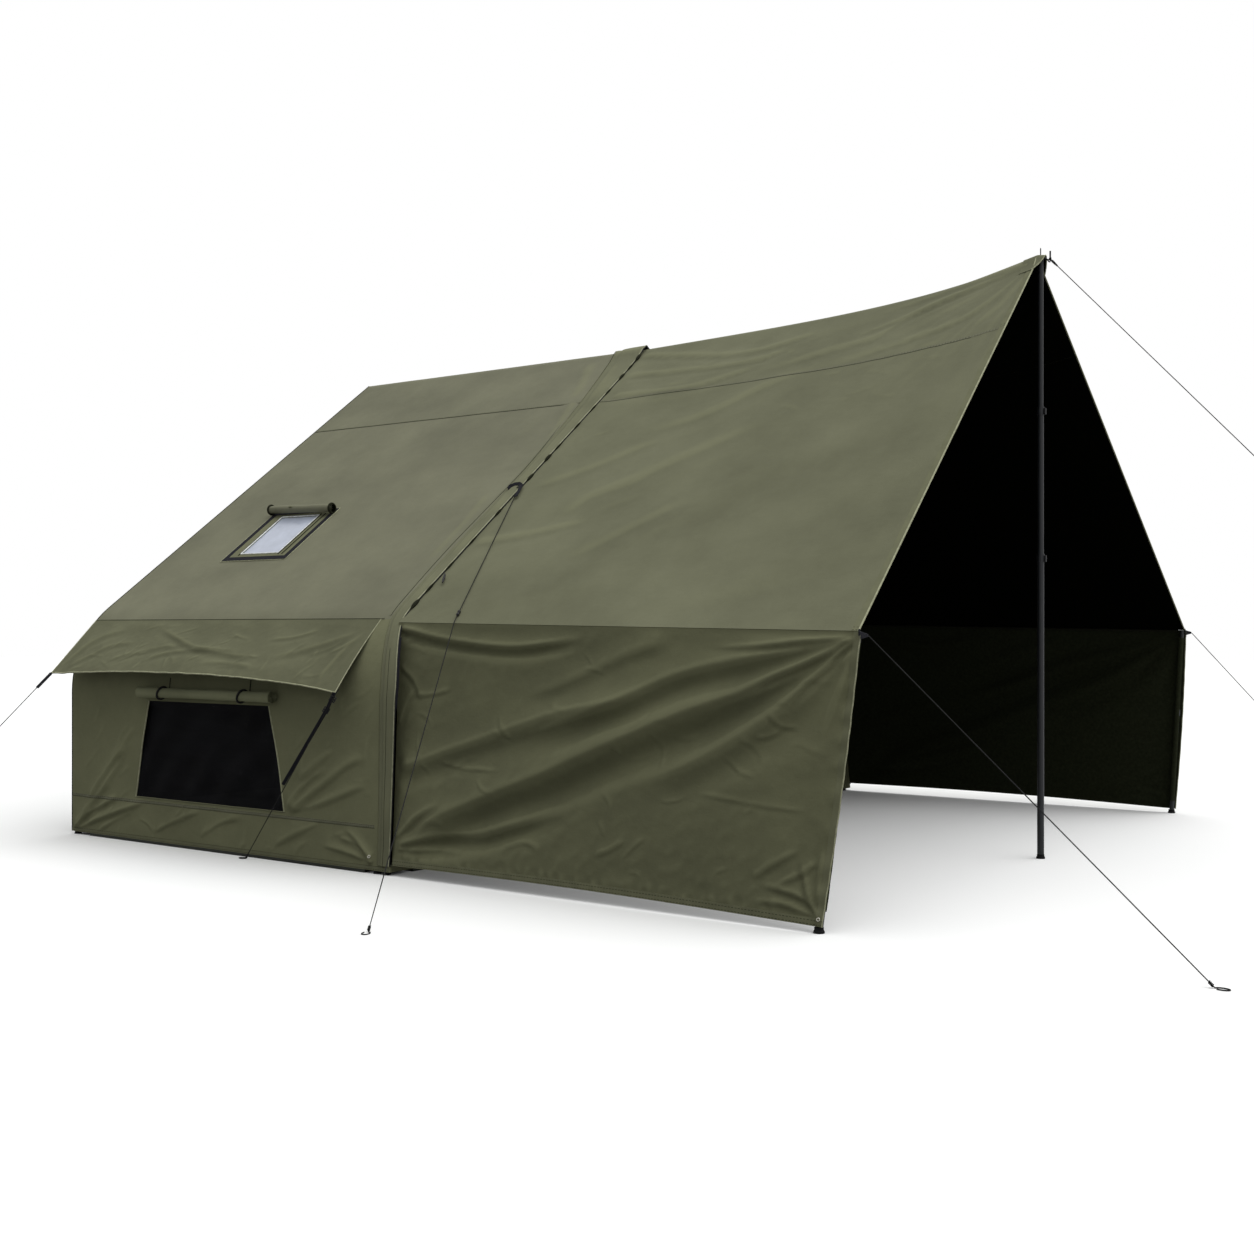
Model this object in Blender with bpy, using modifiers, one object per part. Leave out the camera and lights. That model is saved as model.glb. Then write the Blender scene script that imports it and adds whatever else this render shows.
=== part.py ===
"""Ridge tent in metres: an air-beam cabin at the back, a pole-held canopy at the front, +X forward, +Z up."""
import math

import bmesh
import bpy
from mathutils import Matrix, Vector

# Fabric and clearances
FABRIC = 0.002
CLEAR = 0.0003
SEAM_GAP = 0.0005

# Cabin shell, outer faces
HALF_WIDTH = 2.10
REAR_X = -2.20
RIDGE_HEIGHT = 2.57
CORNER_HEIGHT = 0.999
SHOULDER_RADIUS = 0.541
SHOULDER_STEPS = 10
EAVE_SEAM_STEP = 8
TOP_SEAM_DROP = 0.556
WALL_HEM = 0.015

# The joint between cabin and canopy leans back as it rises
JUNCTION_FOOT_X = 0.075
JUNCTION_RIDGE_X = -0.075

# Canopy
FRONT_X = 2.135
PEAK_HEIGHT = 2.75
RIDGE_RISE_STRAIGHT = 0.35
RIDGE_RISE_POWER = 4
CANOPY_EAVE_HALF = HALF_WIDTH - 0.115
CANOPY_EAVE_REAR_HEIGHT = 1.08
CANOPY_EAVE_FRONT_HEIGHT = 1.045
CANOPY_CORNER_REACH = 0.09
CANOPY_SEAM_SHARE = 0.225
CANOPY_HEM_REAR = 0.046
CANOPY_HEM_FRONT = 0.024
CANOPY_COLUMNS = 14
FOLD_DEPTH = 0.024
FOLD_RIDGE_WIDTH = 0.075
FOLD_SPACING = 0.13

# Air beams
BEAM_RADIUS = 0.065
BEAM_APEX_RADIUS = 0.15
BEAM_APEX_STEPS = 6
RIDGE_BEAM_RADIUS = 0.05
BLADDER_FILM = 0.001
BEAM_FOOT_HEIGHT = 0.022
BEAM_FOOT_CUP_BASE = 0.011
STUD_RADIUS = 0.0185
STUD_OVERLAP = 0.003
STUD_CORNER_OFFSET = 0.047
STUD_PAIR_OFFSET = 0.028

# Inflation valves
VALVE_HEIGHT = 0.50
VALVE_FLANGE_RADIUS = 0.026
VALVE_FLANGE_DEPTH = 0.005
VALVE_NECK_RADIUS = 0.016
VALVE_NECK_DEPTH = 0.010
VALVE_STEM_RADIUS = 0.013
VALVE_BORE_RADIUS = 0.009
VALVE_CAP_RADIUS = 0.018
VALVE_CAP_DEPTH = 0.005

# Tub floor and doorway
TUB_HEIGHT = 0.12
TUB_NOTCH = 0.145
DOOR_WIDTH = 1.15
DOOR_SILL = 0.135
DOOR_TOP = 1.80
DOOR_CORNER_RADIUS = 0.25
DOOR_CORNER_STEPS = 6
DOOR_ROLL_RADIUS = 0.045
DOOR_ROLL_GAP = 0.03
DOOR_ROLL_DROP = 0.06

# Side windows and their eave flaps
WINDOW_X = -1.13
WINDOW_BOTTOM = 0.225
WINDOW_HEIGHT = 0.475
WINDOW_TOP_WIDTH = 0.873
WINDOW_BOTTOM_WIDTH = 1.081
WINDOW_LAP = 0.02
MESH_THICKNESS = 0.001
WINDOW_ROLL_RADIUS = 0.0325
WINDOW_ROLL_LENGTH = 0.993
WINDOW_ROLL_RISE = 0.041
FLAP_FRONT_GAP = 0.12
FLAP_REACH = 0.262
FLAP_DROP_REAR = 0.262
FLAP_DROP_FRONT = 0.300
FLAP_HEM_RISE = 0.022
FLAP_HANG_LENGTH = 0.38
FLAP_HANG_STANDOFF = 0.072
FLAP_COLUMNS = 12
FLAP_ROWS = 5

# Skylight in the near roof
SKYLIGHT_X = -1.445
SKYLIGHT_WIDTH = 0.49
SKYLIGHT_TOP_DROP = 1.485
SKYLIGHT_LENGTH = 0.465
SKYLIGHT_SIDE_BORDER = 0.10
SKYLIGHT_END_BORDER = 0.062
SKYLIGHT_FRAME_THICKNESS = 0.004
SKYLIGHT_PANE_LAP = 0.01
SKYLIGHT_ROLL_RADIUS = 0.0265
SKYLIGHT_ROLL_STAND = 0.0257
SKYLIGHT_ROLL_LENGTH = 0.545
SKYLIGHT_ROLL_X = -1.495
SKYLIGHT_ROLL_LIFT = 0.032

# Cover band over the joint
BAND_WALL_WIDTH = 0.11
BAND_WAIST_WIDTH = 0.075
BAND_RIDGE_WIDTH = 0.20
BAND_WAIST_HEIGHT = 1.73
BAND_BULGE = 0.075
BAND_BULGE_HEIGHT = 0.80
BAND_HEM = 0.04

# Poles, outer radii
POLE_WALL = 0.0012
POLE_RUN = 0.0003
COLLAR_EXTRA = 0.0025
COLLAR_HEIGHT = 0.035
CENTRE_LOWER_RADIUS = 0.0155
CENTRE_MIDDLE_TOP = 2.067
CENTRE_LOWER_TOP = 1.393
CENTRE_NEST = 0.25
CORNER_LOWER_RADIUS = 0.0125
CORNER_LOWER_TOP = 0.60
CORNER_NEST = 0.20
CORNER_POLE_SETBACK = 0.008
CORNER_POLE_INSET = 0.0171
POLE_FOOT_RADIUS = 0.0200
POLE_FOOT_HEIGHT = 0.020
POLE_FOOT_RIM = 0.007
SPIKE_RADIUS = 0.0025
SPIKE_HEIGHT = 0.050
RING_OUTER_RADIUS = 0.013
RING_HOLE_GAP = 0.001
RING_THICKNESS = 0.004
PIN_RADIUS = 0.003
PIN_REACH = 0.045
PIN_DROP = 0.025
PIN_HEIGHT = 0.050

# Guy lines
ROPE_RADIUS = 0.002
LOOP_RADIUS = 0.022
LOOP_STEPS = 12
ROPE_STEPS = 10
ROPE_STEP_LEAST = 0.012
PEAK_PEG = Vector((4.745, 0.0, 0.0))
NEAR_CORNER_PEG = Vector((3.494, -2.121, 0.0))
FAR_CORNER_PEG = Vector((3.195, 2.12, 0.0))
JUNCTION_PEG = Vector((0.875, -3.033, 0.0))
FLAP_REAR_PEG = Vector((-2.275, -3.12, 0.0))
FLAP_FRONT_PEG_X = -0.845
FLAP_FRONT_PEG_STANDOFF = 0.040
JUNCTION_GUY_DROP = 1.402
TAB_LENGTH = 0.038
TAB_HEIGHT = 0.032
TAB_THICKNESS = 0.003
RUNNER_RADIUS = 0.007
RUNNER_WAIST = 0.005
RUNNER_LENGTH = 0.034
RUNNER_BORE_GAP = 0.0006
JUNCTION_BEND_SHARE = 0.148
JUNCTION_RUNNER_SHARE = 0.945
FLAP_RUNNER_SHARE = 0.36
PEAK_RUNNER_SHARE = 0.78
CORNER_RUNNER_SHARE = 0.62

# Values that follow from the ones above
ROOF_SLOPE = (RIDGE_HEIGHT - CORNER_HEIGHT) / HALF_WIDTH
PITCH = math.atan(ROOF_SLOPE)
SHOULDER_TURN = math.pi / 2 - PITCH
WALL_LENGTH = CORNER_HEIGHT - SHOULDER_RADIUS * math.tan(SHOULDER_TURN / 2)
SHOULDER_LENGTH = SHOULDER_RADIUS * SHOULDER_TURN
ROOF_START_Y = (HALF_WIDTH - SHOULDER_RADIUS) + SHOULDER_RADIUS * math.cos(SHOULDER_TURN)
RAFTER_LENGTH = ROOF_START_Y / math.cos(PITCH)
PROFILE_LENGTH = WALL_LENGTH + SHOULDER_LENGTH + RAFTER_LENGTH
EAVE_SEAM = WALL_LENGTH + SHOULDER_LENGTH * EAVE_SEAM_STEP / SHOULDER_STEPS
JUNCTION_LEAN = (JUNCTION_FOOT_X - JUNCTION_RIDGE_X) / RIDGE_HEIGHT
BEAM_INSET = FABRIC + CLEAR + BEAM_RADIUS
BEAM_FOOT_TOP = BEAM_FOOT_HEIGHT + CLEAR
BLADDER_RADIUS = BEAM_RADIUS - FABRIC - 2 * CLEAR
REAR_BEAM_X = REAR_X + BEAM_INSET
CENTRE_MIDDLE_RADIUS = CENTRE_LOWER_RADIUS - POLE_WALL - POLE_RUN
CENTRE_UPPER_RADIUS = CENTRE_MIDDLE_RADIUS - POLE_WALL - POLE_RUN
CORNER_UPPER_RADIUS = CORNER_LOWER_RADIUS - POLE_WALL - POLE_RUN
POLE_START = POLE_FOOT_HEIGHT + CLEAR
RING_TOP = PEAK_HEIGHT - FABRIC / 4
CENTRE_SHOULDER = RING_TOP - RING_THICKNESS - CLEAR
CANOPY_APEX_X = FRONT_X - RING_OUTER_RADIUS - SEAM_GAP

FINISHES = {
    "cabin_cloth": ((0.168, 0.175, 0.112, 1.0), 0.78, 0.0),
    "wall_cloth": ((0.075, 0.082, 0.045, 1.0), 0.80, 0.0),
    "mesh_net": ((0.004, 0.004, 0.004, 1.0), 0.85, 0.0),
    "clear_film": ((0.50, 0.53, 0.60, 1.0), 0.25, 0.0),
    "webbing": ((0.018, 0.018, 0.020, 1.0), 0.70, 0.0),
    "pole_steel": ((0.012, 0.013, 0.015, 1.0), 0.38, 0.6),
    "rubber": ((0.010, 0.010, 0.010, 1.0), 0.75, 0.0),
    "rope": ((0.022, 0.022, 0.022, 1.0), 0.80, 0.0),
    "air_film": ((0.55, 0.56, 0.55, 1.0), 0.45, 0.0),
    "valve_plastic": ((0.020, 0.020, 0.021, 1.0), 0.45, 0.0),
    "floor_film": ((0.060, 0.064, 0.058, 1.0), 0.60, 0.0),
}


def clear_scene():
    for item in list(bpy.data.objects):
        bpy.data.objects.remove(item, do_unlink=True)


def make_collection(name):
    group = bpy.data.collections.new(name)
    bpy.context.scene.collection.children.link(group)
    return group


def make_material(name, colour, roughness, metallic):
    material = bpy.data.materials.new(name)
    material.use_nodes = True
    shader = material.node_tree.nodes["Principled BSDF"]
    shader.inputs["Base Color"].default_value = colour
    shader.inputs["Roughness"].default_value = roughness
    shader.inputs["Metallic"].default_value = metallic
    return material


clear_scene()
PARTS = make_collection("ridge_tent")
CUTTERS = make_collection("cutters")
MATERIALS = {name: make_material(name, *values) for name, values in FINISHES.items()}


def add_object(name, data, finish, group=None):
    """An object in the tent's collection, in one of its finishes."""
    item = bpy.data.objects.new(name, data)
    (group or PARTS).objects.link(item)
    if finish:
        data.materials.append(MATERIALS[finish])
    return item


def mesh_object(name, shape, finish, group=None):
    """An object made from a bmesh, which is used up."""
    mesh = bpy.data.meshes.new(name)
    shape.to_mesh(mesh)
    shape.free()
    return add_object(name, mesh, finish, group)


def add_cutter(name, shape):
    cutter = mesh_object(name, shape, None, CUTTERS)
    cutter.hide_render = True
    cutter.display_type = "WIRE"
    return cutter


def round_cutter(name, radius, depth, placing):
    """A cutter for a round hole, half its depth to each side of its placing."""
    shape = bmesh.new()
    bmesh.ops.create_cone(shape, cap_ends=True, segments=24, radius1=radius, radius2=radius, depth=depth)
    bmesh.ops.transform(shape, matrix=placing, verts=shape.verts)
    return add_cutter(name, shape)


def cut(item, cutter):
    boolean = item.modifiers.new("Cut " + cutter.name, "BOOLEAN")
    boolean.operation = "DIFFERENCE"
    boolean.object = cutter


def fuse(item, other):
    """Join another shape, kept with the cutters, onto a piece."""
    boolean = item.modifiers.new("Fuse " + other.name, "BOOLEAN")
    boolean.operation = "UNION"
    boolean.object = other
    other.hide_render = True
    other.display_type = "WIRE"


def thicken(item, thickness, offset=-1.0):
    """Give an open surface its thickness, on the side away from its faces by default."""
    solid = item.modifiers.new("Thickness", "SOLIDIFY")
    solid.thickness = thickness
    solid.offset = offset
    solid.use_even_offset = True
    return solid


def sheet(name, columns, rows, place, finish, thickness=FABRIC, offset=-1.0, far=False):
    """A sewn panel: a grid laid on a surface by place(column, row), and mirrored to the far side if asked."""
    shape = bmesh.new()
    bmesh.ops.create_grid(shape, x_segments=columns, y_segments=rows, size=0.5)
    for vert in shape.verts:
        vert.co = place(round((vert.co.x + 0.5) * columns), round((vert.co.y + 0.5) * rows))
    if far:
        bmesh.ops.transform(shape, matrix=Matrix.Scale(-1, 4, Vector((0, 1, 0))), verts=shape.verts)
        bmesh.ops.reverse_faces(shape, faces=shape.faces)
    item = mesh_object(name, shape, finish)
    thicken(item, thickness, offset)
    return item


def turned(name, profile, steps, finish, placing=None, closed=False):
    """A turned piece: its (radius, height) profile runs down the outer side, then spins about Z."""
    shape = bmesh.new()
    verts = [shape.verts.new((radius, 0.0, height)) for radius, height in profile]
    for first, second in zip(verts, verts[1:]):
        shape.edges.new((first, second))
    if closed:
        shape.edges.new((verts[-1], verts[0]))
    item = mesh_object(name, shape, finish)
    screw = item.modifiers.new("Turn", "SCREW")
    screw.axis = "Z"
    screw.steps = steps
    screw.render_steps = steps
    screw.use_merge_vertices = True
    screw.merge_threshold = 0.00001
    screw.use_smooth_shade = True
    if placing is not None:
        item.matrix_world = placing
    return item


def swept(name, points, radius, finish, resolution=2, caps=True):
    """A tube or rope: a curve through points with a round bevel, 8 to 12 sided."""
    curve = bpy.data.curves.new(name, "CURVE")
    curve.dimensions = "3D"
    curve.bevel_depth = radius
    curve.bevel_resolution = resolution
    curve.use_fill_caps = caps
    spline = curve.splines.new("POLY")
    spline.points.add(len(points) - 1)
    for slot, point in zip(spline.points, points):
        slot.co = (*point, 1.0)
    spline.use_smooth = True
    return add_object(name, curve, finish)


def as_mesh(item, group=None):
    """Replace a curve object by a mesh object of the same name, with its caps welded on."""
    name = item.name
    bpy.context.view_layer.update()
    evaluated = item.evaluated_get(bpy.context.evaluated_depsgraph_get())
    mesh = bpy.data.meshes.new_from_object(evaluated)
    shape = bmesh.new()
    shape.from_mesh(mesh)
    bmesh.ops.remove_doubles(shape, verts=shape.verts, dist=0.00001)
    shape.to_mesh(mesh)
    shape.free()
    matrix = item.matrix_world.copy()
    bpy.data.objects.remove(item, do_unlink=True)
    solid = bpy.data.objects.new(name, mesh)
    solid.name = name
    mesh.name = name
    (group or PARTS).objects.link(solid)
    solid.matrix_world = matrix
    return solid


def outlined(name, outlines, finish, thickness):
    """A flat piece in the plane across the tent: outlines of (y, z) points, the inner ones being holes."""
    curve = bpy.data.curves.new(name, "CURVE")
    curve.dimensions = "2D"
    curve.fill_mode = "BOTH"
    curve.extrude = thickness / 2
    for outline in outlines:
        spline = curve.splines.new("POLY")
        spline.points.add(len(outline) - 1)
        spline.use_cyclic_u = True
        for slot, (across, height) in zip(spline.points, outline):
            slot.co = (across, height, 0.0, 1.0)
    item = as_mesh(add_object(name, curve, finish))
    item.data.transform(Matrix.Rotation(math.pi / 2, 4, "Z") @ Matrix.Rotation(math.pi / 2, 4, "X"))
    return item


def box_shape(low, high):
    """A box between two corners."""
    shape = bmesh.new()
    low = Vector(low)
    high = Vector(high)
    bmesh.ops.create_cube(shape, size=1.0)
    size = Matrix.Diagonal((*(high - low), 1.0))
    bmesh.ops.transform(shape, matrix=Matrix.Translation((low + high) / 2) @ size, verts=shape.verts)
    return shape


def aim(start, end):
    """The placing that stands +Z along the line from start to end, with its origin at start."""
    direction = Vector(end) - Vector(start)
    return Matrix.Translation(start) @ direction.to_track_quat("Z", "Y").to_matrix().to_4x4()


def profile(distance, offset=0.0):
    """The near half of the cabin's outline: (y, z) at a distance up from the ground, moved outwards by offset."""
    if distance <= WALL_LENGTH:
        return -(HALF_WIDTH + offset), distance
    if distance <= WALL_LENGTH + SHOULDER_LENGTH:
        turn = (distance - WALL_LENGTH) / SHOULDER_RADIUS
        reach = SHOULDER_RADIUS + offset
        across = HALF_WIDTH - SHOULDER_RADIUS + reach * math.cos(turn)
        return -across, WALL_LENGTH + reach * math.sin(turn)
    left = max(0.0, 1.0 - (distance - WALL_LENGTH - SHOULDER_LENGTH) / RAFTER_LENGTH)
    across = left * (ROOF_START_Y + offset * math.sin(PITCH))
    return -across, RIDGE_HEIGHT + offset / math.cos(PITCH) - ROOF_SLOPE * across


def stations(start, stop):
    """Distances up the profile from start to stop, with one at each facet of the shoulder."""
    step = SHOULDER_LENGTH / SHOULDER_STEPS
    marks = [WALL_LENGTH + step * count for count in range(SHOULDER_STEPS + 1)]
    return [start] + [mark for mark in marks if start + CLEAR < mark < stop - CLEAR] + [stop]


def junction_x(height):
    """The plane where cabin and canopy meet, which leans back as it rises."""
    return JUNCTION_FOOT_X - JUNCTION_LEAN * height


def cabin_panel(name, start, stop, finish, far=False):
    """A panel of the cabin's side, from one distance up the profile to another."""
    marks = stations(start, stop)
    columns = 4

    def place(column, row):
        across, height = profile(marks[row])
        front = junction_x(height)
        return Vector((REAR_X + (front - REAR_X) * column / columns, across, height))

    return sheet(name, columns, len(marks) - 1, place, finish, far=far)


def half_outline(inset):
    """The cabin's cross-section inside its skin, up the near side to the ridge."""
    return [profile(mark, -inset) for mark in stations(WALL_HEM, PROFILE_LENGTH)]


def mirrored_outline(points):
    return points + [(-across, height) for across, height in reversed(points) if across < -CLEAR]


def window_cutter(name, far):
    """A window's hole, wider at its sill, through the side wall."""
    shape = box_shape((-1, -HALF_WIDTH - WINDOW_LAP, WINDOW_BOTTOM),
                      (1, -HALF_WIDTH + WINDOW_LAP, WINDOW_BOTTOM + WINDOW_HEIGHT))
    for vert in shape.verts:
        width = WINDOW_BOTTOM_WIDTH if vert.co.z < WINDOW_BOTTOM + WINDOW_HEIGHT / 2 else WINDOW_TOP_WIDTH
        vert.co.x = WINDOW_X + vert.co.x * width / 2
        if far:
            vert.co.y = -vert.co.y
    if far:
        bmesh.ops.reverse_faces(shape, faces=shape.faces)
    return add_cutter(name, shape)


def roof_frame(x, drop, lift):
    """A placing on the near roof, a distance down from the ridge: X forward, Y up the slope, Z out."""
    across, height = profile(PROFILE_LENGTH - drop)
    tilt = Matrix.Rotation(PITCH, 4, "X")
    return Matrix.Translation((x, across, height)) @ tilt @ Matrix.Translation((0, 0, lift))


def make_cabin_shell():
    top_seam = PROFILE_LENGTH - TOP_SEAM_DROP
    near_wall = cabin_panel("cabin_wall_near", WALL_HEM, EAVE_SEAM - SEAM_GAP, "wall_cloth")
    cut(near_wall, window_cutter("near_window_hole", far=False))
    far_wall = cabin_panel("cabin_wall_far", WALL_HEM, EAVE_SEAM - SEAM_GAP, "wall_cloth", far=True)
    cut(far_wall, window_cutter("far_window_hole", far=True))
    near_roof = cabin_panel("cabin_roof_near", EAVE_SEAM, top_seam - SEAM_GAP, "cabin_cloth")
    cabin_panel("cabin_roof_far", EAVE_SEAM, top_seam - SEAM_GAP, "cabin_cloth", far=True)

    columns = 4
    marks = [top_seam, PROFILE_LENGTH]

    def place(column, row):
        across, height = profile(marks[1 - abs(row - 1)])
        front = junction_x(height)
        side = -1 if row > 1 else 1
        return Vector((REAR_X + (front - REAR_X) * column / columns, side * across, height))

    sheet("cabin_roof_top", columns, 2, place, "cabin_cloth")

    hole_width = SKYLIGHT_WIDTH - 2 * SKYLIGHT_SIDE_BORDER + 2 * SKYLIGHT_PANE_LAP
    hole_length = SKYLIGHT_LENGTH - 2 * SKYLIGHT_END_BORDER + 2 * SKYLIGHT_PANE_LAP
    hole = box_shape((-hole_width / 2, -hole_length / 2, -3 * FABRIC), (hole_width / 2, hole_length / 2, 3 * FABRIC))
    centre = roof_frame(SKYLIGHT_X, SKYLIGHT_TOP_DROP + SKYLIGHT_LENGTH / 2, 0.0)
    bmesh.ops.transform(hole, matrix=centre, verts=hole.verts)
    cut(near_roof, add_cutter("skylight_roof_hole", hole))

    rear = outlined("cabin_wall_rear", [mirrored_outline(half_outline(FABRIC + CLEAR))], "wall_cloth", FABRIC)
    rear.data.transform(Matrix.Translation((REAR_X + FABRIC / 2, 0, 0)))


def door_outline():
    """The doorway, with round top corners."""
    half = DOOR_WIDTH / 2
    turn_y = half - DOOR_CORNER_RADIUS
    turn_z = DOOR_TOP - DOOR_CORNER_RADIUS
    points = [(-half, DOOR_SILL)]
    for step in range(DOOR_CORNER_STEPS + 1):
        turn = math.pi / 2 * step / DOOR_CORNER_STEPS
        points.append((-turn_y - DOOR_CORNER_RADIUS * math.cos(turn), turn_z + DOOR_CORNER_RADIUS * math.sin(turn)))
    return points + [(-across, height) for across, height in reversed(points)]


def lean_matrix():
    """Carries a plane at X = 0 onto the leaning joint between cabin and canopy."""
    lean = Matrix.Identity(4)
    lean[0][2] = -JUNCTION_LEAN
    lean[0][3] = JUNCTION_FOOT_X
    return lean


def make_front_wall():
    outline = mirrored_outline(half_outline(FABRIC + CLEAR))
    wall = outlined("cabin_wall_front", [outline, door_outline()], "wall_cloth", FABRIC)
    wall.data.transform(lean_matrix() @ Matrix.Translation((-FABRIC / 2, 0, 0)))

    across = DOOR_WIDTH / 2 + DOOR_ROLL_GAP + DOOR_ROLL_RADIUS
    stand = DOOR_ROLL_RADIUS + 2 * CLEAR
    ends = [Vector((junction_x(height) + stand, across, height))
            for height in (DOOR_SILL + DOOR_ROLL_DROP, DOOR_TOP - DOOR_ROLL_DROP)]
    swept("door_rolled", ends, DOOR_ROLL_RADIUS, "wall_cloth", resolution=4)


def make_groundsheet():
    """A tub floor whose corners are notched round the feet of the air beams."""
    side = HALF_WIDTH - FABRIC - CLEAR
    rear = REAR_X + FABRIC + CLEAR
    front = junction_x(TUB_HEIGHT) - FABRIC - 2 * CLEAR
    lines_x = [rear, rear + TUB_NOTCH, front - TUB_NOTCH, front]
    lines_y = [-side, -side + TUB_NOTCH, side - TUB_NOTCH, side]
    shape = bmesh.new()
    bmesh.ops.create_grid(shape, x_segments=3, y_segments=3, size=0.5)
    for vert in shape.verts:
        vert.co = (lines_x[round((vert.co.x + 0.5) * 3)], lines_y[round((vert.co.y + 0.5) * 3)], 0.0)
    middle = Vector(((rear + front) / 2, 0, 0))
    corners = [face for face in shape.faces
               if abs(face.calc_center_median().x - middle.x) > (front - rear) / 2 - TUB_NOTCH
               and abs(face.calc_center_median().y) > side - TUB_NOTCH]
    bmesh.ops.delete(shape, geom=corners, context="FACES")
    bmesh.ops.reverse_faces(shape, faces=shape.faces)
    rim = [edge for edge in shape.edges if edge.is_boundary]
    raised = bmesh.ops.extrude_edge_only(shape, edges=rim)["geom"]
    raised = [item for item in raised if isinstance(item, bmesh.types.BMVert)]
    bmesh.ops.translate(shape, vec=(0, 0, TUB_HEIGHT), verts=raised)
    bmesh.ops.recalc_face_normals(shape, faces=shape.faces)
    if any(face.normal.z > 0.5 for face in shape.faces):
        bmesh.ops.reverse_faces(shape, faces=shape.faces)
    thicken(mesh_object("groundsheet", shape, "floor_film"), FABRIC)


def arch_line():
    """The centre line of an arch beam: up the near leg, round the shoulder, over the apex and down again."""
    marks = [BEAM_FOOT_TOP] + stations(WALL_LENGTH, WALL_LENGTH + SHOULDER_LENGTH)
    half = [profile(mark, -BEAM_INSET) for mark in marks]
    corner = RIDGE_HEIGHT - BEAM_INSET / math.cos(PITCH)
    centre = corner - BEAM_APEX_RADIUS / math.cos(PITCH)
    apex = []
    for step in range(BEAM_APEX_STEPS + 1):
        turn = PITCH * (2 * step / BEAM_APEX_STEPS - 1)
        apex.append((BEAM_APEX_RADIUS * math.sin(turn), centre + BEAM_APEX_RADIUS * math.cos(turn)))
    return half + apex + [(-across, height) for across, height in reversed(half)]


def beam_apex_height():
    return RIDGE_HEIGHT - BEAM_INSET / math.cos(PITCH) - BEAM_APEX_RADIUS * (1 / math.cos(PITCH) - 1)


def make_arch(place_name, placing, inward, lean=0.0):
    """One arch: a woven sleeve, the bladder inside it, and its valve on the near leg."""
    line = [Vector((0.0, across, height)) for across, height in arch_line()]
    sleeve = as_mesh(swept("beam_sleeve_" + place_name, line, BEAM_RADIUS, "wall_cloth", resolution=4, caps=False))
    sleeve.data.transform(placing)
    thicken(sleeve, FABRIC)
    bladder = as_mesh(swept("beam_bladder_" + place_name, line, BLADDER_RADIUS, "air_film", resolution=4))
    bladder.data.transform(placing)
    thicken(bladder, BLADDER_FILM)

    leg_y = -(HALF_WIDTH - BEAM_INSET)
    centre = placing @ Vector((0.0, leg_y, VALVE_HEIGHT))
    outward = Matrix.Rotation(math.pi / 2 * inward - math.atan(lean), 4, "Y")
    seat = Matrix.Translation(centre) @ outward @ Matrix.Translation((0, 0, BEAM_RADIUS + CLEAR))
    cut(sleeve, round_cutter("valve_hole_" + place_name, VALVE_STEM_RADIUS + SEAM_GAP, BEAM_RADIUS, seat))
    cut(bladder, round_cutter("valve_port_" + place_name, VALVE_BORE_RADIUS, BEAM_RADIUS, seat))

    stem = BEAM_RADIUS - BLADDER_RADIUS
    top = VALVE_FLANGE_DEPTH + VALVE_NECK_DEPTH
    body = [(VALVE_NECK_RADIUS, top), (VALVE_NECK_RADIUS, VALVE_FLANGE_DEPTH), (VALVE_FLANGE_RADIUS, VALVE_FLANGE_DEPTH),
            (VALVE_FLANGE_RADIUS, 0.0), (VALVE_STEM_RADIUS, 0.0), (VALVE_STEM_RADIUS, -stem),
            (VALVE_BORE_RADIUS, -stem), (VALVE_BORE_RADIUS, top)]
    turned("valve_body_" + place_name, body, 24, "valve_plastic", seat, closed=True)
    cap = [(0.0, VALVE_CAP_DEPTH), (VALVE_CAP_RADIUS - 0.001, VALVE_CAP_DEPTH), (VALVE_CAP_RADIUS, VALVE_CAP_DEPTH - 0.001),
           (VALVE_CAP_RADIUS, 0.0), (0.0, 0.0)]
    hinge = seat @ Matrix.Translation((inward * (VALVE_CAP_RADIUS + CLEAR), 0, top + CLEAR))
    pivot = bpy.data.objects.new("valve_cap_pivot_" + place_name, None)
    PARTS.objects.link(pivot)
    pivot.matrix_world = hinge
    lid = turned("valve_cap_" + place_name, cap, 24, "valve_plastic")
    lid.parent = pivot
    lid.location = (-inward * (VALVE_CAP_RADIUS + CLEAR), 0, 0)
    print("hinge of valve cap", place_name, tuple(round(value, 5) for value in hinge.translation))

    for side, where in ((-1, "near"), (1, "far")):
        ground = placing @ Vector((0.0, side * -leg_y, BEAM_FOOT_TOP))
        make_beam_foot(place_name + "_" + where, Vector((ground.x, ground.y, 0.0)), side, inward)


def make_beam_foot(where, ground, side, inward):
    """A rubber cup under a leg, on one stud at the cabin's rear corners and on two at the joint."""
    rim = BEAM_RADIUS - BEAM_FOOT_CUP_BASE / 4
    cup = [(0.0, BEAM_FOOT_HEIGHT), (rim, BEAM_FOOT_HEIGHT), (rim - BEAM_FOOT_CUP_BASE / 2, BEAM_FOOT_CUP_BASE),
           (0.0, BEAM_FOOT_CUP_BASE)]
    foot = turned("beam_foot_" + where, cup, 24, "rubber", Matrix.Translation(ground))
    offsets = [-STUD_CORNER_OFFSET] if inward > 0 else [-STUD_PAIR_OFFSET, STUD_PAIR_OFFSET]
    height = BEAM_FOOT_CUP_BASE + STUD_OVERLAP
    for number, offset in enumerate(offsets):
        shape = bmesh.new()
        bmesh.ops.create_cone(shape, cap_ends=True, segments=24, radius1=STUD_RADIUS, radius2=STUD_RADIUS * 0.8, depth=height)
        centre = ground + Vector((offset, side * STUD_CORNER_OFFSET, height / 2))
        bmesh.ops.translate(shape, vec=centre, verts=shape.verts)
        fuse(foot, add_cutter("stud_" + str(number) + "_" + where, shape))


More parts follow.
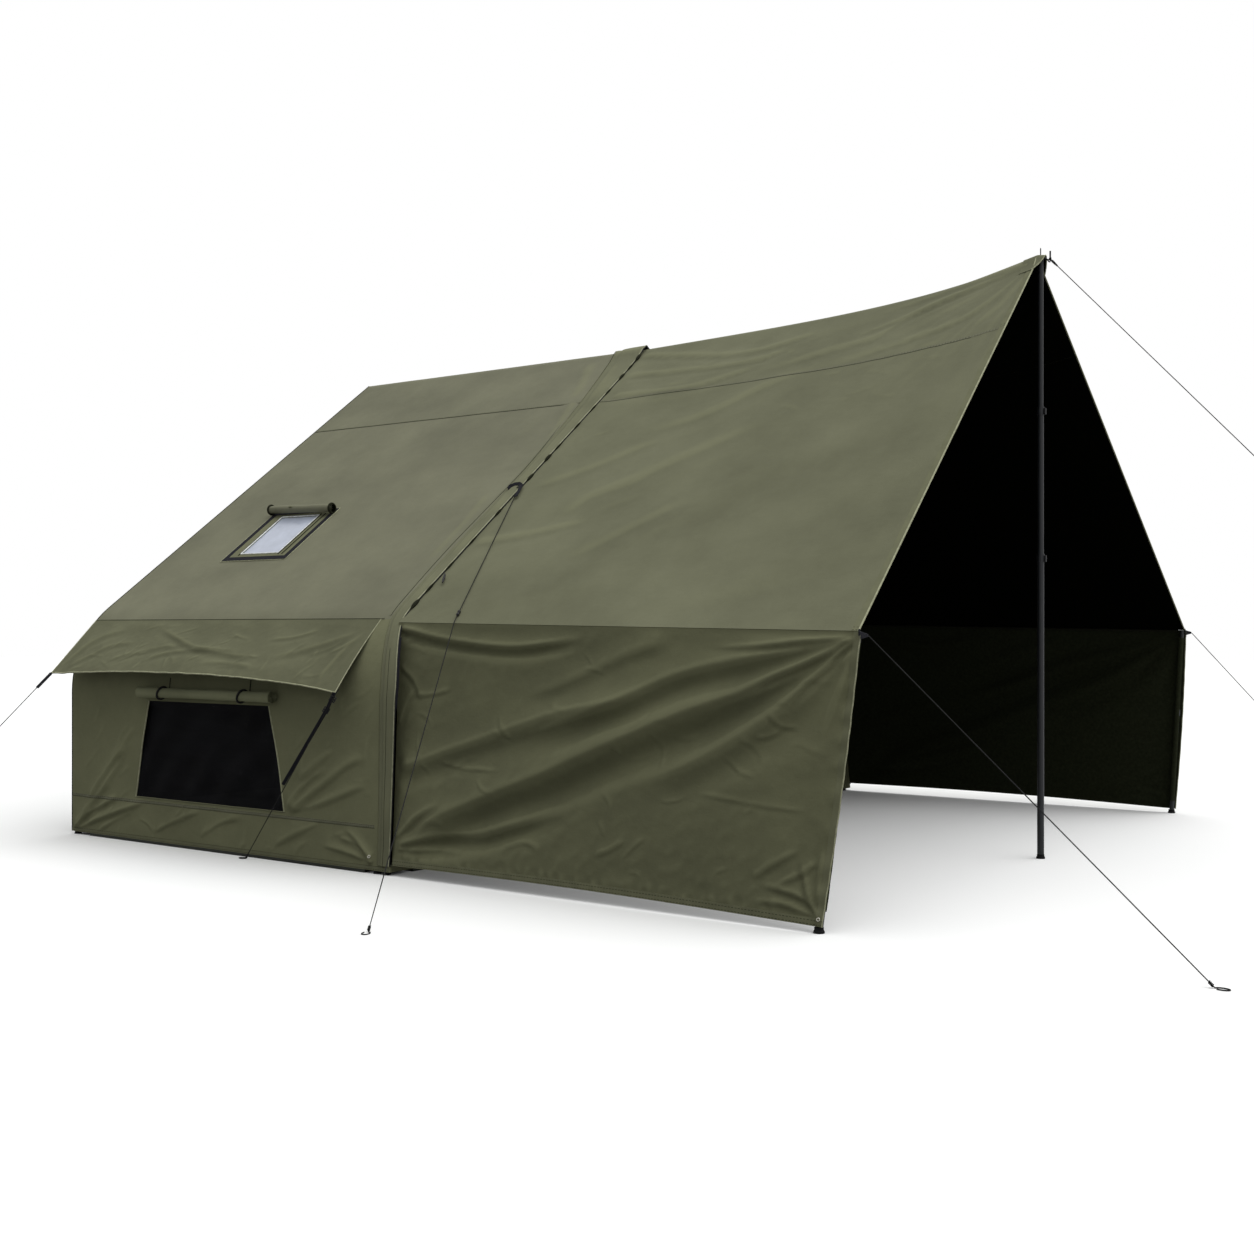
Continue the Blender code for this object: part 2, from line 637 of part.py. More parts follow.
def make_beams():
    make_arch("rear", Matrix.Translation((REAR_BEAM_X, 0, 0)), inward=1)
    front = lean_matrix() @ Matrix.Translation((-BEAM_INSET, 0, 0))
    make_arch("front", front, inward=-1, lean=JUNCTION_LEAN)
    height = beam_apex_height()
    rear_end = REAR_BEAM_X + BEAM_RADIUS + CLEAR
    front_end = junction_x(height) - BEAM_INSET - BEAM_RADIUS - SEAM_GAP
    ends = [Vector((rear_end, 0, height)), Vector((front_end, 0, height))]
    thicken(as_mesh(swept("ridge_beam", ends, RIDGE_BEAM_RADIUS, "wall_cloth", resolution=4, caps=False)), FABRIC)


def make_window(where, far):
    """The mesh behind a side window's hole, and its cover rolled up above it."""
    low = WINDOW_BOTTOM - WINDOW_LAP
    high = WINDOW_BOTTOM + WINDOW_HEIGHT + WINDOW_LAP
    marks = stations(low, high)

    def place(column, row):
        across, height = profile(marks[row], -(FABRIC + CLEAR))
        share = (marks[row] - WINDOW_BOTTOM) / WINDOW_HEIGHT
        width = WINDOW_BOTTOM_WIDTH + (WINDOW_TOP_WIDTH - WINDOW_BOTTOM_WIDTH) * share + 2 * WINDOW_LAP
        return Vector((WINDOW_X + width * (column / 2 - 0.5), across, height))

    sheet("window_mesh_" + where, 2, len(marks) - 1, place, "mesh_net", thickness=MESH_THICKNESS, far=far)

    across, height = profile(WINDOW_BOTTOM + WINDOW_HEIGHT + WINDOW_ROLL_RISE, WINDOW_ROLL_RADIUS + SEAM_GAP)
    side = -1 if far else 1
    ends = [Vector((WINDOW_X + end * WINDOW_ROLL_LENGTH / 2, side * across, height)) for end in (-1, 1)]
    swept("window_cover_roll_" + where, ends, WINDOW_ROLL_RADIUS, "wall_cloth", resolution=4)


def flap_hem(share):
    """Where the near flap's hem runs, from its rear corner to its front one: a shallow scallop."""
    across, height = profile(EAVE_SEAM)
    rear = REAR_X
    front = junction_x(height) - FLAP_FRONT_GAP
    drop = FLAP_DROP_REAR + (FLAP_DROP_FRONT - FLAP_DROP_REAR) * share ** 3
    rise = FLAP_HEM_RISE * math.sin(math.pi * share)
    return Vector((rear + (front - rear) * share, across - FLAP_REACH, height - drop + rise))


def make_flaps():
    """The near eave flap stands out over its window, and the far one hangs down its wall."""
    across, seam_height = profile(EAVE_SEAM, CLEAR)
    front = junction_x(seam_height) - FLAP_FRONT_GAP

    def place_out(column, row):
        share = column / FLAP_COLUMNS
        top = Vector((REAR_X + (front - REAR_X) * share, across, seam_height))
        return flap_hem(share).lerp(top, row / FLAP_ROWS)

    sheet("eave_flap_near", FLAP_COLUMNS, FLAP_ROWS, place_out, "cabin_cloth", offset=1.0)

    def place_down(column, row):
        hang = 1 - row / FLAP_ROWS
        side, height = profile(EAVE_SEAM - FLAP_HANG_LENGTH * hang, CLEAR + FLAP_HANG_STANDOFF * hang)
        return Vector((REAR_X + (front - REAR_X) * column / 4, side, height))

    sheet("eave_flap_far", 4, FLAP_ROWS, place_down, "cabin_cloth", offset=1.0, far=True)


def make_skylight():
    """A framed pane in the near roof, and its cover rolled up above it."""
    half_width = SKYLIGHT_WIDTH / 2
    half_length = SKYLIGHT_LENGTH / 2
    centre_drop = SKYLIGHT_TOP_DROP + half_length
    shape = box_shape((-half_width, -half_length, 0), (half_width, half_length, SKYLIGHT_FRAME_THICKNESS))
    frame = mesh_object("skylight_frame", shape, "webbing")
    frame.matrix_world = roof_frame(SKYLIGHT_X, centre_drop, CLEAR)
    bevel = frame.modifiers.new("Soft edge", "BEVEL")
    bevel.width = SKYLIGHT_FRAME_THICKNESS / 4
    bevel.segments = 2
    inner = (half_width - SKYLIGHT_SIDE_BORDER, half_length - SKYLIGHT_END_BORDER)
    hole = box_shape((-inner[0], -inner[1], -SKYLIGHT_FRAME_THICKNESS), (inner[0], inner[1], 2 * SKYLIGHT_FRAME_THICKNESS))
    bmesh.ops.transform(hole, matrix=roof_frame(SKYLIGHT_X, centre_drop, CLEAR), verts=hole.verts)
    cut(frame, add_cutter("skylight_frame_hole", hole))

    reach = (inner[0] + SKYLIGHT_PANE_LAP - CLEAR, inner[1] + SKYLIGHT_PANE_LAP - CLEAR)
    pane = mesh_object("skylight_pane", box_shape((-reach[0], -reach[1], -FABRIC), (reach[0], reach[1], 0)), "clear_film")
    pane.matrix_world = roof_frame(SKYLIGHT_X, centre_drop, 0.0)

    axis = roof_frame(SKYLIGHT_ROLL_X, SKYLIGHT_TOP_DROP - SKYLIGHT_ROLL_LIFT, SKYLIGHT_ROLL_STAND)
    ends = [axis @ Vector((end * SKYLIGHT_ROLL_LENGTH / 2, 0, 0)) for end in (-1, 1)]
    swept("skylight_cover_roll", ends, SKYLIGHT_ROLL_RADIUS, "cabin_cloth", resolution=3)


def band_width(height):
    """How far the cover band reaches back over the cabin: narrow at its waist, wide at the ridge."""
    if height > BAND_WAIST_HEIGHT:
        share = (height - BAND_WAIST_HEIGHT) / (RIDGE_HEIGHT - BAND_WAIST_HEIGHT)
        return BAND_WAIST_WIDTH + (BAND_RIDGE_WIDTH - BAND_WAIST_WIDTH) * share ** 2
    share = min(1.0, (BAND_WAIST_HEIGHT - height) / (BAND_WAIST_HEIGHT - CORNER_HEIGHT))
    return BAND_WAIST_WIDTH + (BAND_WALL_WIDTH - BAND_WAIST_WIDTH) * share


def band_bulge(height):
    """How far the band's front edge stands forward of the joint, on the wall below the shoulder."""
    if height < BAND_BULGE_HEIGHT:
        return BAND_BULGE * max(0.0, height / BAND_BULGE_HEIGHT) ** 1.3
    share = min(1.0, (height - BAND_BULGE_HEIGHT) / (CORNER_HEIGHT - BAND_BULGE_HEIGHT))
    return BAND_BULGE * math.cos(math.pi / 2 * share)


def make_band():
    """The cover band, from the near foot over the ridge to the far foot."""
    wall = [BAND_HEM + (WALL_LENGTH - BAND_HEM) * step / 4 for step in range(4)]
    roof_start = WALL_LENGTH + SHOULDER_LENGTH
    roof = [roof_start + RAFTER_LENGTH * step / 8 for step in range(1, 9)]
    marks = wall + stations(WALL_LENGTH, roof_start) + roof
    last = len(marks) - 1
    columns = 2

    def place(column, row):
        mark = marks[last - abs(row - last)]
        across, height = profile(mark, CLEAR)
        back = junction_x(height) - band_width(height)
        front = junction_x(height) + band_bulge(height)
        side = -1 if row > last else 1
        return Vector((back + (front - back) * column / columns, side * across, height))

    sheet("junction_band", columns, 2 * last, place, "wall_cloth", offset=1.0)


def canopy_ridge(share):
    rise = RIDGE_RISE_STRAIGHT * share + (1 - RIDGE_RISE_STRAIGHT) * share ** RIDGE_RISE_POWER
    start = JUNCTION_RIDGE_X + CLEAR
    height = RIDGE_HEIGHT + (PEAK_HEIGHT - RIDGE_HEIGHT) * rise
    return Vector((start + (CANOPY_APEX_X - start) * share, 0.0, height))


def canopy_eave(share):
    """The near eave seam, from the joint to the front corner."""
    start = junction_x(CANOPY_EAVE_REAR_HEIGHT) + CLEAR
    end = FRONT_X + CANOPY_CORNER_REACH
    drop = (CANOPY_EAVE_REAR_HEIGHT - CANOPY_EAVE_FRONT_HEIGHT) * share
    return Vector((start + (end - start) * share, -CANOPY_EAVE_HALF, CANOPY_EAVE_REAR_HEIGHT - drop))


def make_canopy_roof():
    columns = CANOPY_COLUMNS
    gap = SEAM_GAP / (canopy_eave(0) - canopy_ridge(0)).length

    def place_top(column, row):
        share = column / columns
        point = canopy_ridge(share).lerp(canopy_eave(share), CANOPY_SEAM_SHARE * abs(row - 2) / 2)
        if row > 2:
            point.y = -point.y
        return point

    def place_side(column, row):
        share = column / columns
        low = CANOPY_SEAM_SHARE + gap
        return canopy_eave(share).lerp(canopy_ridge(share), (1 - low) * row / 6)

    sheet("canopy_roof_top", columns, 4, place_top, "cabin_cloth")
    sheet("canopy_roof_near", columns, 6, place_side, "cabin_cloth")
    sheet("canopy_roof_far", columns, 6, place_side, "cabin_cloth", far=True)


def wall_fold(along, up):
    """How far the canopy wall stands out: folds that run from its front top corner to its rear foot."""
    length = FRONT_X - JUNCTION_FOOT_X
    start = Vector((0.0, CANOPY_HEM_REAR * 3))
    end = Vector((length, CANOPY_EAVE_FRONT_HEIGHT))
    point = Vector((along * length, up * CANOPY_EAVE_FRONT_HEIGHT))
    run = (end - start).normalized()
    reach = (point - start).dot(run) / (end - start).length
    side = (point - start).dot(Vector((-run.y, run.x)))
    fade = math.sin(math.pi * min(1.0, max(0.0, reach))) ** 0.6
    main = math.exp(-((side - FOLD_RIDGE_WIDTH) / FOLD_RIDGE_WIDTH) ** 2)
    valley = math.exp(-((side + FOLD_RIDGE_WIDTH) / (1.4 * FOLD_RIDGE_WIDTH)) ** 2)
    upper = math.exp(-((side - FOLD_RIDGE_WIDTH - 2 * FOLD_SPACING) / FOLD_RIDGE_WIDTH) ** 2)
    edges = min(1.0, 8 * along) * min(1.0, 8 * (1 - along)) * min(1.0, 6 * (1 - up)) * min(1.0, 4 * up)
    return FOLD_DEPTH * fade * edges * (main - 0.8 * valley + 0.4 * upper)


def wall_drop():
    """Room below the roof's edge, so that the wall's top edge clears it."""
    slope = math.atan((RIDGE_HEIGHT - CANOPY_EAVE_REAR_HEIGHT) / CANOPY_EAVE_HALF)
    return FABRIC * math.cos(slope) + SEAM_GAP


def wall_foot(share):
    rear = Vector((junction_x(CANOPY_HEM_REAR) + CLEAR, -HALF_WIDTH, CANOPY_HEM_REAR))
    front = Vector((FRONT_X, -HALF_WIDTH, CANOPY_HEM_FRONT))
    return rear.lerp(front, share)


def make_canopy_walls():
    columns = 20
    rows = 12

    def place(column, row):
        along = column / columns
        up = row / rows
        top = canopy_eave(along) - Vector((0, 0, wall_drop()))
        point = wall_foot(along).lerp(top, up)
        point.y -= wall_fold(along, up)
        return point

    sheet("canopy_wall_near", columns, rows, place, "wall_cloth")
    sheet("canopy_wall_far", columns, rows, place, "wall_cloth", far=True)


def pole_section(name, bottom, top, radius, placing, collar=True):
    """A pole section, a tube with a lock collar at its top, along Z of its placing."""
    inner = radius - POLE_WALL
    outline = [(radius, top), (radius, bottom), (inner, bottom), (inner, top)]
    if collar:
        start = top - COLLAR_HEIGHT
        thick = radius + COLLAR_EXTRA
        outline = [(thick, top), (thick, start), (radius, start), (radius, bottom), (inner, bottom), (inner, top)]
    return turned(name, outline, 16, "pole_steel", placing, closed=True)


def pole_foot(name, x, y):
    """A rubber foot whose top carries the end of a pole."""
    shoulder = CENTRE_LOWER_RADIUS + POLE_WALL
    foot = [(0.0, POLE_FOOT_HEIGHT), (shoulder, POLE_FOOT_HEIGHT), (shoulder, POLE_FOOT_RIM * 1.6),
            (POLE_FOOT_RADIUS, POLE_FOOT_RIM), (POLE_FOOT_RADIUS, 0.0), (0.0, 0.0)]
    turned(name, foot, 24, "rubber", Matrix.Translation((x, y, 0.0)))


def make_centre_pole():
    placing = Matrix.Translation((FRONT_X, 0, 0))
    pole_foot("centre_pole_foot", FRONT_X, 0.0)
    pole_section("centre_pole_lower", POLE_START, CENTRE_LOWER_TOP, CENTRE_LOWER_RADIUS, placing)
    pole_section("centre_pole_middle", CENTRE_LOWER_TOP - CENTRE_NEST, CENTRE_MIDDLE_TOP, CENTRE_MIDDLE_RADIUS, placing)
    inner = CENTRE_UPPER_RADIUS - POLE_WALL
    bottom = CENTRE_MIDDLE_TOP - CENTRE_NEST
    plug = CENTRE_SHOULDER - COLLAR_HEIGHT
    tip = CENTRE_SHOULDER + SPIKE_HEIGHT
    upper = [(0.0, tip), (SPIKE_RADIUS * 0.6, tip), (SPIKE_RADIUS, tip - 0.004), (SPIKE_RADIUS, CENTRE_SHOULDER),
             (CENTRE_UPPER_RADIUS, CENTRE_SHOULDER), (CENTRE_UPPER_RADIUS, bottom), (inner, bottom), (inner, plug), (0.0, plug)]
    turned("centre_pole_upper", upper, 16, "pole_steel", placing)

    hole = SPIKE_RADIUS + RING_HOLE_GAP
    ring = [(RING_OUTER_RADIUS, RING_TOP), (RING_OUTER_RADIUS, RING_TOP - RING_THICKNESS),
            (hole, RING_TOP - RING_THICKNESS), (hole, RING_TOP)]
    hook = turned("peak_hook", ring, 24, "pole_steel", placing, closed=True)
    level = RING_TOP - RING_THICKNESS + PIN_RADIUS
    low = RING_TOP - PIN_DROP
    route = [(RING_OUTER_RADIUS - PIN_RADIUS / 2, level), (RING_OUTER_RADIUS + 3 * PIN_RADIUS, level),
             (PIN_REACH - 2 * PIN_RADIUS, low + PIN_RADIUS), (PIN_REACH - PIN_RADIUS / 2, low),
             (PIN_REACH, low + 2 * PIN_RADIUS), (PIN_REACH, low + PIN_HEIGHT)]
    points = [Vector((FRONT_X + reach, 0.0, height)) for reach, height in route]
    fuse(hook, as_mesh(swept("peak_pin", points, PIN_RADIUS, None, resolution=2), CUTTERS))


def make_corner_pole(where, side):
    """A leaning two-section pole behind the front edge of a canopy wall, and the tab that its guy line pulls."""
    corner = canopy_eave(1.0)
    shift = Vector((-CORNER_POLE_SETBACK, CORNER_POLE_INSET, 0))
    low = Vector((FRONT_X, -HALF_WIDTH, 0.0)) + shift
    high = corner + shift
    high.z = corner.z - 2 * FABRIC
    edge_line = wall_foot(1.0) - corner
    low = high + edge_line * (low.z - high.z) / edge_line.z
    low.y *= -side
    high.y *= -side
    length = (high - low).length
    placing = aim(low, high)
    lean = (high - low).angle(Vector((0, 0, 1)))
    start = (POLE_START + CORNER_LOWER_RADIUS * math.sin(lean)) / math.cos(lean)
    lower_top = CORNER_LOWER_TOP
    pole_foot("corner_pole_foot_" + where, low.x, low.y)
    pole_section("corner_pole_lower_" + where, start, lower_top, CORNER_LOWER_RADIUS, placing)
    pole_section("corner_pole_upper_" + where, lower_top - CORNER_NEST, length, CORNER_UPPER_RADIUS, placing, collar=False)
    print("corner pole", where, "foot", tuple(low), "direction", tuple((high - low).normalized()))

    shape = box_shape((corner.x + CLEAR, -TAB_THICKNESS / 2, -TAB_HEIGHT / 2), (corner.x + TAB_LENGTH, TAB_THICKNESS / 2, TAB_HEIGHT / 2))
    for vert in shape.verts:
        if vert.co.x > corner.x + TAB_LENGTH / 2:
            vert.co.z *= 0.3
        vert.co.y += side * CANOPY_EAVE_HALF
        vert.co.z += corner.z - TAB_HEIGHT / 2
    mesh_object("corner_tab_" + where, shape, "webbing")
    return Vector((corner.x + TAB_LENGTH, side * CANOPY_EAVE_HALF, corner.z - TAB_HEIGHT / 2))


def guy_line(name, anchor, peg, facing=None, bend=None):
    """A guy line from a face, over a bend if it has one, to a loop round its peg's place, all one rope."""
    peg = Vector(peg)
    level = max(peg.z, 0.0) + ROPE_RADIUS + SEAM_GAP
    flat = Vector((peg.x - anchor.x, peg.y - anchor.y, 0)).normalized()
    centre = Vector((peg.x, peg.y, level)) - flat * LOOP_RADIUS
    knot = centre - flat * LOOP_RADIUS
    first_stop = bend or knot
    direction = (first_stop - anchor).normalized()
    square = direction.dot(facing) if facing else 1.0
    start = anchor + direction * (CLEAR + ROPE_RADIUS * math.sqrt(max(0.0, 1.0 - square ** 2))) / square
    steps = max(1, min(ROPE_STEPS, int((first_stop - start).length / ROPE_STEP_LEAST)))
    points = [start.lerp(first_stop, step / steps) for step in range(steps + 1)]
    if bend:
        points += [bend.lerp(knot, step / ROPE_STEPS) for step in range(1, ROPE_STEPS + 1)]
    left = Vector((-flat.y, flat.x, 0))
    for step in range(1, LOOP_STEPS):
        turn = 2 * math.pi * step / (LOOP_STEPS + 1)
        points.append(centre - flat * LOOP_RADIUS * math.cos(turn) + left * LOOP_RADIUS * math.sin(turn))
    swept(name, points, ROPE_RADIUS, "rope")
    length = sum((second - first).length for first, second in zip(points, points[1:]))
    print("guy line", name, "length", round(length, 3), "start", tuple(round(value, 4) for value in start))
    return start, first_stop


def runner(name, ends, share):
    """A sliding runner threaded on a guy line, a share of the way down it."""
    start, knot = ends
    centre = start.lerp(knot, share)
    hole = ROPE_RADIUS + RUNNER_BORE_GAP
    half = RUNNER_LENGTH / 2
    outline = [(RUNNER_WAIST, half), (RUNNER_RADIUS, half * 0.8), (RUNNER_RADIUS, half * 0.4), (RUNNER_WAIST, half * 0.2),
               (RUNNER_WAIST, -half * 0.2), (RUNNER_RADIUS, -half * 0.4), (RUNNER_RADIUS, -half * 0.8), (RUNNER_WAIST, -half),
               (hole, -half), (hole, half)]
    turned(name, outline, 12, "valve_plastic", aim(centre, knot), closed=True)
    direction = (knot - start).normalized()
    print("runner", name, "at", tuple(round(value, 5) for value in centre), "axis", tuple(round(value, 6) for value in direction))


def make_guys(near_tab, far_tab):
    forward = Vector((1, 0, 0))
    peak = Vector((FRONT_X + PIN_REACH + PIN_RADIUS, 0, RING_TOP - PIN_DROP + 3.5 * PIN_RADIUS))
    runner("runner_peak", guy_line("guy_peak", peak, PEAK_PEG, forward), PEAK_RUNNER_SHARE)
    guy_line("guy_corner_near", near_tab, NEAR_CORNER_PEG, forward)
    runner("runner_corner_far", guy_line("guy_corner_far", far_tab, FAR_CORNER_PEG, forward), CORNER_RUNNER_SHARE)

    across, height = profile(PROFILE_LENGTH - JUNCTION_GUY_DROP, FABRIC + 2 * CLEAR + ROPE_RADIUS)
    joint = Vector((junction_x(height) - ROPE_RADIUS, across, height))
    bend = canopy_eave(JUNCTION_BEND_SHARE) + Vector((0, -RUNNER_RADIUS / 2, RUNNER_RADIUS + SEAM_GAP))
    runner("runner_junction", guy_line("guy_junction", joint, JUNCTION_PEG, bend=bend), JUNCTION_RUNNER_SHARE)

    tips = []
    for share, inward in ((0.0, 1), (1.0, -1)):
        outward = Vector((0, -FLAP_REACH, flap_hem(share).z - profile(EAVE_SEAM)[1])).normalized()
        upward = Vector((0, outward.z, -outward.y))
        tips.append((flap_hem(share) + upward * FABRIC / 2 + Vector((inward * 2 * ROPE_RADIUS, 0, 0)), outward))
    runner("runner_flap", guy_line("guy_flap_rear", tips[0][0], FLAP_REAR_PEG, tips[0][1]), FLAP_RUNNER_SHARE)
    peg = Vector((FLAP_FRONT_PEG_X, -(HALF_WIDTH + FLAP_FRONT_PEG_STANDOFF), 0.0))
    guy_line("guy_flap_front", tips[1][0], peg, tips[1][1], bend=tips[1][0] + tips[1][1] * ROPE_STEP_LEAST)


def main():
    make_cabin_shell()
    make_front_wall()
    make_groundsheet()
    make_beams()
    make_window("near", far=False)
    make_window("far", far=True)
    make_flaps()
    make_skylight()
    make_band()
    make_canopy_roof()
    make_canopy_walls()
    make_centre_pole()
    near_tab = make_corner_pole("near", -1)
    far_tab = make_corner_pole("far", 1)
    make_guys(near_tab, far_tab)


main()
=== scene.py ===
"""Ridge tent dressed for its picture: sewn canvas, webbing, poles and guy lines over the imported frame."""
import logging
import math
from dataclasses import dataclass
from enum import Enum
from typing import Any, Callable, Optional, Sequence

import bmesh
import bpy
import numpy as np
from mathutils import Matrix, Vector


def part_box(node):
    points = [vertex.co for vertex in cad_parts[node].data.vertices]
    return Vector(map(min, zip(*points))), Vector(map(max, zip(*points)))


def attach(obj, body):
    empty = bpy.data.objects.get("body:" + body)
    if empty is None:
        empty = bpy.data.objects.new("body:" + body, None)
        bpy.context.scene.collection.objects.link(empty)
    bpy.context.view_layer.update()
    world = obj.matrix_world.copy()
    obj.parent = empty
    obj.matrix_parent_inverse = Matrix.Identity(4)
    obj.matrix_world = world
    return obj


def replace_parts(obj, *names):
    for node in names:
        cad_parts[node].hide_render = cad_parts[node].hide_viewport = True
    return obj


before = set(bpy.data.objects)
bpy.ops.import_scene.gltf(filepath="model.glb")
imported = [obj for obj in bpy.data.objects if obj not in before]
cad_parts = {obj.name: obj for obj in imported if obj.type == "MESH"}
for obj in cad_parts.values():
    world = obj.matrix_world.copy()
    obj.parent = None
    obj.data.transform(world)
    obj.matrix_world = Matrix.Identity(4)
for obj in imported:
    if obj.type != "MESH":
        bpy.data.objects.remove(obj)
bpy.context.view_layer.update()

LOG = logging.getLogger("ridge_tent")
Array = np.ndarray
Point = Sequence[float]
Piece = bpy.types.Object
Tree = bpy.types.NodeTree
Socket = bpy.types.NodeSocket
# Metres: the canvas' thickness, and the gap between two cloths
FABRIC = 0.002
CLEAR = 0.0003
UV_NAME = "cloth"
# The attribute that marks the crests for their painted highlight
CREST_HIGHLIGHT_NAME = "rub"


class Body(Enum):
    """The frame's bodies that a new piece can ride on."""

    TENT = "tent"
    MIDDLE_SECTION = "centre_middle_section"


class Slot(Enum):
    """The record's material slots."""

    ROOF = "cabin_cloth"
    WALL = "wall_cloth"
    NET = "mesh_net"
    CLEAR_FILM = "clear_film"
    WEBBING = "webbing"
    STEEL = "pole_steel"
    RUBBER = "rubber"
    ROPE = "rope"
    AIR_FILM = "air_film"
    PLASTIC = "valve_plastic"
    FLOOR = "floor_film"


# Shader helpers


def linear(code: str) -> tuple[float, float, float, float]:
    """Turn an sRGB hex colour into the linear colour that a shader takes.

    Args:
        code: Six hex digits, with or without a leading mark.

    Returns:
        Red, green, blue and alpha.
    """
    digits = code.lstrip("#")
    values = [int(digits[place:place + 2], 16) / 255 for place in (0, 2, 4)]
    low = [value / 12.92 if value <= 0.04045 else ((value + 0.055) / 1.055) ** 2.4 for value in values]
    return (*low, 1.0)


def add_node(tree: Tree, kind: str, settings: Optional[dict[str, Any]] = None,
             inputs: Optional[dict[Any, Any]] = None) -> bpy.types.Node:
    """Add one shader node with its settings and links.

    Args:
        tree: The material's node tree.
        kind: The node's type name after ShaderNode.
        settings: Attributes to set on the node.
        inputs: Sockets by name or number, each with a value or with the socket that feeds it.

    Returns:
        The new node.
    """
    node = tree.nodes.new("ShaderNode" + kind)
    for key, value in (settings or {}).items():
        setattr(node, key, value)
    for key, value in (inputs or {}).items():
        if isinstance(value, Socket):
            tree.links.new(value, node.inputs[key])
        else:
            node.inputs[key].default_value = value
    return node


def grain(tree: Tree, where: Socket, stretch: Sequence[float], scale: float,
          detail: float = 3.0) -> Socket:
    """Noise on coordinates stretched by a Mapping node.

    Args:
        tree: The material's node tree.
        where: The coordinates.
        stretch: The Mapping node's scale on each axis.
        scale: The noise's own scale, in features per metre.
        detail: Its octaves.

    Returns:
        The noise's factor socket.
    """
    turned = add_node(tree, "Mapping", inputs={"Vector": where, "Scale": tuple(stretch)})
    noise = add_node(tree, "TexNoise",
                     inputs={"Vector": turned.outputs[0], "Scale": scale, "Detail": detail, "Roughness": 0.6})
    return noise.outputs[0]


def blend_colours(tree: Tree, share: Socket, low: Any, high: Any,
                  span: tuple[float, float] = (0.3, 0.7)) -> Socket:
    """Mix two colours by a share that is first spread over a span.

    Args:
        tree: The material's node tree.
        share: The socket that says how much of the second colour shows.
        low: A hex colour or a socket.
        high: A hex colour or a socket.
        span: The shares at which only the first and only the second colour show.

    Returns:
        The mixed colour's socket.
    """
    spread = add_node(tree, "MapRange", inputs={0: share, 1: span[0], 2: span[1]})
    colours = [linear(item) if isinstance(item, str) else item for item in (low, high)]
    mixed = add_node(tree, "Mix", {"data_type": "RGBA"},
                     {0: spread.outputs[0], 6: colours[0], 7: colours[1]})
    return mixed.outputs[2]


@dataclass(frozen=True)
class Finish:
    """What a piece is made of: its common name, its colour, and how it takes the light."""

    name: str
    colour: str
    slot: Slot
    roughness: float = 0.85
    shine: float = 0.10
    metallic: float = 0.0

    def material(self) -> bpy.types.Material:
        """The finish's material, made the first time it is asked for.

        Returns:
            The material.
        """
        known = bpy.data.materials.get(self.name)
        if known:
            return known
        made = bpy.data.materials.new(self.name)
        made.use_nodes = True
        tree = made.node_tree
        shader = tree.nodes["Principled BSDF"]
        for socket, value in (("Base Color", linear(self.colour)), ("Roughness", self.roughness),
                              ("Metallic", self.metallic), ("Specular IOR Level", self.shine)):
            shader.inputs[socket].default_value = value
        made.diffuse_color = linear(self.colour)
        self.dress(tree, shader)
        return made

    def dress(self, tree: Tree, shader: bpy.types.Node) -> None:
        """Give the plain shader its pattern: fine mottling, as on any moulded or painted thing.

        Args:
            tree: The material's node tree.
            shader: Its Principled shader.
        """
        place = add_node(tree, "TexCoord").outputs["Object"]
        mottle = grain(tree, place, (1, 1, 1), 60.0)
        tree.links.new(blend_colours(tree, mottle, self.colour, self.lighter(1.25)), shader.inputs["Base Color"])
        fine = grain(tree, place, (1, 1, 1), 900.0)
        relief = add_node(tree, "Bump", inputs={"Height": fine, "Distance": 0.0002, "Strength": 0.5})
        tree.links.new(relief.outputs[0], shader.inputs["Normal"])

    def lighter(self, factor: float) -> str:
        """The finish's colour with each channel times a factor, as a hex colour."""
        digits = self.colour.lstrip("#")
        values = [min(255, round(int(digits[place:place + 2], 16) * factor)) for place in (0, 2, 4)]
        return "#" + "".join(f"{value:02x}" for value in values)


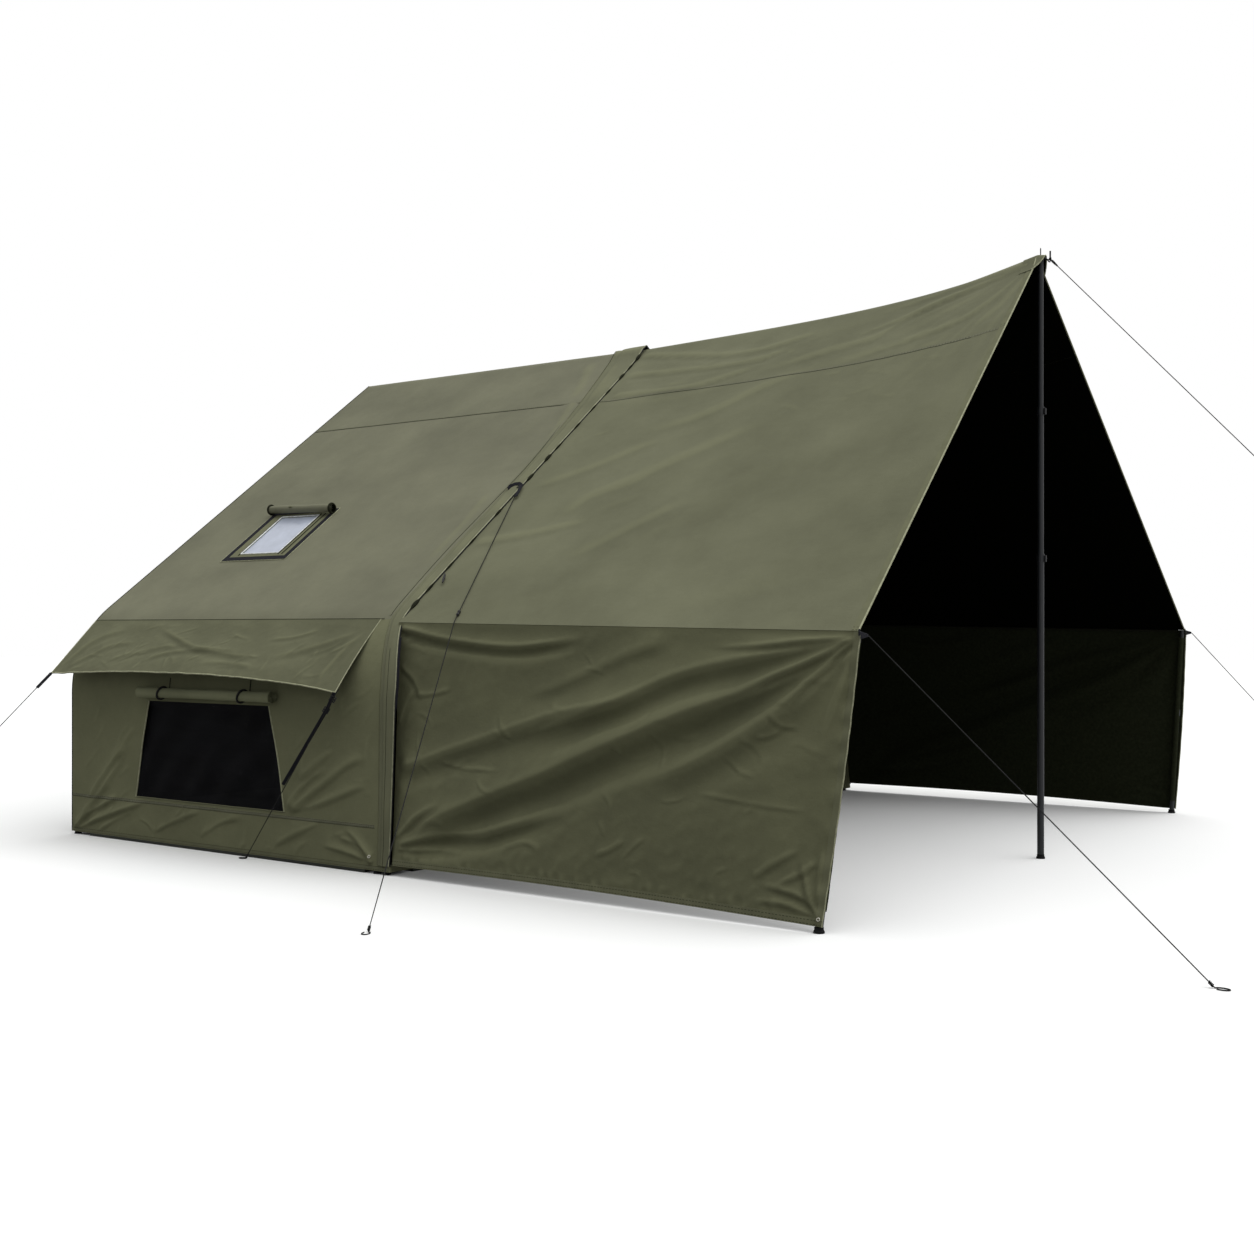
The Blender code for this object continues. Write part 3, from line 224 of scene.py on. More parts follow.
@dataclass(frozen=True)
class CanvasFinish(Finish):
    """Proofed cotton canvas, plain woven: a dull cloth whose crests are painted paler as a highlight and whose dye lies
    unevenly.
    """

    roughness: float = 0.88
    # The colour that the crests are painted towards: a painted highlight
    pale: str = "#868769"
    weave: float = 0.003
    crumple: float = 0.0035

    def dress(self, tree: Tree, shader: bpy.types.Node) -> None:
        """Uneven dye, painted highlights on the crests, small crumples and the weave.

        Args:
            tree: The material's node tree.
            shader: Its Principled shader.
        """
        place = add_node(tree, "TexCoord").outputs["Object"]
        cloth = add_node(tree, "UVMap", {"uv_map": UV_NAME}).outputs[0]
        rub = add_node(tree, "Attribute", {"attribute_name": CREST_HIGHLIGHT_NAME}).outputs["Fac"]
        # Dye patches a hand or two across, then slubs: threads of uneven thickness, 3 mm by 60 mm as drawn
        dye = blend_colours(tree, grain(tree, place, (1, 1, 1), 2.2, 5.0), self.lighter(0.93), self.lighter(1.06))
        slub_along = grain(tree, cloth, (1, 18, 1), 18.0, 2.0)
        slub_across = grain(tree, cloth, (18, 1, 1), 18.0, 2.0)
        slubs = add_node(tree, "Math", {"operation": "MAXIMUM"}, {0: slub_along, 1: slub_across})
        streaked = add_node(tree, "Mix", {"data_type": "RGBA", "blend_type": "MULTIPLY"},
                            {0: 0.35, 6: dye, 7: blend_colours(tree, slubs.outputs[0], "#e2e2dc", "#ffffff")})
        # Crests that stand proud are mixed towards the pale colour: a painted highlight
        crest_lit = blend_colours(tree, rub, streaked.outputs[2], self.pale, (0.0, 3.0))
        tree.links.new(crest_lit, shader.inputs["Base Color"])
        # Crumples from handling, 30 to 120 mm apart, sharpened so that they read as creases
        soft = grain(tree, place, (1, 1, 1), 7.0, 4.0)
        crumple = add_node(tree, "Math", {"operation": "ABSOLUTE"},
                           {0: add_node(tree, "Math", {"operation": "SUBTRACT"}, {0: soft, 1: 0.5}).outputs[0]})
        creased = add_node(tree, "Bump",
                           inputs={"Height": crumple.outputs[0], "Distance": self.crumple * 4, "Strength": 0.55})
        # The threads: real ones are 0.5 mm apart, drawn at 3 mm so that a close view shows a weave
        across, along = (add_node(tree, "TexWave", {"bands_direction": axis},
                                  {"Vector": cloth, "Scale": 0.314 / self.weave, "Distortion": 0.6, "Detail": 1.0})
                         for axis in ("X", "Y"))
        threads = add_node(tree, "Math", {"operation": "MULTIPLY"}, {0: across.outputs[1], 1: along.outputs[1]})
        woven = add_node(tree, "Bump", inputs={"Height": threads.outputs[0], "Distance": 0.0004, "Strength": 0.35,
                                       "Normal": creased.outputs[0]})
        tree.links.new(woven.outputs[0], shader.inputs["Normal"])


@dataclass(frozen=True)
class StitchedFinish(Finish):
    """The same canvas folded double in a hem or seam, with rows of lockstitch along it."""

    roughness: float = 0.88
    pale: str = "#8f9072"
    thread: str = "#3b3c2e"
    rows: tuple[float, ...] = (0.005, 0.019)
    pitch: float = 0.014

    def dress(self, tree: Tree, shader: bpy.types.Node) -> None:
        """Stitches from the strip's own map: along it on X, across it on Y, in metres.

        Args:
            tree: The material's node tree.
            shader: Its Principled shader.
        """
        place = add_node(tree, "TexCoord").outputs["Object"]
        cloth = add_node(tree, "UVMap", {"uv_map": UV_NAME}).outputs[0]
        parts = add_node(tree, "SeparateXYZ", inputs={0: cloth})
        # Stitches are really 3 mm long: they are drawn 9 mm long and 2 mm wide, or they would vanish
        turn = add_node(tree, "Math", {"operation": "MULTIPLY"},
                        {0: parts.outputs[0], 1: 2 * math.pi / self.pitch})
        wave = add_node(tree, "Math", {"operation": "SINE"}, {0: turn.outputs[0]})
        dash = add_node(tree, "Math", {"operation": "GREATER_THAN"}, {0: wave.outputs[0], 1: -0.35})
        mask = None
        for row in self.rows:
            near = add_node(tree, "Math", {"operation": "COMPARE"}, {0: parts.outputs[1], 1: row, 2: 0.0011})
            mask = near.outputs[0] if mask is None else add_node(
                tree, "Math", {"operation": "MAXIMUM"}, {0: mask, 1: near.outputs[0]}).outputs[0]
        stitch = add_node(tree, "Math", {"operation": "MULTIPLY"}, {0: mask, 1: dash.outputs[0]})
        dye = blend_colours(tree, grain(tree, place, (1, 1, 1), 14.0), self.colour, self.pale)
        sewn_dye = blend_colours(tree, stitch.outputs[0], dye, self.thread, (0.0, 1.0))
        tree.links.new(sewn_dye, shader.inputs["Base Color"])
        pucker = grain(tree, cloth, (1, 0.25, 1), 70.0, 2.0)
        pulled = add_node(tree, "Bump", inputs={"Height": pucker, "Distance": 0.002, "Strength": 0.6})
        sunk = add_node(tree, "Math", {"operation": "SUBTRACT"}, {0: 1.0, 1: stitch.outputs[0]})
        sewn = add_node(tree, "Bump", inputs={"Height": sunk.outputs[0], "Distance": 0.0006, "Strength": 0.7,
                                      "Normal": pulled.outputs[0]})
        tree.links.new(sewn.outputs[0], shader.inputs["Normal"])


@dataclass(frozen=True)
class WovenFinish(Finish):
    """Polyester webbing or braid: ribbed across its length, dull, a little paler where it is rubbed."""

    rib: float = 0.003

    def dress(self, tree: Tree, shader: bpy.types.Node) -> None:
        """Ribs on Object coordinates, so that curves and meshes take it alike.

        Args:
            tree: The material's node tree.
            shader: Its Principled shader.
        """
        place = add_node(tree, "TexCoord").outputs["Object"]
        fuzz = grain(tree, place, (1, 1, 1), 240.0)
        tree.links.new(blend_colours(tree, fuzz, self.colour, self.lighter(1.5)), shader.inputs["Base Color"])
        ribs = add_node(tree, "TexWave", {"bands_direction": "DIAGONAL"},
                        {"Vector": place, "Scale": 0.314 / self.rib, "Distortion": 1.0})
        relief = add_node(tree, "Bump", inputs={"Height": ribs.outputs[1], "Distance": 0.0005, "Strength": 0.6})
        tree.links.new(relief.outputs[0], shader.inputs["Normal"])


@dataclass(frozen=True)
class NetFinish(Finish):
    """Knitted polyester insect net: black, with holes that let a little through."""

    hole: float = 0.0035

    def dress(self, tree: Tree, shader: bpy.types.Node) -> None:
        """Holes as alpha, from the piece's own map. Real holes are 1.2 mm, drawn at 3.5 mm.

        Args:
            tree: The material's node tree.
            shader: Its Principled shader.
        """
        cloth = add_node(tree, "UVMap", {"uv_map": UV_NAME}).outputs[0]
        waves = [add_node(tree, "TexWave", {"bands_direction": axis},
                          {"Vector": cloth, "Scale": 0.314 / self.hole}).outputs[1] for axis in ("X", "Y")]
        hole = add_node(tree, "Math", {"operation": "MULTIPLY"}, {0: waves[0], 1: waves[1]})
        open_share = add_node(tree, "MapRange", inputs={0: hole.outputs[0], 1: 0.55, 2: 0.75, 3: 1.0, 4: 0.35})
        tree.links.new(open_share.outputs[0], shader.inputs["Alpha"])
        # Slow paler streaks on the black net: painted light on its folds
        folds = grain(tree, cloth, (1.0, 2.6, 1), 3.0, 2.0)
        tree.links.new(blend_colours(tree, folds, self.colour, self.lighter(2.0)), shader.inputs["Base Color"])
        relief = add_node(tree, "Bump", inputs={"Height": hole.outputs[0], "Distance": 0.0004, "Strength": 0.4})
        tree.links.new(relief.outputs[0], shader.inputs["Normal"])


@dataclass(frozen=True)
class PaneFinish(Finish):
    """Clear flexible vinyl, its pale milky-blue base colour a painted reflection of the bright surroundings: glossy,
    faintly rippled.
    """

    def dress(self, tree: Tree, shader: bpy.types.Node) -> None:
        """Cloudy patches and slow ripples.

        Args:
            tree: The material's node tree.
            shader: Its Principled shader.
        """
        place = add_node(tree, "TexCoord").outputs["Object"]
        cloud = grain(tree, place, (1, 1, 1), 6.0)
        tree.links.new(blend_colours(tree, cloud, self.colour, self.lighter(1.12)), shader.inputs["Base Color"])
        slow = grain(tree, place, (1, 1, 1), 14.0, 1.0)
        relief = add_node(tree, "Bump", inputs={"Height": slow, "Distance": 0.004, "Strength": 0.5})
        tree.links.new(relief.outputs[0], shader.inputs["Normal"])
        shader.inputs["Coat Weight"].default_value = 0.3
        shader.inputs["Coat Roughness"].default_value = 0.12


@dataclass(frozen=True)
class PaintedSteelFinish(Finish):
    """Powder-coated steel tube: satin black with a fine orange peel, scuffed to grey in places."""

    scuff: str = "#4a4c50"

    def dress(self, tree: Tree, shader: bpy.types.Node) -> None:
        """Orange peel as bump, scuffs as streaks along the tube.

        Args:
            tree: The material's node tree.
            shader: Its Principled shader.
        """
        place = add_node(tree, "TexCoord").outputs["Object"]
        streaks = grain(tree, place, (14, 14, 1), 9.0, 4.0)
        tree.links.new(blend_colours(tree, streaks, self.colour, self.scuff, (0.62, 0.9)), shader.inputs["Base Color"])
        # Orange peel is really 0.5 mm across, drawn at 2 mm
        peel = grain(tree, place, (1, 1, 1), 500.0)
        relief = add_node(tree, "Bump", inputs={"Height": peel, "Distance": 0.0003, "Strength": 0.5})
        tree.links.new(relief.outputs[0], shader.inputs["Normal"])


# One canvas drawn in copies whose brightness differs part by part as painted light and shade: the canopy, flap and wall
# copies are darker as painted shade, the side walls' copy is as light as the roof's, and the rolls' copy is lighter as
# painted light
CANVAS = CanvasFinish("proofed_cotton_canvas", "#7a7a66", Slot.ROOF, crumple=0.0014)
CANOPY_CANVAS_PAINTED_SHADE = CanvasFinish("proofed_cotton_canvas_canopy_painted_shade", "#72735d", Slot.ROOF, crumple=0.0016)
FLAP_CANVAS_PAINTED_SHADE = CanvasFinish("proofed_cotton_canvas_flap_painted_shade", "#696a54", Slot.ROOF, crumple=0.0020)
SIDE_CANVAS = CanvasFinish("proofed_cotton_canvas_side", "#7c7d61", Slot.WALL, crumple=0.0022)
ROLL_CANVAS_PAINTED_LIGHT = CanvasFinish("proofed_cotton_canvas_roll_painted_light", "#888a6d", Slot.WALL, crumple=0.0016)
WALL_CANVAS_PAINTED_SHADE = CanvasFinish("proofed_cotton_canvas_wall_painted_shade", "#6e6f56", Slot.WALL, crumple=0.0022)
# The blackout proofing on the inside of the canvas lets no light through: nearly black and dead matt, and this copy is
# darkened further as painted shade for the inner faces that lie in shadow
BLACKOUT_LINING_PAINTED_SHADE = Finish("blackout_proofing", "#0a0b07", Slot.WALL, 0.95, 0.0)
# A lighter olive copy of the same proofing: painted light on the inner faces that daylight reaches
WALL_LINING_PAINTED_LIGHT = Finish("blackout_proofing_painted_light", "#2a2d20", Slot.WALL, 0.9, 0.02)
HEM = StitchedFinish("stitched_canvas_hem", "#6d6e57", Slot.WALL, pale="#76775d")
SEAM = StitchedFinish("stitched_canvas_seam", "#72735f", Slot.ROOF, pale="#7a7a66", rows=(0.003, 0.010))
# Bias binding folded over an edge: the same cotton, drawn paler as a painted highlight along the edge
BINDING_PAINTED_HIGHLIGHT = Finish("cotton_bias_binding_painted_highlight", "#8f9077", Slot.ROOF)
# The pane's heat-sealed edge: vinyl over white cloth, the palest line on the tent
RIM = Finish("white_vinyl_edge", "#c9cbc9", Slot.ROOF, 0.5, 0.2)
# Black tape and thread for the zips and tie straps; the same black draws the painted shadow lines where two edges meet
# and in the gaps between them
BLACK_TAPE_AND_SHADOW_LINE = Finish("black_tape_and_painted_shadow_line", "#23241b", Slot.WEBBING, 0.9, 0.05)
NET = NetFinish("polyester_insect_net", "#0a0a0b", Slot.NET, 0.8, 0.04)
# The pane's pale base colour is a painted reflection
PANE_PAINTED_REFLECTION = PaneFinish("clear_vinyl_pane_painted_reflection", "#a9b0bf", Slot.CLEAR_FILM, 0.25, 0.3)
WEBBING = WovenFinish("polyester_webbing", "#17171b", Slot.WEBBING)
TAB_WEBBING = WovenFinish("washed_polyester_webbing", "#2e2e32", Slot.WEBBING)
CORD = WovenFinish("braided_polyester_cord", "#262626", Slot.ROPE, 0.9, 0.04, rib=0.002)
STEEL = PaintedSteelFinish("powder_coated_steel", "#17191c", Slot.STEEL, 0.45, 0.30)
# Moulded natural rubber: matt black with a greyish bloom
RUBBER = Finish("moulded_rubber", "#0f0f10", Slot.RUBBER, 0.85, 0.15)
# Injection-moulded nylon: black, half matt
NYLON = Finish("moulded_nylon", "#141415", Slot.PLASTIC, 0.55, 0.2)
# Nickel-plated brass: bright and slightly yellow
EYELET = Finish("nickel_plated_brass", "#9d9b92", Slot.STEEL, 0.35, 0.5, 1.0)
# Blown film of soft polyurethane: milky and slightly shiny
AIR_FILM = Finish("polyurethane_film", "#c3c4c2", Slot.AIR_FILM, 0.4, 0.4)
SLEEVE = WovenFinish("woven_polyester_sleeve", "#22231c", Slot.WALL, rib=0.004)
# Coated polyester tarpaulin with a dull sheen
TARPAULIN = WovenFinish("coated_tarpaulin", "#2c2e29", Slot.FLOOR, 0.6, 0.25, rib=0.005)


# Shapes of cloth


@dataclass(frozen=True)
class Fold:
    """A crest in the cloth along a few points, steeper on one side than on the other."""

    points: tuple[tuple[float, float], ...]
    height: float
    above: float = 0.06
    below: float = 0.035
    trough: float = 0.6
    start: float = 0.25
    end: float = 0.25
    fan: float = 1.0
    sharp: float = 2.0

    def line(self, steps: int = 28) -> Array:
        """The fold's points on a smooth curve.

        Args:
            steps: How many spans the curve has.

        Returns:
            An array of points.
        """
        known = np.array(self.points, dtype=float)
        ends = np.vstack([2 * known[0] - known[1], known, 2 * known[-1] - known[-2]])
        made = []
        for share in np.linspace(0, len(known) - 1 - 1e-9, steps + 1):
            place = int(share)
            part = share - place
            first, second, third, fourth = ends[place:place + 4]
            made.append(0.5 * (2 * second + (third - first) * part
                               + (2 * first - 5 * second + 4 * third - fourth) * part ** 2
                               + (3 * second - first - 3 * third + fourth) * part ** 3))
        return np.array(made)

    def rise(self, across: Array, up: Array) -> Array:
        """How far the fold lifts the cloth.

        Args:
            across: Places along the cloth, in metres.
            up: Places up the cloth, in metres.

        Returns:
            Heights, in metres.
        """
        line = self.line()
        reach = 3.2 * max(self.above, self.below)
        inside = ((across > line[:, 0].min() - reach) & (across < line[:, 0].max() + reach)
                  & (up > line[:, 1].min() - reach) & (up < line[:, 1].max() + reach))
        lifted = np.zeros(np.shape(across))
        if inside.any():
            lifted[inside] = self.rise_near(line, across[inside], up[inside])
        return lifted

    def rise_near(self, line: Array, across: Array, up: Array) -> Array:
        """How far the fold lifts the cloth at points near it.

        Args:
            line: The fold's curve.
            across: Places along the cloth, in metres.
            up: Places up the cloth, in metres.

        Returns:
            Heights, in metres.
        """
        chord = line[-1] - line[0]
        upward = np.array([-chord[1], chord[0]])
        if upward[1] < 0:
            upward = -upward
        nearest = np.full(across.shape, 1e9)
        signed = np.zeros(across.shape)
        reached = np.zeros(across.shape)
        for number, (first, second) in enumerate(zip(line, line[1:])):
            run = second - first
            length = max(1e-9, float(run @ run))
            part = np.clip(((across - first[0]) * run[0] + (up - first[1]) * run[1]) / length, 0, 1)
            gap_a = across - first[0] - part * run[0]
            gap_b = up - first[1] - part * run[1]
            gap = np.hypot(gap_a, gap_b)
            closer = gap < nearest
            side = np.sign(gap_a * upward[0] + gap_b * upward[1])
            nearest = np.where(closer, gap, nearest)
            signed = np.where(closer, gap * side, signed)
            reached = np.where(closer, (number + part) / (len(line) - 1), reached)
        ends = smooth(reached / max(self.start, 1e-6)) * smooth((1 - reached) / max(self.end, 1e-6))
        spread = self.fan + (1 - self.fan) * smooth(reached / 0.35)
        width = np.where(signed > 0, self.above, self.below) * spread
        crest = np.exp(-(np.abs(signed) / width) ** self.sharp)
        trough = np.exp(-((signed + 1.7 * self.below * spread) / (self.below * spread)) ** 2)
        return self.height * spread * ends * (crest - self.trough * trough)


def creases(seed: int, count: int, low: tuple[float, float], high: tuple[float, float], heading: float,
            spread: float = 0.5, length: float = 0.12, height: float = 0.0022) -> tuple[Fold, ...]:
    """Short sharp creases such as packing leaves, scattered over a piece.

    Args:
        seed: The seed.
        count: How many there are.
        low: The lower corner of the region, in the piece's own metres.
        high: Its upper corner.
        heading: Their mean direction, in radians from along.
        spread: How far they turn from it.
        length: Their mean length.
        height: Their mean height.

    Returns:
        The creases.
    """
    rng = np.random.default_rng(seed)
    made = []
    for _ in range(count):
        middle = np.array([rng.uniform(low[0], high[0]), rng.uniform(low[1], high[1])])
        turn = heading + rng.normal(0, spread)
        half = length * rng.uniform(0.5, 1.5) / 2
        run = np.array([math.cos(turn), math.sin(turn)])
        bow = np.array([-run[1], run[0]]) * half * rng.uniform(-0.25, 0.25)
        points = tuple(tuple(float(value) for value in middle + step * run * half + (1 - step * step) * bow)
                       for step in (-1, 0, 1))
        wide = rng.uniform(0.010, 0.016)
        made.append(Fold(points, height * rng.uniform(0.5, 1.3), wide, wide * 0.7, sharp=1.5, start=0.4, end=0.4))
    return tuple(made)


def smooth(share: Array) -> Array:
    """Ease from 0 to 1 with a flat start and end."""
    part = np.clip(share, 0, 1)
    return part * part * (3 - 2 * part)


def ripple(across: Array, up: Array, seed: int, length: float, turn: float = 0.0, spread: float = math.pi,
           count: int = 9) -> Array:
    """Uneven waves from a few seeded sines that bend each other.

    Args:
        across: Places along the cloth, in metres.
        up: Places up the cloth, in metres.
        seed: The seed.
        length: The mean wave length, in metres.
        turn: The direction that the waves run in, in radians from along.
        spread: How far their directions differ from it.
        count: How many sines are added.

    Returns:
        Values of about -1 to 1.
    """
    rng = np.random.default_rng(seed)
    total = np.zeros(across.shape)
    bend = np.zeros(across.shape)
    for _ in range(count):
        heading = turn + rng.uniform(-0.5, 0.5) * spread
        rate = 2 * math.pi / (length * rng.uniform(0.6, 1.7))
        phase = rng.uniform(0, 2 * math.pi)
        total += np.sin(rate * (across * math.cos(heading) + up * math.sin(heading)) + phase + 1.3 * bend)
        bend = 0.6 * bend + 0.4 * np.sin(rate * 0.5 * (across * math.sin(heading) - up * math.cos(heading)) + phase)
    return total / math.sqrt(count)


@dataclass
class Surface:
    """A sewn surface with two measures along it, and folds that stand out from it."""

    folds: Sequence[Fold] = ()
    mirrored: bool = False

    def base(self, a: Array, b: Array) -> Array:
        """The smooth surface's points, with the near side's signs."""
        raise NotImplementedError

    def relief(self, a: Array, b: Array) -> Array:
        """How far the cloth stands out from the smooth surface.

        Args:
            a: The first measure.
            b: The second measure.

        Returns:
            Heights, in metres.
        """
        total = np.zeros(np.shape(a))
        for fold in self.folds:
            total = total + fold.rise(a, b)
        return total

    def points(self, a: Array, b: Array, lift: float = 0.0) -> Array:
        """The cloth's points, at a lift above its outer face.

        Args:
            a: The first measure.
            b: The second measure.
            lift: Metres outwards.

        Returns:
            An array with x, y and z last.
        """
        step = 0.0008
        along = self.base(a + step, b) - self.base(a - step, b)
        rising = self.base(a, b + step) - self.base(a, b - step)
        normal = np.cross(along, rising)
        normal /= np.maximum(np.linalg.norm(normal, axis=-1, keepdims=True), 1e-12)
        made = self.base(a, b) + normal * (self.relief(a, b) + lift)[..., None]
        if self.mirrored:
            made[..., 1] *= -1
        return made


def bands(marks: Sequence[float], counts: Sequence[int]) -> Array:
    """Even steps between marks.

    Args:
        marks: Values that the steps meet.
        counts: How many steps lie between each two marks.

    Returns:
        All the values, in order.
    """
    made = [marks[0]]
    for low, high, count in zip(marks, marks[1:], counts):
        made.extend(low + (high - low) * step / count for step in range(1, count + 1))
    return np.array(made)


def dress_object(name: str, mesh: bpy.types.ID, finishes: Sequence[Finish],
                 body: Body = Body.TENT) -> Piece:
    """Link a finished mesh as a piece of the tent.

    Args:
        name: The piece's name.
        mesh: Its mesh, in place.
        finishes: Its finishes, one for each material slot.
        body: The body that it rides on.

    Returns:
        The piece's object.
    """
    item = bpy.data.objects.new(name, mesh)
    bpy.context.scene.collection.objects.link(item)
    for finish in finishes:
        mesh.materials.append(finish.material())
    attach(item, body.value)
    LOG.info("piece %s", name)
    return item


def mesh_from(name: str, shape: bmesh.types.BMesh, smoothed: bool = True) -> bpy.types.Mesh:
    """Turn a bmesh into a mesh and free it.

    Args:
        name: The mesh's name.
        shape: The bmesh, which is used up.
        smoothed: Whether its faces are shaded smooth.

    Returns:
        The mesh.
    """
    mesh = bpy.data.meshes.new(name)
    shape.to_mesh(mesh)
    shape.free()
    mesh.polygons.foreach_set("use_smooth", [smoothed] * len(mesh.polygons))
    return mesh


def crest_share(relief: Array) -> Array:
    """Where a cloth stands proud of its surroundings, from 0 to 1, which is where it is painted paler as a highlight.
    """
    mean = relief.copy()
    for axis in (0, 1):
        padded = np.pad(mean, [(4, 4) if side == axis else (0, 0) for side in (0, 1)], mode="edge")
        mean = sum(np.take(padded, range(shift, shift + mean.shape[axis]), axis=axis) for shift in range(9)) / 9
    return np.clip((relief - mean) / 0.0015, 0, 1)


def lay_cloth(name: str, surface: Surface, a: Array, b: Array, finishes: Sequence[Finish], node: str = "",
              thickness: float = FABRIC, lift: float = 0.0, hole: Optional[Array] = None,
              dark_rim: bool = False) -> Piece:
    """Lay a woven grid on a surface, and give it its thickness.

    Args:
        name: The piece's name.
        surface: The surface it lies on.
        a: The first measure of each column, or of each vertex in rows and columns.
        b: The second measure of each row.
        finishes: The outer finish, and the inner one if it differs.
        node: The node it replaces, if any.
        thickness: The cloth's thickness, which goes inwards.
        lift: How far its outer face lies above the surface.
        hole: True for each cell that is cut out.
        dark_rim: Whether its cut edge shows the inner finish.

    Returns:
        The cloth's object.
    """
    a, b = (np.array(measure) for measure in np.broadcast_arrays(a, b[:, None]))
    rows, columns = a.shape[0] - 1, a.shape[1] - 1
    shape = bmesh.new()
    bmesh.ops.create_grid(shape, x_segments=columns, y_segments=rows, size=0.5)
    if hole is not None:
        doomed = []
        for face in shape.faces:
            middle = face.calc_center_median()
            if hole[int((middle.y + 0.5) * rows), int((middle.x + 0.5) * columns)]:
                doomed.append(face)
        bmesh.ops.delete(shape, geom=doomed, context="FACES")
    if surface.mirrored:
        bmesh.ops.reverse_faces(shape, faces=shape.faces)
    mesh = mesh_from(name, shape)
    flat = np.empty(len(mesh.vertices) * 3)
    mesh.vertices.foreach_get("co", flat)
    flat = flat.reshape(-1, 3)
    column = np.rint((flat[:, 0] + 0.5) * columns).astype(int)
    row = np.rint((flat[:, 1] + 0.5) * rows).astype(int)
    made = surface.points(a, b, lift)
    mesh.vertices.foreach_set("co", made[row, column].ravel())
    run = np.linalg.norm(np.diff(made, axis=1), axis=-1).mean(axis=0)
    climb = np.linalg.norm(np.diff(made, axis=0), axis=-1).mean(axis=1)
    along = np.concatenate([[0.0], np.cumsum(run)])
    upward = np.concatenate([[0.0], np.cumsum(climb)])
    corners = np.empty(len(mesh.loops), dtype=np.int32)
    mesh.loops.foreach_get("vertex_index", corners)
    layer = mesh.uv_layers.new(name=UV_NAME)
    layer.data.foreach_set("uv", np.stack([along[column[corners]], upward[row[corners]]], axis=-1).ravel())
    # Where the crests stand proud, for their painted highlight
    rub = mesh.attributes.new(CREST_HIGHLIGHT_NAME, "FLOAT", "POINT")
    rub.data.foreach_set("value", crest_share(surface.relief(a, b))[row, column])
    used = np.zeros(len(mesh.edges), dtype=int)
    edge_of = np.empty(len(mesh.loops), dtype=np.int32)
    mesh.loops.foreach_get("edge_index", edge_of)
    np.add.at(used, edge_of, 1)
    sharp = mesh.attributes.new("sharp_edge", "BOOLEAN", "EDGE")
    sharp.data.foreach_set("value", used == 1)
    mesh.update()
    item = dress_object(name, mesh, finishes)
    if node:
        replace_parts(item, node)
    if thickness:
        solid = item.modifiers.new("Thickness", "SOLIDIFY")
        solid.thickness = thickness
        solid.offset = -1.0
        if len(finishes) > 1:
            solid.material_offset = 1
            solid.material_offset_rim = int(dark_rim)
    item["flat_width"] = float(np.linalg.norm(np.diff(made, axis=1), axis=-1).sum(axis=1).max())
    item["flat_length"] = float(np.linalg.norm(np.diff(made, axis=0), axis=-1).sum(axis=0).max())
    item["flat_area"] = float(sum(polygon.area for polygon in mesh.polygons))
    return item


def declare_sheet(item: Piece,
                  with_pieces: Sequence[Piece] = ()) -> None:
    """Remove the sizes that were stored on a cloth when it was laid.

    Args:
        item: The cloth.
        with_pieces: The separate pieces on it; not used.
    """
    for key in ("flat_width", "flat_length", "flat_area"):
        del item[key]


def rails(path: Array) -> tuple[Array, Array]:
    """Two directions across a path that turn as little as they can along it.

    Args:
        path: The path's points.

    Returns:
        Two arrays of unit directions.
    """
    ahead = np.gradient(path, axis=0)
    ahead /= np.linalg.norm(ahead, axis=1, keepdims=True)
    side = np.cross(ahead[0], (0, 0, 1) if abs(ahead[0][2]) < 0.9 else (1, 0, 0))
    sides = []
    for direction in ahead:
        side = side - direction * (side @ direction)
        side = side / np.linalg.norm(side)
        sides.append(side)
    sides = np.array(sides)
    return sides, np.cross(ahead, sides)


def tube(name: str, path: Sequence[Point], radius: Any, finish: Finish, sides: int = 8) -> Piece:
    """A closed tube along a path.

    Args:
        name: The piece's name.
        path: The path's points.
        radius: One radius, or one for each point.
        finish: Its finish.
        sides: How many sides it has round.

    Returns:
        The tube's object.
    """
    path = np.asarray(path, dtype=float)
    first, second = rails(path)
    radii = np.broadcast_to(np.asarray(radius, dtype=float), (len(path),))
    shape = bmesh.new()
    bmesh.ops.create_grid(shape, x_segments=sides, y_segments=len(path) - 1, size=0.5)
    for vert in shape.verts:
        turn = 2 * math.pi * (vert.co.x + 0.5)
        place = round((vert.co.y + 0.5) * (len(path) - 1))
        vert.co = path[place] + radii[place] * (first[place] * math.cos(turn) + second[place] * math.sin(turn))
    bmesh.ops.remove_doubles(shape, verts=shape.verts, dist=float(radii.min()) * 0.05)
    rims = [edge for edge in shape.edges if edge.is_boundary]
    bmesh.ops.holes_fill(shape, edges=rims, sides=0)
    bmesh.ops.recalc_face_normals(shape, faces=shape.faces)
    caps = [edge for face in shape.faces if len(face.verts) > 4 for edge in face.edges]
    for edge in caps:
        edge.smooth = False
    return dress_object(name, mesh_from(name, shape), [finish])


def line_on(name: str, surface: Surface, a: Any, b: Any, lift: float, radius: float, finish: Finish = BLACK_TAPE_AND_SHADOW_LINE,
            sides: int = 8) -> Piece:
    """A tube that follows a line on a surface.

    Args:
        name: The piece's name.
        surface: The surface.
        a: The line's first measures, or the one that they all have.
        b: Its second measures, or the one that they all have.
        lift: Metres outwards.
        radius: The tube's radius.
        finish: Its finish.
        sides: How many sides it has round.

    Returns:
        The tube's object.
    """
    a, b = (np.array(measure, dtype=float) for measure in np.broadcast_arrays(a, b))
    return tube(name, surface.points(a, b, lift), radius, finish, sides)


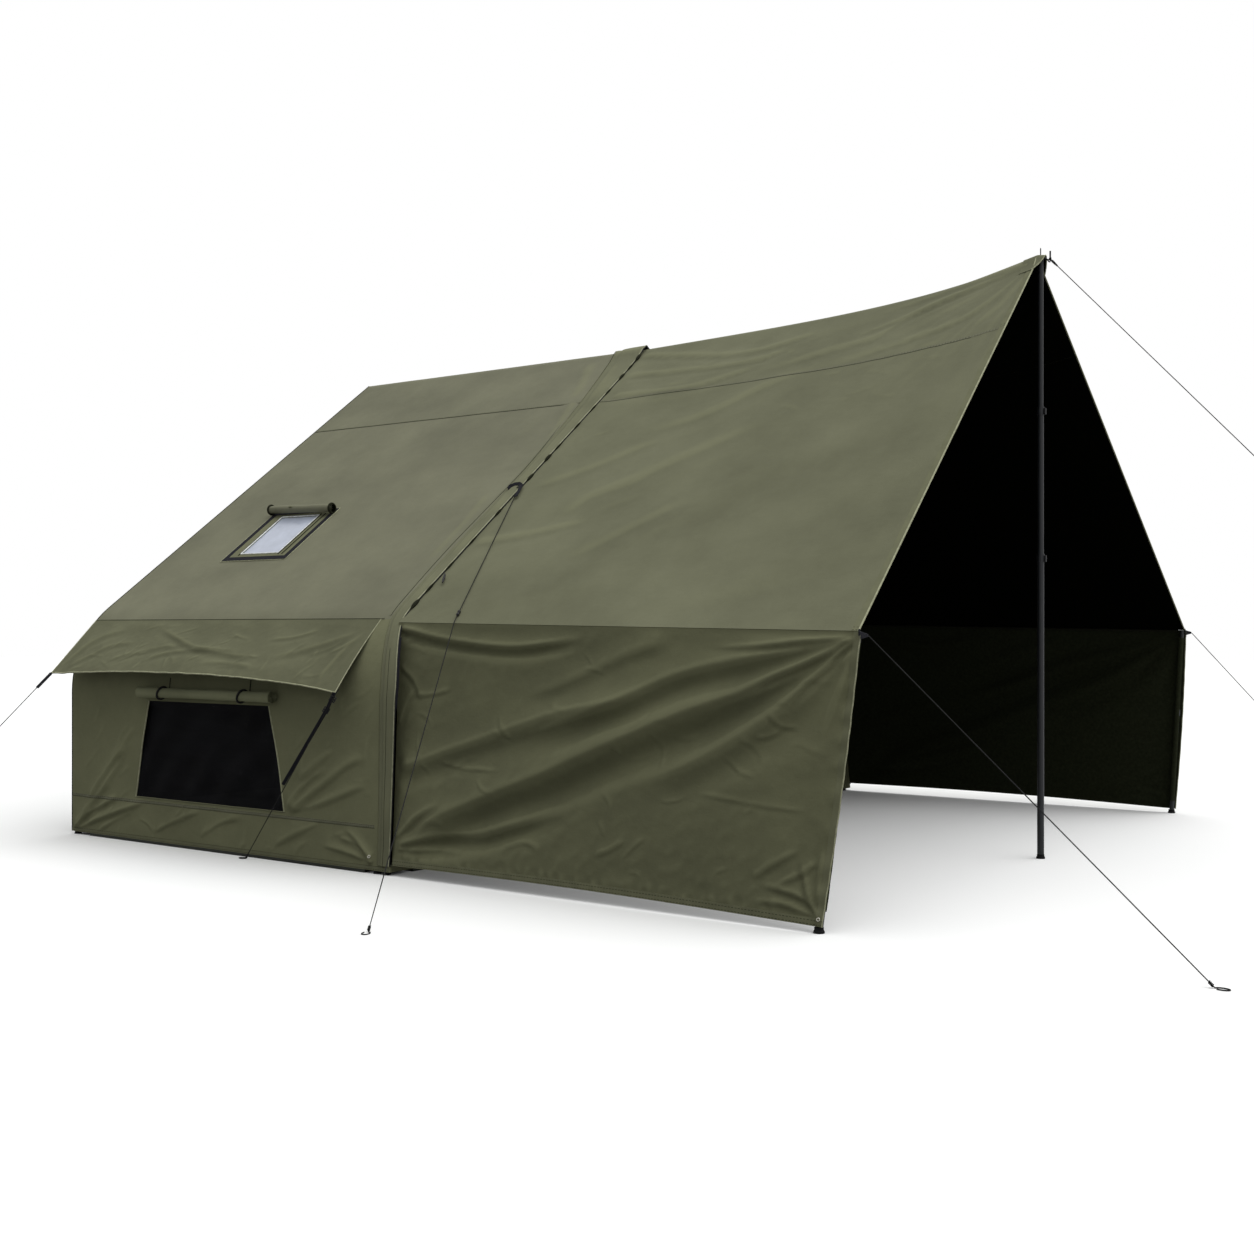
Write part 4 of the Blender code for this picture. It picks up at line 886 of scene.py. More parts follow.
def hoop(name: str, centre: Point, first: Point, second: Point, radius: float, finish: Finish,
         steps: int = 25) -> Piece:
    """A closed ring of cord.

    Args:
        name: The piece's name.
        centre: Its middle.
        first: From there to a point of the ring.
        second: From there to the point a quarter of the way on.
        radius: The cord's radius.
        finish: Its finish.
        steps: How many points it has.

    Returns:
        The ring's object.
    """
    turn = np.linspace(0, 2 * math.pi, steps)[:, None]
    ring = np.array(centre) + np.array(first) * np.cos(turn) + np.array(second) * np.sin(turn)
    return tube(name, ring, radius, finish)


def soften(shape: bmesh.types.BMesh, width: float, segments: int = 2) -> None:
    """Round all the edges of a shape."""
    bmesh.ops.bevel(shape, geom=shape.edges[:], offset=width, segments=segments, profile=0.5, affect="EDGES",
                    material=-1)


def round_edges(item: Piece, thickness: float) -> None:
    """Round the edges of a strip of so many metres' thickness with a modifier."""
    edge = item.modifiers.new("Soft edge", "BEVEL")
    edge.width = thickness * 0.3
    edge.segments = 2


def strap(name: str, path: Sequence[Point], across: Point, width: float, thickness: float,
          finish: Finish = WEBBING) -> Piece:
    """A flat strap along a path, with soft edges.

    Args:
        name: The piece's name.
        path: The path's points.
        across: The direction of the strap's width.
        width: Its width.
        thickness: Its thickness.
        finish: Its finish.

    Returns:
        The strap's object.
    """
    path = np.asarray(path, dtype=float)
    ahead = np.gradient(path, axis=0)
    ahead /= np.linalg.norm(ahead, axis=1, keepdims=True)
    side = np.asarray(across, dtype=float) - ahead * (ahead @ np.asarray(across, dtype=float))[:, None]
    side /= np.linalg.norm(side, axis=1, keepdims=True)
    shape = bmesh.new()
    bmesh.ops.create_grid(shape, x_segments=2, y_segments=len(path) - 1, size=0.5)
    for vert in shape.verts:
        place = round((vert.co.y + 0.5) * (len(path) - 1))
        vert.co = path[place] + side[place] * vert.co.x * width
    bmesh.ops.solidify(shape, geom=shape.faces[:], thickness=thickness)
    bmesh.ops.recalc_face_normals(shape, faces=shape.faces)
    item = dress_object(name, mesh_from(name, shape, smoothed=False), [finish])
    round_edges(item, thickness)
    return item


# Forms shared by the pieces


@dataclass
class CabinForm(Surface):
    """The cabin's skin. Its first measure is x, its second the way up the near wall, over the ridge and down."""

    half_width: float = 2.10
    rear_x: float = -2.20
    ridge_height: float = 2.57
    corner_height: float = 0.999
    shoulder_radius: float = 0.541
    foot_x: float = 0.075
    ridge_x: float = -0.075
    hem: float = 0.015
    top_seam_drop: float = 0.556
    eave_share: float = 0.8

    def __post_init__(self) -> None:
        """Work out the lengths that follow from the sizes."""
        self.slope = (self.ridge_height - self.corner_height) / self.half_width
        self.pitch = math.atan(self.slope)
        self.turn = math.pi / 2 - self.pitch
        self.wall = self.corner_height - self.shoulder_radius * math.tan(self.turn / 2)
        self.shoulder = self.shoulder_radius * self.turn
        self.roof_y = self.half_width - self.shoulder_radius + self.shoulder_radius * math.cos(self.turn)
        self.rafter = self.roof_y / math.cos(self.pitch)
        self.length = self.wall + self.shoulder + self.rafter
        self.eave = self.wall + self.shoulder * self.eave_share
        self.lean = (self.foot_x - self.ridge_x) / self.ridge_height
        self.top_seam = self.length - self.top_seam_drop

    def outline(self, distance: Any, lift: float = 0.0) -> tuple[Array, Array]:
        """The near half of the outline, as (y, z), at a distance up from the ground.

        Args:
            distance: Metres up the skin.
            lift: Metres outwards.

        Returns:
            Two arrays.
        """
        d = np.asarray(distance, dtype=float)
        turn = np.clip((d - self.wall) / self.shoulder_radius, 0, self.turn)
        reach = self.shoulder_radius + lift
        across = self.half_width - self.shoulder_radius + reach * np.cos(turn)
        height = np.minimum(d, self.wall) + reach * np.sin(turn)
        left = np.maximum(0.0, 1.0 - (d - self.wall - self.shoulder) / self.rafter)
        roof_across = left * (self.roof_y + lift * math.sin(self.pitch))
        roof_height = self.ridge_height + lift / math.cos(self.pitch) - self.slope * roof_across
        on_roof = d > self.wall + self.shoulder
        return -np.where(on_roof, roof_across, across), np.where(on_roof, roof_height, height)

    def joint_x(self, height: Any) -> Any:
        """Where cabin and canopy meet, at a height."""
        return self.foot_x - self.lean * height

    def base(self, a: Array, b: Array) -> Array:
        """Points of the smooth skin.

        Args:
            a: Metres along x.
            b: Metres up the near side, over the ridge and down the far side.

        Returns:
            An array with x, y and z last.
        """
        from_ridge = b - self.length
        y, z = self.outline(self.length - np.abs(from_ridge))
        return np.stack([np.broadcast_to(a, y.shape), -y * np.sign(from_ridge), z], axis=-1)


CABIN = CabinForm()


@dataclass
class CabinCloth(CabinForm):
    """The cabin's skin with what the canvas does on it: folds at the window and hem, and a slight slackness."""

    seed: int = 3
    slack: float = 0.0012

    def relief(self, a: Array, b: Array) -> Array:
        """Folds and slackness, held flat along the seams and the joint.

        Args:
            a: Metres along x.
            b: Metres round the skin.

        Returns:
            Heights, in metres.
        """
        total = super().relief(a, b)
        d = self.length - np.abs(b - self.length)
        held = smooth((a - self.rear_x) / 0.12) * smooth((0.05 - a) / 0.15)
        wall = smooth((self.eave - d) / 0.15)
        total = total + self.slack * held * (0.3 + wall) * ripple(a, b, self.seed, 0.42, 0.5, 1.6)
        total = total + 0.25 * self.slack * held * (0.3 + wall) * ripple(a, b, self.seed + 1, 0.13)
        # The floor's tub and the air beams lie right behind, so the cloth only bulges outwards
        return 0.5 * (total + np.sqrt(total ** 2 + 1e-6)) - 0.0004


@dataclass
class CanopyForm(Surface):
    """The canopy's roof. Its first measure is a share from joint to front, its second one from near eave (-1) over
    the ridge (0) to far eave (1)."""

    front_x: float = 2.135
    peak_height: float = 2.75
    rise_straight: float = 0.35
    rise_power: float = 4.0
    eave_half: float = 1.985
    eave_rear: float = 1.08
    eave_front: float = 1.045
    corner_reach: float = 0.09
    seam_share: float = 0.225
    hem_rear: float = 0.046
    hem_front: float = 0.024
    ring_radius: float = 0.013
    nose: float = 0.011

    def crown(self, a: Array, b: Array) -> Array:
        """How far the ridge stands up as it nears the pole's head."""
        return self.nose * np.exp(-(b / 0.022) ** 2) * smooth((a - 0.83) / 0.15)

    def ridge(self, share: Any) -> Array:
        """Points of the ridge.

        Args:
            share: Shares from the joint to the front.

        Returns:
            An array with x, y and z last.
        """
        share = np.asarray(share, dtype=float)
        rise = self.rise_straight * share + (1 - self.rise_straight) * np.abs(share) ** self.rise_power
        start = CABIN.ridge_x + CLEAR
        end = self.front_x - self.ring_radius - 0.0005
        height = CABIN.ridge_height + (self.peak_height - CABIN.ridge_height) * rise
        return np.stack([start + (end - start) * share, np.zeros(share.shape), height], axis=-1)

    def eave(self, share: Any) -> Array:
        """Points of the near eave.

        Args:
            share: Shares from the joint to the front.

        Returns:
            An array with x, y and z last.
        """
        share = np.asarray(share, dtype=float)
        start = CABIN.joint_x(self.eave_rear) + CLEAR
        end = self.front_x + self.corner_reach
        height = self.eave_rear - (self.eave_rear - self.eave_front) * share
        return np.stack([start + (end - start) * share, np.full(share.shape, -self.eave_half), height], axis=-1)

    def base(self, a: Array, b: Array) -> Array:
        """Points of the smooth roof.

        Args:
            a: Shares from the joint to the front.
            b: Shares from the ridge to an eave, below 0 on the near side.

        Returns:
            An array with x, y and z last.
        """
        share = np.abs(b)[..., None]
        made = self.ridge(a) * (1 - share) + self.eave(a) * share
        made[..., 1] *= -np.sign(b)
        return made


CANOPY = CanopyForm()


@dataclass
class CanopyCloth(CanopyForm):
    """The canopy's roof with its canvas pulled towards the peak, where folds fan out, and slack near the joint."""

    seed: int = 11

    def relief(self, a: Array, b: Array) -> Array:
        """Folds in metres on a flat drawing of the roof, and faint rays from the peak.

        Args:
            a: Shares from the joint to the front.
            b: Shares from the ridge.

        Returns:
            Heights, in metres.
        """
        share = np.abs(b)
        total = np.zeros(np.shape(a))
        for fold in self.folds:
            total = total + fold.rise(2.2 * a, 2.45 * (1 - share)) * np.where(b <= 0, 1.0, 0.8)
        reach = np.hypot(2.2 * (1 - a), 2.45 * share)
        heading = np.arctan2(2.45 * share, 2.2 * (1 - a) + 1e-6)
        held = smooth(share / 0.08) * smooth((1 - share) / 0.10) * smooth(a / 0.03)
        rays = np.sin(heading * 46 + 1.2 * np.sin(heading * 17 + b * 3)) * np.exp(-((reach - 0.5) / 0.45) ** 2)
        total = total + 0.0007 * held * rays * smooth(reach / 0.3)
        soft = ripple(2.2 * a, 2.45 * b, self.seed, 0.55, 2.5, 0.9)
        return total + 0.0016 * held * smooth((1 - a) / 0.05) * soft + self.crown(a, b)


@dataclass
class HoodForm(CanopyForm):
    """The canopy's roof at its peak, with a rounded ridge, and carried on past the roof's front edge."""

    round: float = 0.010
    ahead: tuple[float, float, float] = (2.196, 0.0, -0.30)

    def base(self, a: Array, b: Array) -> Array:
        """Points of the smooth hood.

        Args:
            a: Shares from the joint to the front, and past it.
            b: Shares from the ridge to an eave, below 0 on the near side.

        Returns:
            An array with x, y and z last.
        """
        rounded = np.sign(b) * (np.hypot(b, self.round) - self.round)
        made = super().base(np.minimum(a, 1.0), rounded)
        return made + np.maximum(np.asarray(a) - 1.0, 0.0)[..., None] * np.array(self.ahead)

    def relief(self, a: Array, b: Array) -> Array:
        """The hood follows the crown of the roof under it."""
        return self.crown(a, b)


@dataclass
class CanopyWallForm(Surface):
    """A canopy wall. Its first measure is metres along the wall, its second metres up it."""

    height: float = 1.045
    seed: int = 21
    slack: float = 0.0012
    arch: float = 0.012
    lap: tuple[float, float] = (0.008, 0.009)

    def base(self, a: Array, b: Array) -> Array:
        """Points of the smooth wall, from its foot to the eave.

        Args:
            a: Metres along it, 0 at the joint and 2.135 at the front foot.
            b: Metres up it.

        Returns:
            An array with x, y and z last.
        """
        along = np.asarray(a, dtype=float) / CANOPY.front_x
        up = np.asarray(b, dtype=float) / self.height
        rear = np.array([CABIN.joint_x(CANOPY.hem_rear) + CLEAR, -CABIN.half_width, CANOPY.hem_rear])
        front = np.array([CANOPY.front_x, -CABIN.half_width, CANOPY.hem_front])
        foot = rear + (front - rear) * along[..., None]
        foot[..., 2] += self.arch * np.sin(math.pi * np.clip(along, 0, 1))
        slope = math.atan((CABIN.ridge_height - CANOPY.eave_rear) / CANOPY.eave_half)
        top = CANOPY.eave(along) - np.array([0, 0, FABRIC * math.cos(slope) + 0.0005])
        made = foot + (top - foot) * up[..., None]
        # The front edge laps round its pole, so the pole only shows at its foot
        lap = self.lap[0] + self.lap[1] * np.sin(math.pi * np.clip(up, 0, 1))
        made[..., 0] += lap * np.clip(along, 0, 1) ** 8
        return made

    def relief(self, a: Array, b: Array) -> Array:
        """Folds that run from the front top corner to the rear foot, and small ripples.

        Args:
            a: Metres along the wall.
            b: Metres up it.

        Returns:
            Heights, in metres.
        """
        total = super().relief(a, b)
        edges = (smooth(a / 0.04) * smooth((CANOPY.front_x - a) / 0.03) * smooth(b / 0.05)
                 * smooth((self.height - b) / 0.035))
        total = total * np.clip(edges, 0, 1)
        run = math.atan2(0.83, 2.04)
        soft = ripple(a, b, self.seed, 0.20, run + math.pi / 2, 0.7)
        fine = ripple(a, b, self.seed + 5, 0.07, run + math.pi / 2, 1.6, 12)
        low = np.exp(-(b / 0.22) ** 2)
        total = total + edges * (self.slack * soft + 0.0003 * fine + 0.0006 * low * fine)
        pucker = (np.sin(2 * math.pi * b / 0.105 + 1.5 * np.sin(b * 9))
                  * np.exp(-((CANOPY.front_x - 0.02 - a) / 0.03) ** 2))
        strip = np.exp(-((b - 0.03) / 0.03) ** 2) * ripple(a, b, self.seed + 9, 0.06, 0.2, 0.8)
        return total + 0.0024 * pucker + 0.0012 * strip * smooth(b / 0.01)


@dataclass
class FlapForm(Surface):
    """The near eave flap. Its first measure is x, its second a share from the hem up to the seam."""

    front_gap: float = 0.12
    reach: float = 0.262
    drop_rear: float = 0.262
    drop_front: float = 0.300
    hem_rise: float = 0.022
    seed: int = 31

    def ends(self) -> tuple[float, float]:
        """The x of its rear and front edges."""
        height = float(CABIN.outline(CABIN.eave)[1])
        return CABIN.rear_x, float(CABIN.joint_x(height)) - self.front_gap

    def base(self, a: Array, b: Array) -> Array:
        """Points of the smooth flap.

        Args:
            a: Metres along x.
            b: Shares from the hem to the seam.

        Returns:
            An array with x, y and z last.
        """
        rear, front = self.ends()
        share = (np.asarray(a, dtype=float) - rear) / (front - rear)
        across, seam = CABIN.outline(CABIN.eave, CLEAR)
        drop = self.drop_rear + (self.drop_front - self.drop_rear) * np.clip(share, 0, 2) ** 3
        drop = drop + 0.010 * np.clip(share, 0, 2) ** 12 + 0.006
        hem_y, hem_z = float(across) - self.reach, float(seam) - drop + self.hem_rise * np.sin(math.pi * share)
        y = hem_y + (float(across) - hem_y) * b
        z = hem_z + (float(seam) - hem_z) * b
        pulled = 0.012 + 0.014 * (1 - np.asarray(b, dtype=float)) + 0.010 * np.sin(math.pi * np.clip(b, 0, 1))
        return np.stack([np.broadcast_to(a, z.shape) - pulled * np.clip(share, 0, 2) ** 10, y, z], axis=-1)

    def relief(self, a: Array, b: Array) -> Array:
        """Folds, ripples along the hem, and a slight belly.

        Args:
            a: Metres along x.
            b: Shares from the hem to the seam.

        Returns:
            Heights, in metres.
        """
        total = np.zeros(np.shape(a))
        for fold in self.folds:
            total = total + fold.rise(a, 0.38 * b)
        rear, front = self.ends()
        held = smooth((a - rear) / 0.1) * smooth((front - a) / 0.1) * smooth((1 - b) / 0.12)
        soft = ripple(a, 0.38 * b, self.seed, 0.22, 1.1, 1.2)
        fine = ripple(a, 0.38 * b, self.seed + 1, 0.07, 1.3, 1.8)
        edge = np.exp(-(b / 0.14) ** 2) * ripple(a, 0.38 * b, self.seed + 2, 0.10, 0.0, 0.5)
        return held * (total + 0.0016 * soft + 0.0003 * fine + 0.0010 * edge) + FABRIC


@dataclass
class HangingFlapForm(Surface):
    """The far eave flap, which hangs down over its window's rolled cover."""

    hang: float = 0.38
    standoff: float = 0.072
    seed: int = 41

    def base(self, a: Array, b: Array) -> Array:
        """Points of the flap, as if it were on the near side.

        Args:
            a: Metres along x.
            b: Shares from the hem to the seam.

        Returns:
            An array with x, y and z last.
        """
        hanging = 1 - np.asarray(b, dtype=float)
        y, z = CABIN.outline(CABIN.eave - self.hang * hanging)
        out = CLEAR + self.standoff * hanging
        return np.stack([np.broadcast_to(a, y.shape), y - out, z], axis=-1)

    def relief(self, a: Array, b: Array) -> Array:
        """Soft vertical waves that grow towards the hem.

        Args:
            a: Metres along x.
            b: Shares from the hem to the seam.

        Returns:
            Heights, in metres.
        """
        return FABRIC + 0.006 * smooth((1 - b) / 0.8) * ripple(a, 0.38 * b, self.seed, 0.28, 0.0, 0.5)


@dataclass
class BandForm(CabinForm):
    """The cover band over the joint. Its first measure is a share across it, its second the way round the skin."""

    wall_width: float = 0.068
    waist_width: float = 0.075
    ridge_width: float = 0.20
    waist_height: float = 1.73
    bulge: float = 0.075
    bulge_height: float = 0.80

    def edges(self, height: Array) -> tuple[Array, Array]:
        """The x of the band's back and front edges at a height.

        Args:
            height: Heights, in metres.

        Returns:
            Two arrays.
        """
        top = np.clip((height - self.waist_height) / (self.ridge_height - self.waist_height), 0, 1)
        low = np.clip((self.waist_height - height) / (self.waist_height - self.corner_height), 0, 1)
        width = np.where(height > self.waist_height,
                         self.waist_width + (self.ridge_width - self.waist_width) * top ** 2,
                         self.waist_width + (self.wall_width - self.waist_width) * low)
        rising = -0.012 + (self.bulge + 0.012) * np.clip(height / self.bulge_height, 0, 1) ** 0.85
        share = np.clip((height - self.bulge_height) / (1.09 - self.bulge_height), 0, 1)
        forward = np.where(height < self.bulge_height, rising, self.bulge * np.cos(math.pi / 2 * share))
        return self.joint_x(height) - width + 0.75 * forward, self.joint_x(height) + forward

    def base(self, a: Array, b: Array) -> Array:
        """Points of the smooth band.

        Args:
            a: Shares from its back edge to its front one.
            b: Metres round the skin.

        Returns:
            An array with x, y and z last.
        """
        from_ridge = b - self.length
        y, z = self.outline(self.length - np.abs(from_ridge), CLEAR)
        back, front = self.edges(z)
        return np.stack([back + (front - back) * a, -y * np.sign(from_ridge), z], axis=-1)

    def relief(self, a: Array, b: Array) -> Array:
        """A soft crown between flat edges, a crease inside the back one, and loose ripples.

        Args:
            a: Shares across it.
            b: Metres round the skin.

        Returns:
            Heights, in metres.
        """
        d = self.length - np.abs(b - self.length)
        crown = 0.006 * np.sin(math.pi * np.clip(a, 0, 1)) ** 0.8
        crease = 0.004 * np.exp(-((a - 0.22 - 0.05 * np.sin(5 * d)) / 0.06) ** 2)
        drop = self.length - d
        crown = (crown + 0.010 * np.exp(-(drop / 0.05) ** 2)
                 + 0.010 * np.clip(a, 0, 1) ** 3 * np.exp(-(drop / 0.14) ** 2))
        loose = 0.0018 * np.sin(math.pi * np.clip(a, 0, 1)) * ripple(a * 0.1, b, 51, 0.30, 1.4, 0.6)
        return FABRIC + crown - crease + loose


@dataclass
class RollForm(Surface):
    """A rolled-up cover: its first measure is a share along the axis, its second a share of the way out the spiral."""

    start: Sequence[float] = (0.0, 0.0, 0.0)
    finish: Sequence[float] = (1.0, 0.0, 0.0)
    radius: float = 0.0325
    pitch: float = 0.0062
    turns: float = 3.4
    ties: Sequence[float] = ()
    squeeze: float = 0.16
    waist: float = 0.0
    seed: int = 61

    def base(self, a: Array, b: Array) -> Array:
        """Points of the spiral.

        Args:
            a: Shares along the axis.
            b: Shares from the outer edge in to the core.

        Returns:
            An array with x, y and z last.
        """
        start, end = np.asarray(self.start, dtype=float), np.asarray(self.finish, dtype=float)
        axis = end - start
        length = np.linalg.norm(axis)
        axis = axis / length
        side = np.cross(axis, (0, 0, 1) if abs(axis[2]) < 0.9 else (0, 1, 0))
        side /= np.linalg.norm(side)
        up = np.cross(side, axis)
        a = np.asarray(a, dtype=float)
        turn = 2 * math.pi * self.turns * np.asarray(b, dtype=float) - 0.9
        reach = (self.radius - 0.001) - self.pitch * self.turns * b
        tight = np.ones(a.shape)
        for tie in self.ties:
            tight = tight - self.squeeze * np.exp(-(((a - tie) * length) / 0.028) ** 2)
        swell = 1 - 0.05 * (1 + ripple(a * length, turn * 0.03, self.seed, 0.25, 0.3, 0.8, 5).clip(-1, 1))
        reach = reach * tight * swell * (1 - self.waist * np.sin(math.pi * np.clip(a, 0, 1)) ** 0.6)
        centre = start + (end - start) * a[..., None]
        return centre + side * (reach * np.cos(turn))[..., None] + up * (reach * np.sin(turn))[..., None]


def make_roll(name: str, form: RollForm, node: str, ties: Sequence[Piece],
              finishes: Sequence[Finish] = (ROLL_CANVAS_PAINTED_LIGHT,)) -> None:
    """Args:
        name: The piece's name.
        form: The spiral.
        node: The node it replaces.
        ties: Its ties.
        finishes: The canvas' finishes.
    """
    roll = lay_cloth(name, form, np.linspace(0, 1, 81), np.linspace(0, 1, 90), finishes, node, thickness=0.0018,
                     dark_rim=True)
    declare_sheet(roll, ties)


def eyelet(name: str, form: Surface, x: float, z: float) -> Piece:
    """A pressed brass eyelet.

    Args:
        name: The piece's name.
        form: The cloth that it is in.
        x: Metres along it.
        z: Metres up it.

    Returns:
        The eyelet.
    """
    centre, ahead, above = form.points(np.array([x, x + 0.01, x]), np.array([z, z, z + 0.01]), 0.0022)
    right = (ahead - centre) / np.linalg.norm(ahead - centre)
    up = (above - centre) / np.linalg.norm(above - centre)
    turn = np.linspace(0, 2 * math.pi, 25)
    ring = centre + 0.0055 * (right * np.cos(turn)[:, None] + up * np.sin(turn)[:, None])
    return tube(name, ring, 0.0016, EYELET)


# Studio and cords


@dataclass
class Studio:
    """The pale floor, the soft light from above and the camera where the photograph was taken."""

    eye: Point = (4.631, -6.682, 1.054)
    heading: float = 35.88
    lens: float = 43.117
    sensor: float = 36.0
    shift: float = 0.001
    far_clip: float = 300.0
    sun: float = 2.35
    sun_width: float = 80.0
    sun_turn: tuple[float, float] = (-4.0, 22.0)
    sky: float = 0.38
    floor_bounce: str = "#757573"
    floor_lift: float = 0.15
    contact_reach: float = 0.9
    floor_size: float = 90.0

    def build(self) -> None:
        """Make the camera, the light, the world and the floor."""
        scene = bpy.context.scene
        view = bpy.data.cameras.new("camera")
        view.lens, view.sensor_width, view.shift_y, view.clip_end = self.lens, self.sensor, self.shift, self.far_clip
        camera = bpy.data.objects.new("camera", view)
        camera.location = self.eye
        camera.rotation_euler = (math.pi / 2, 0.0, math.radians(self.heading))
        light = bpy.data.lights.new("overhead", "SUN")
        light.energy, light.angle = self.sun, math.radians(self.sun_width)
        lamp = bpy.data.objects.new("overhead", light)
        lamp.rotation_euler = (math.radians(self.sun_turn[0]), math.radians(self.sun_turn[1]), 0.0)
        for item in (camera, lamp):
            scene.collection.objects.link(item)
        scene.camera = camera
        scene.view_settings.view_transform = "Standard"
        world = bpy.data.worlds.new("studio")
        scene.world = world
        world.use_nodes = True
        tree = world.node_tree
        tree.nodes.clear()
        plain = add_node(tree, "Background", inputs={0: (1, 1, 1, 1), 1: 1.0})
        soft = add_node(tree, "Background", inputs={0: (0.98, 0.99, 1.0, 1), 1: self.sky})
        mixed = add_node(tree, "MixShader", inputs={0: self.seen_share(tree), 1: soft.outputs[0], 2: plain.outputs[0]})
        add_node(tree, "OutputWorld", inputs={0: mixed.outputs[0]})
        self.floor()
        LOG.info("camera, light and floor are in place")

    def seen_share(self, tree: Tree) -> Socket:
        """1 for rays that the camera sees, straight or in a reflection or through glass, and 0 for the rest.

        Args:
            tree: The node tree.

        Returns:
            The share's socket.
        """
        path = add_node(tree, "LightPath")
        share = path.outputs["Is Camera Ray"]
        for name in ("Is Glossy Ray", "Is Transmission Ray"):
            share = add_node(tree, "Math", {"operation": "MAXIMUM"}, {0: share, 1: path.outputs[name]}).outputs[0]
        return share

    def floor(self) -> None:
        """A pale painted floor: white where it is seen, duller in what it throws back at the tent."""
        shape = bmesh.new()
        bmesh.ops.create_grid(shape, x_segments=1, y_segments=1, size=self.floor_size / 2)
        mesh = mesh_from("studio_floor", shape, smoothed=False)
        floor = bpy.data.objects.new("studio_floor", mesh)
        bpy.context.scene.collection.objects.link(floor)
        paint = bpy.data.materials.new("matt_studio_paint")
        paint.use_nodes = True
        tree = paint.node_tree
        sockets = tree.nodes["Principled BSDF"].inputs
        sockets["Roughness"].default_value = 1.0
        sockets["Specular IOR Level"].default_value = 0.0
        place = add_node(tree, "TexCoord").outputs["Object"]
        clean = blend_colours(tree, grain(tree, place, (1, 1, 1), 0.4), "#f3f4f3", "#f6f6f5")
        mixed = add_node(tree, "Mix", {"data_type": "RGBA"},
                         {0: self.seen_share(tree), 6: linear(self.floor_bounce), 7: clean})
        tree.links.new(mixed.outputs[2], sockets["Base Color"])
        # The paint's own faint glow stands for the light that a white cove throws back into the shadows.
        # It dies away where the tent stands close over the floor, as light from a cove does
        sockets["Emission Color"].default_value = (1, 1, 1, 1)
        open_share = add_node(tree, "AmbientOcclusion", {"samples": 8}, {"Distance": self.contact_reach})
        lift = add_node(tree, "Math", {"operation": "MULTIPLY"}, {0: open_share.outputs["AO"], 1: self.floor_lift})
        glow = add_node(tree, "Math", {"operation": "MULTIPLY"}, {0: self.seen_share(tree), 1: lift.outputs[0]})
        tree.links.new(glow.outputs[0], sockets["Emission Strength"])
        mesh.materials.append(paint)


@dataclass
class GuyLine:
    """A rope from its fastening to a loop round its peg's place on the ground."""

    name: str
    start: Point
    peg: Point
    bend: Optional[Point] = None
    radius: float = 0.002
    loop_radius: float = 0.022
    loop_width: float = 0.0136
    loop_steps: int = 26
    loop_share: float = 11 / 13
    knot_turns: int = 4
    knot_steps: int = 64

    def route(self) -> tuple[list[Vector], Vector, Vector]:
        """The rope's points.

        Returns:
            The points, the knot's place and the direction of the rope there.
        """
        start, peg = Vector(self.start), Vector(self.peg)
        flat = Vector((peg.x - start.x, peg.y - start.y, 0)).normalized()
        centre = Vector((peg.x, peg.y, self.radius + 0.0005)) - flat * self.loop_radius
        knot = centre - flat * self.loop_radius
        stops = [start] + ([Vector(self.bend)] if self.bend else []) + [knot]
        points = [start]
        for first, second in zip(stops, stops[1:]):
            steps = max(1, min(8, int((second - first).length / 0.012)))
            points += [first.lerp(second, step / steps) for step in range(1, steps + 1)]
        left = Vector((-flat.y, flat.x, 0))
        for step in range(1, self.loop_steps + 1):
            turn = 2 * math.pi * self.loop_share * step / self.loop_steps
            points.append(centre - flat * self.loop_radius * math.cos(turn) + left * self.loop_width * math.sin(turn))
        return points, knot, (knot - stops[-2]).normalized()

    def build(self) -> None:
        points, knot, ahead = self.route()
        name = self.name + "_rope"
        curve = bpy.data.curves.new(name, "CURVE")
        curve.dimensions = "3D"
        curve.bevel_depth = self.radius
        curve.bevel_resolution = 3
        curve.use_fill_caps = True
        spline = curve.splines.new("POLY")
        spline.points.add(len(points) - 1)
        for slot, point in zip(spline.points, points):
            slot.co = (*point, 1.0)
        spline.use_smooth = True
        rope = dress_object(name, curve, [CORD])
        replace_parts(rope, self.name)
        wound = self.knot_coil(knot, ahead)

    def knot_coil(self, knot: Vector, ahead: Vector) -> Piece:
        """The knot that closes the loop: four turns of the same cord round the rope.

        Args:
            knot: Where the loop closes.
            ahead: The rope's direction there.

        Returns:
            The knot's object.
        """
        shares = np.linspace(0, 1, self.knot_steps + 1)
        centre = np.array([knot - ahead * (0.006 + 0.018 * share) for share in shares])
        first, second = rails(centre)
        angle = (2 * math.pi * self.knot_turns * shares)[:, None]
        path = centre + self.radius * 1.9 * (first * np.cos(angle) + second * np.sin(angle))
        path[:, 2] = np.maximum(path[:, 2], self.radius)
        return tube(self.name + "_knot", path, self.radius * 0.95, CORD, 6)


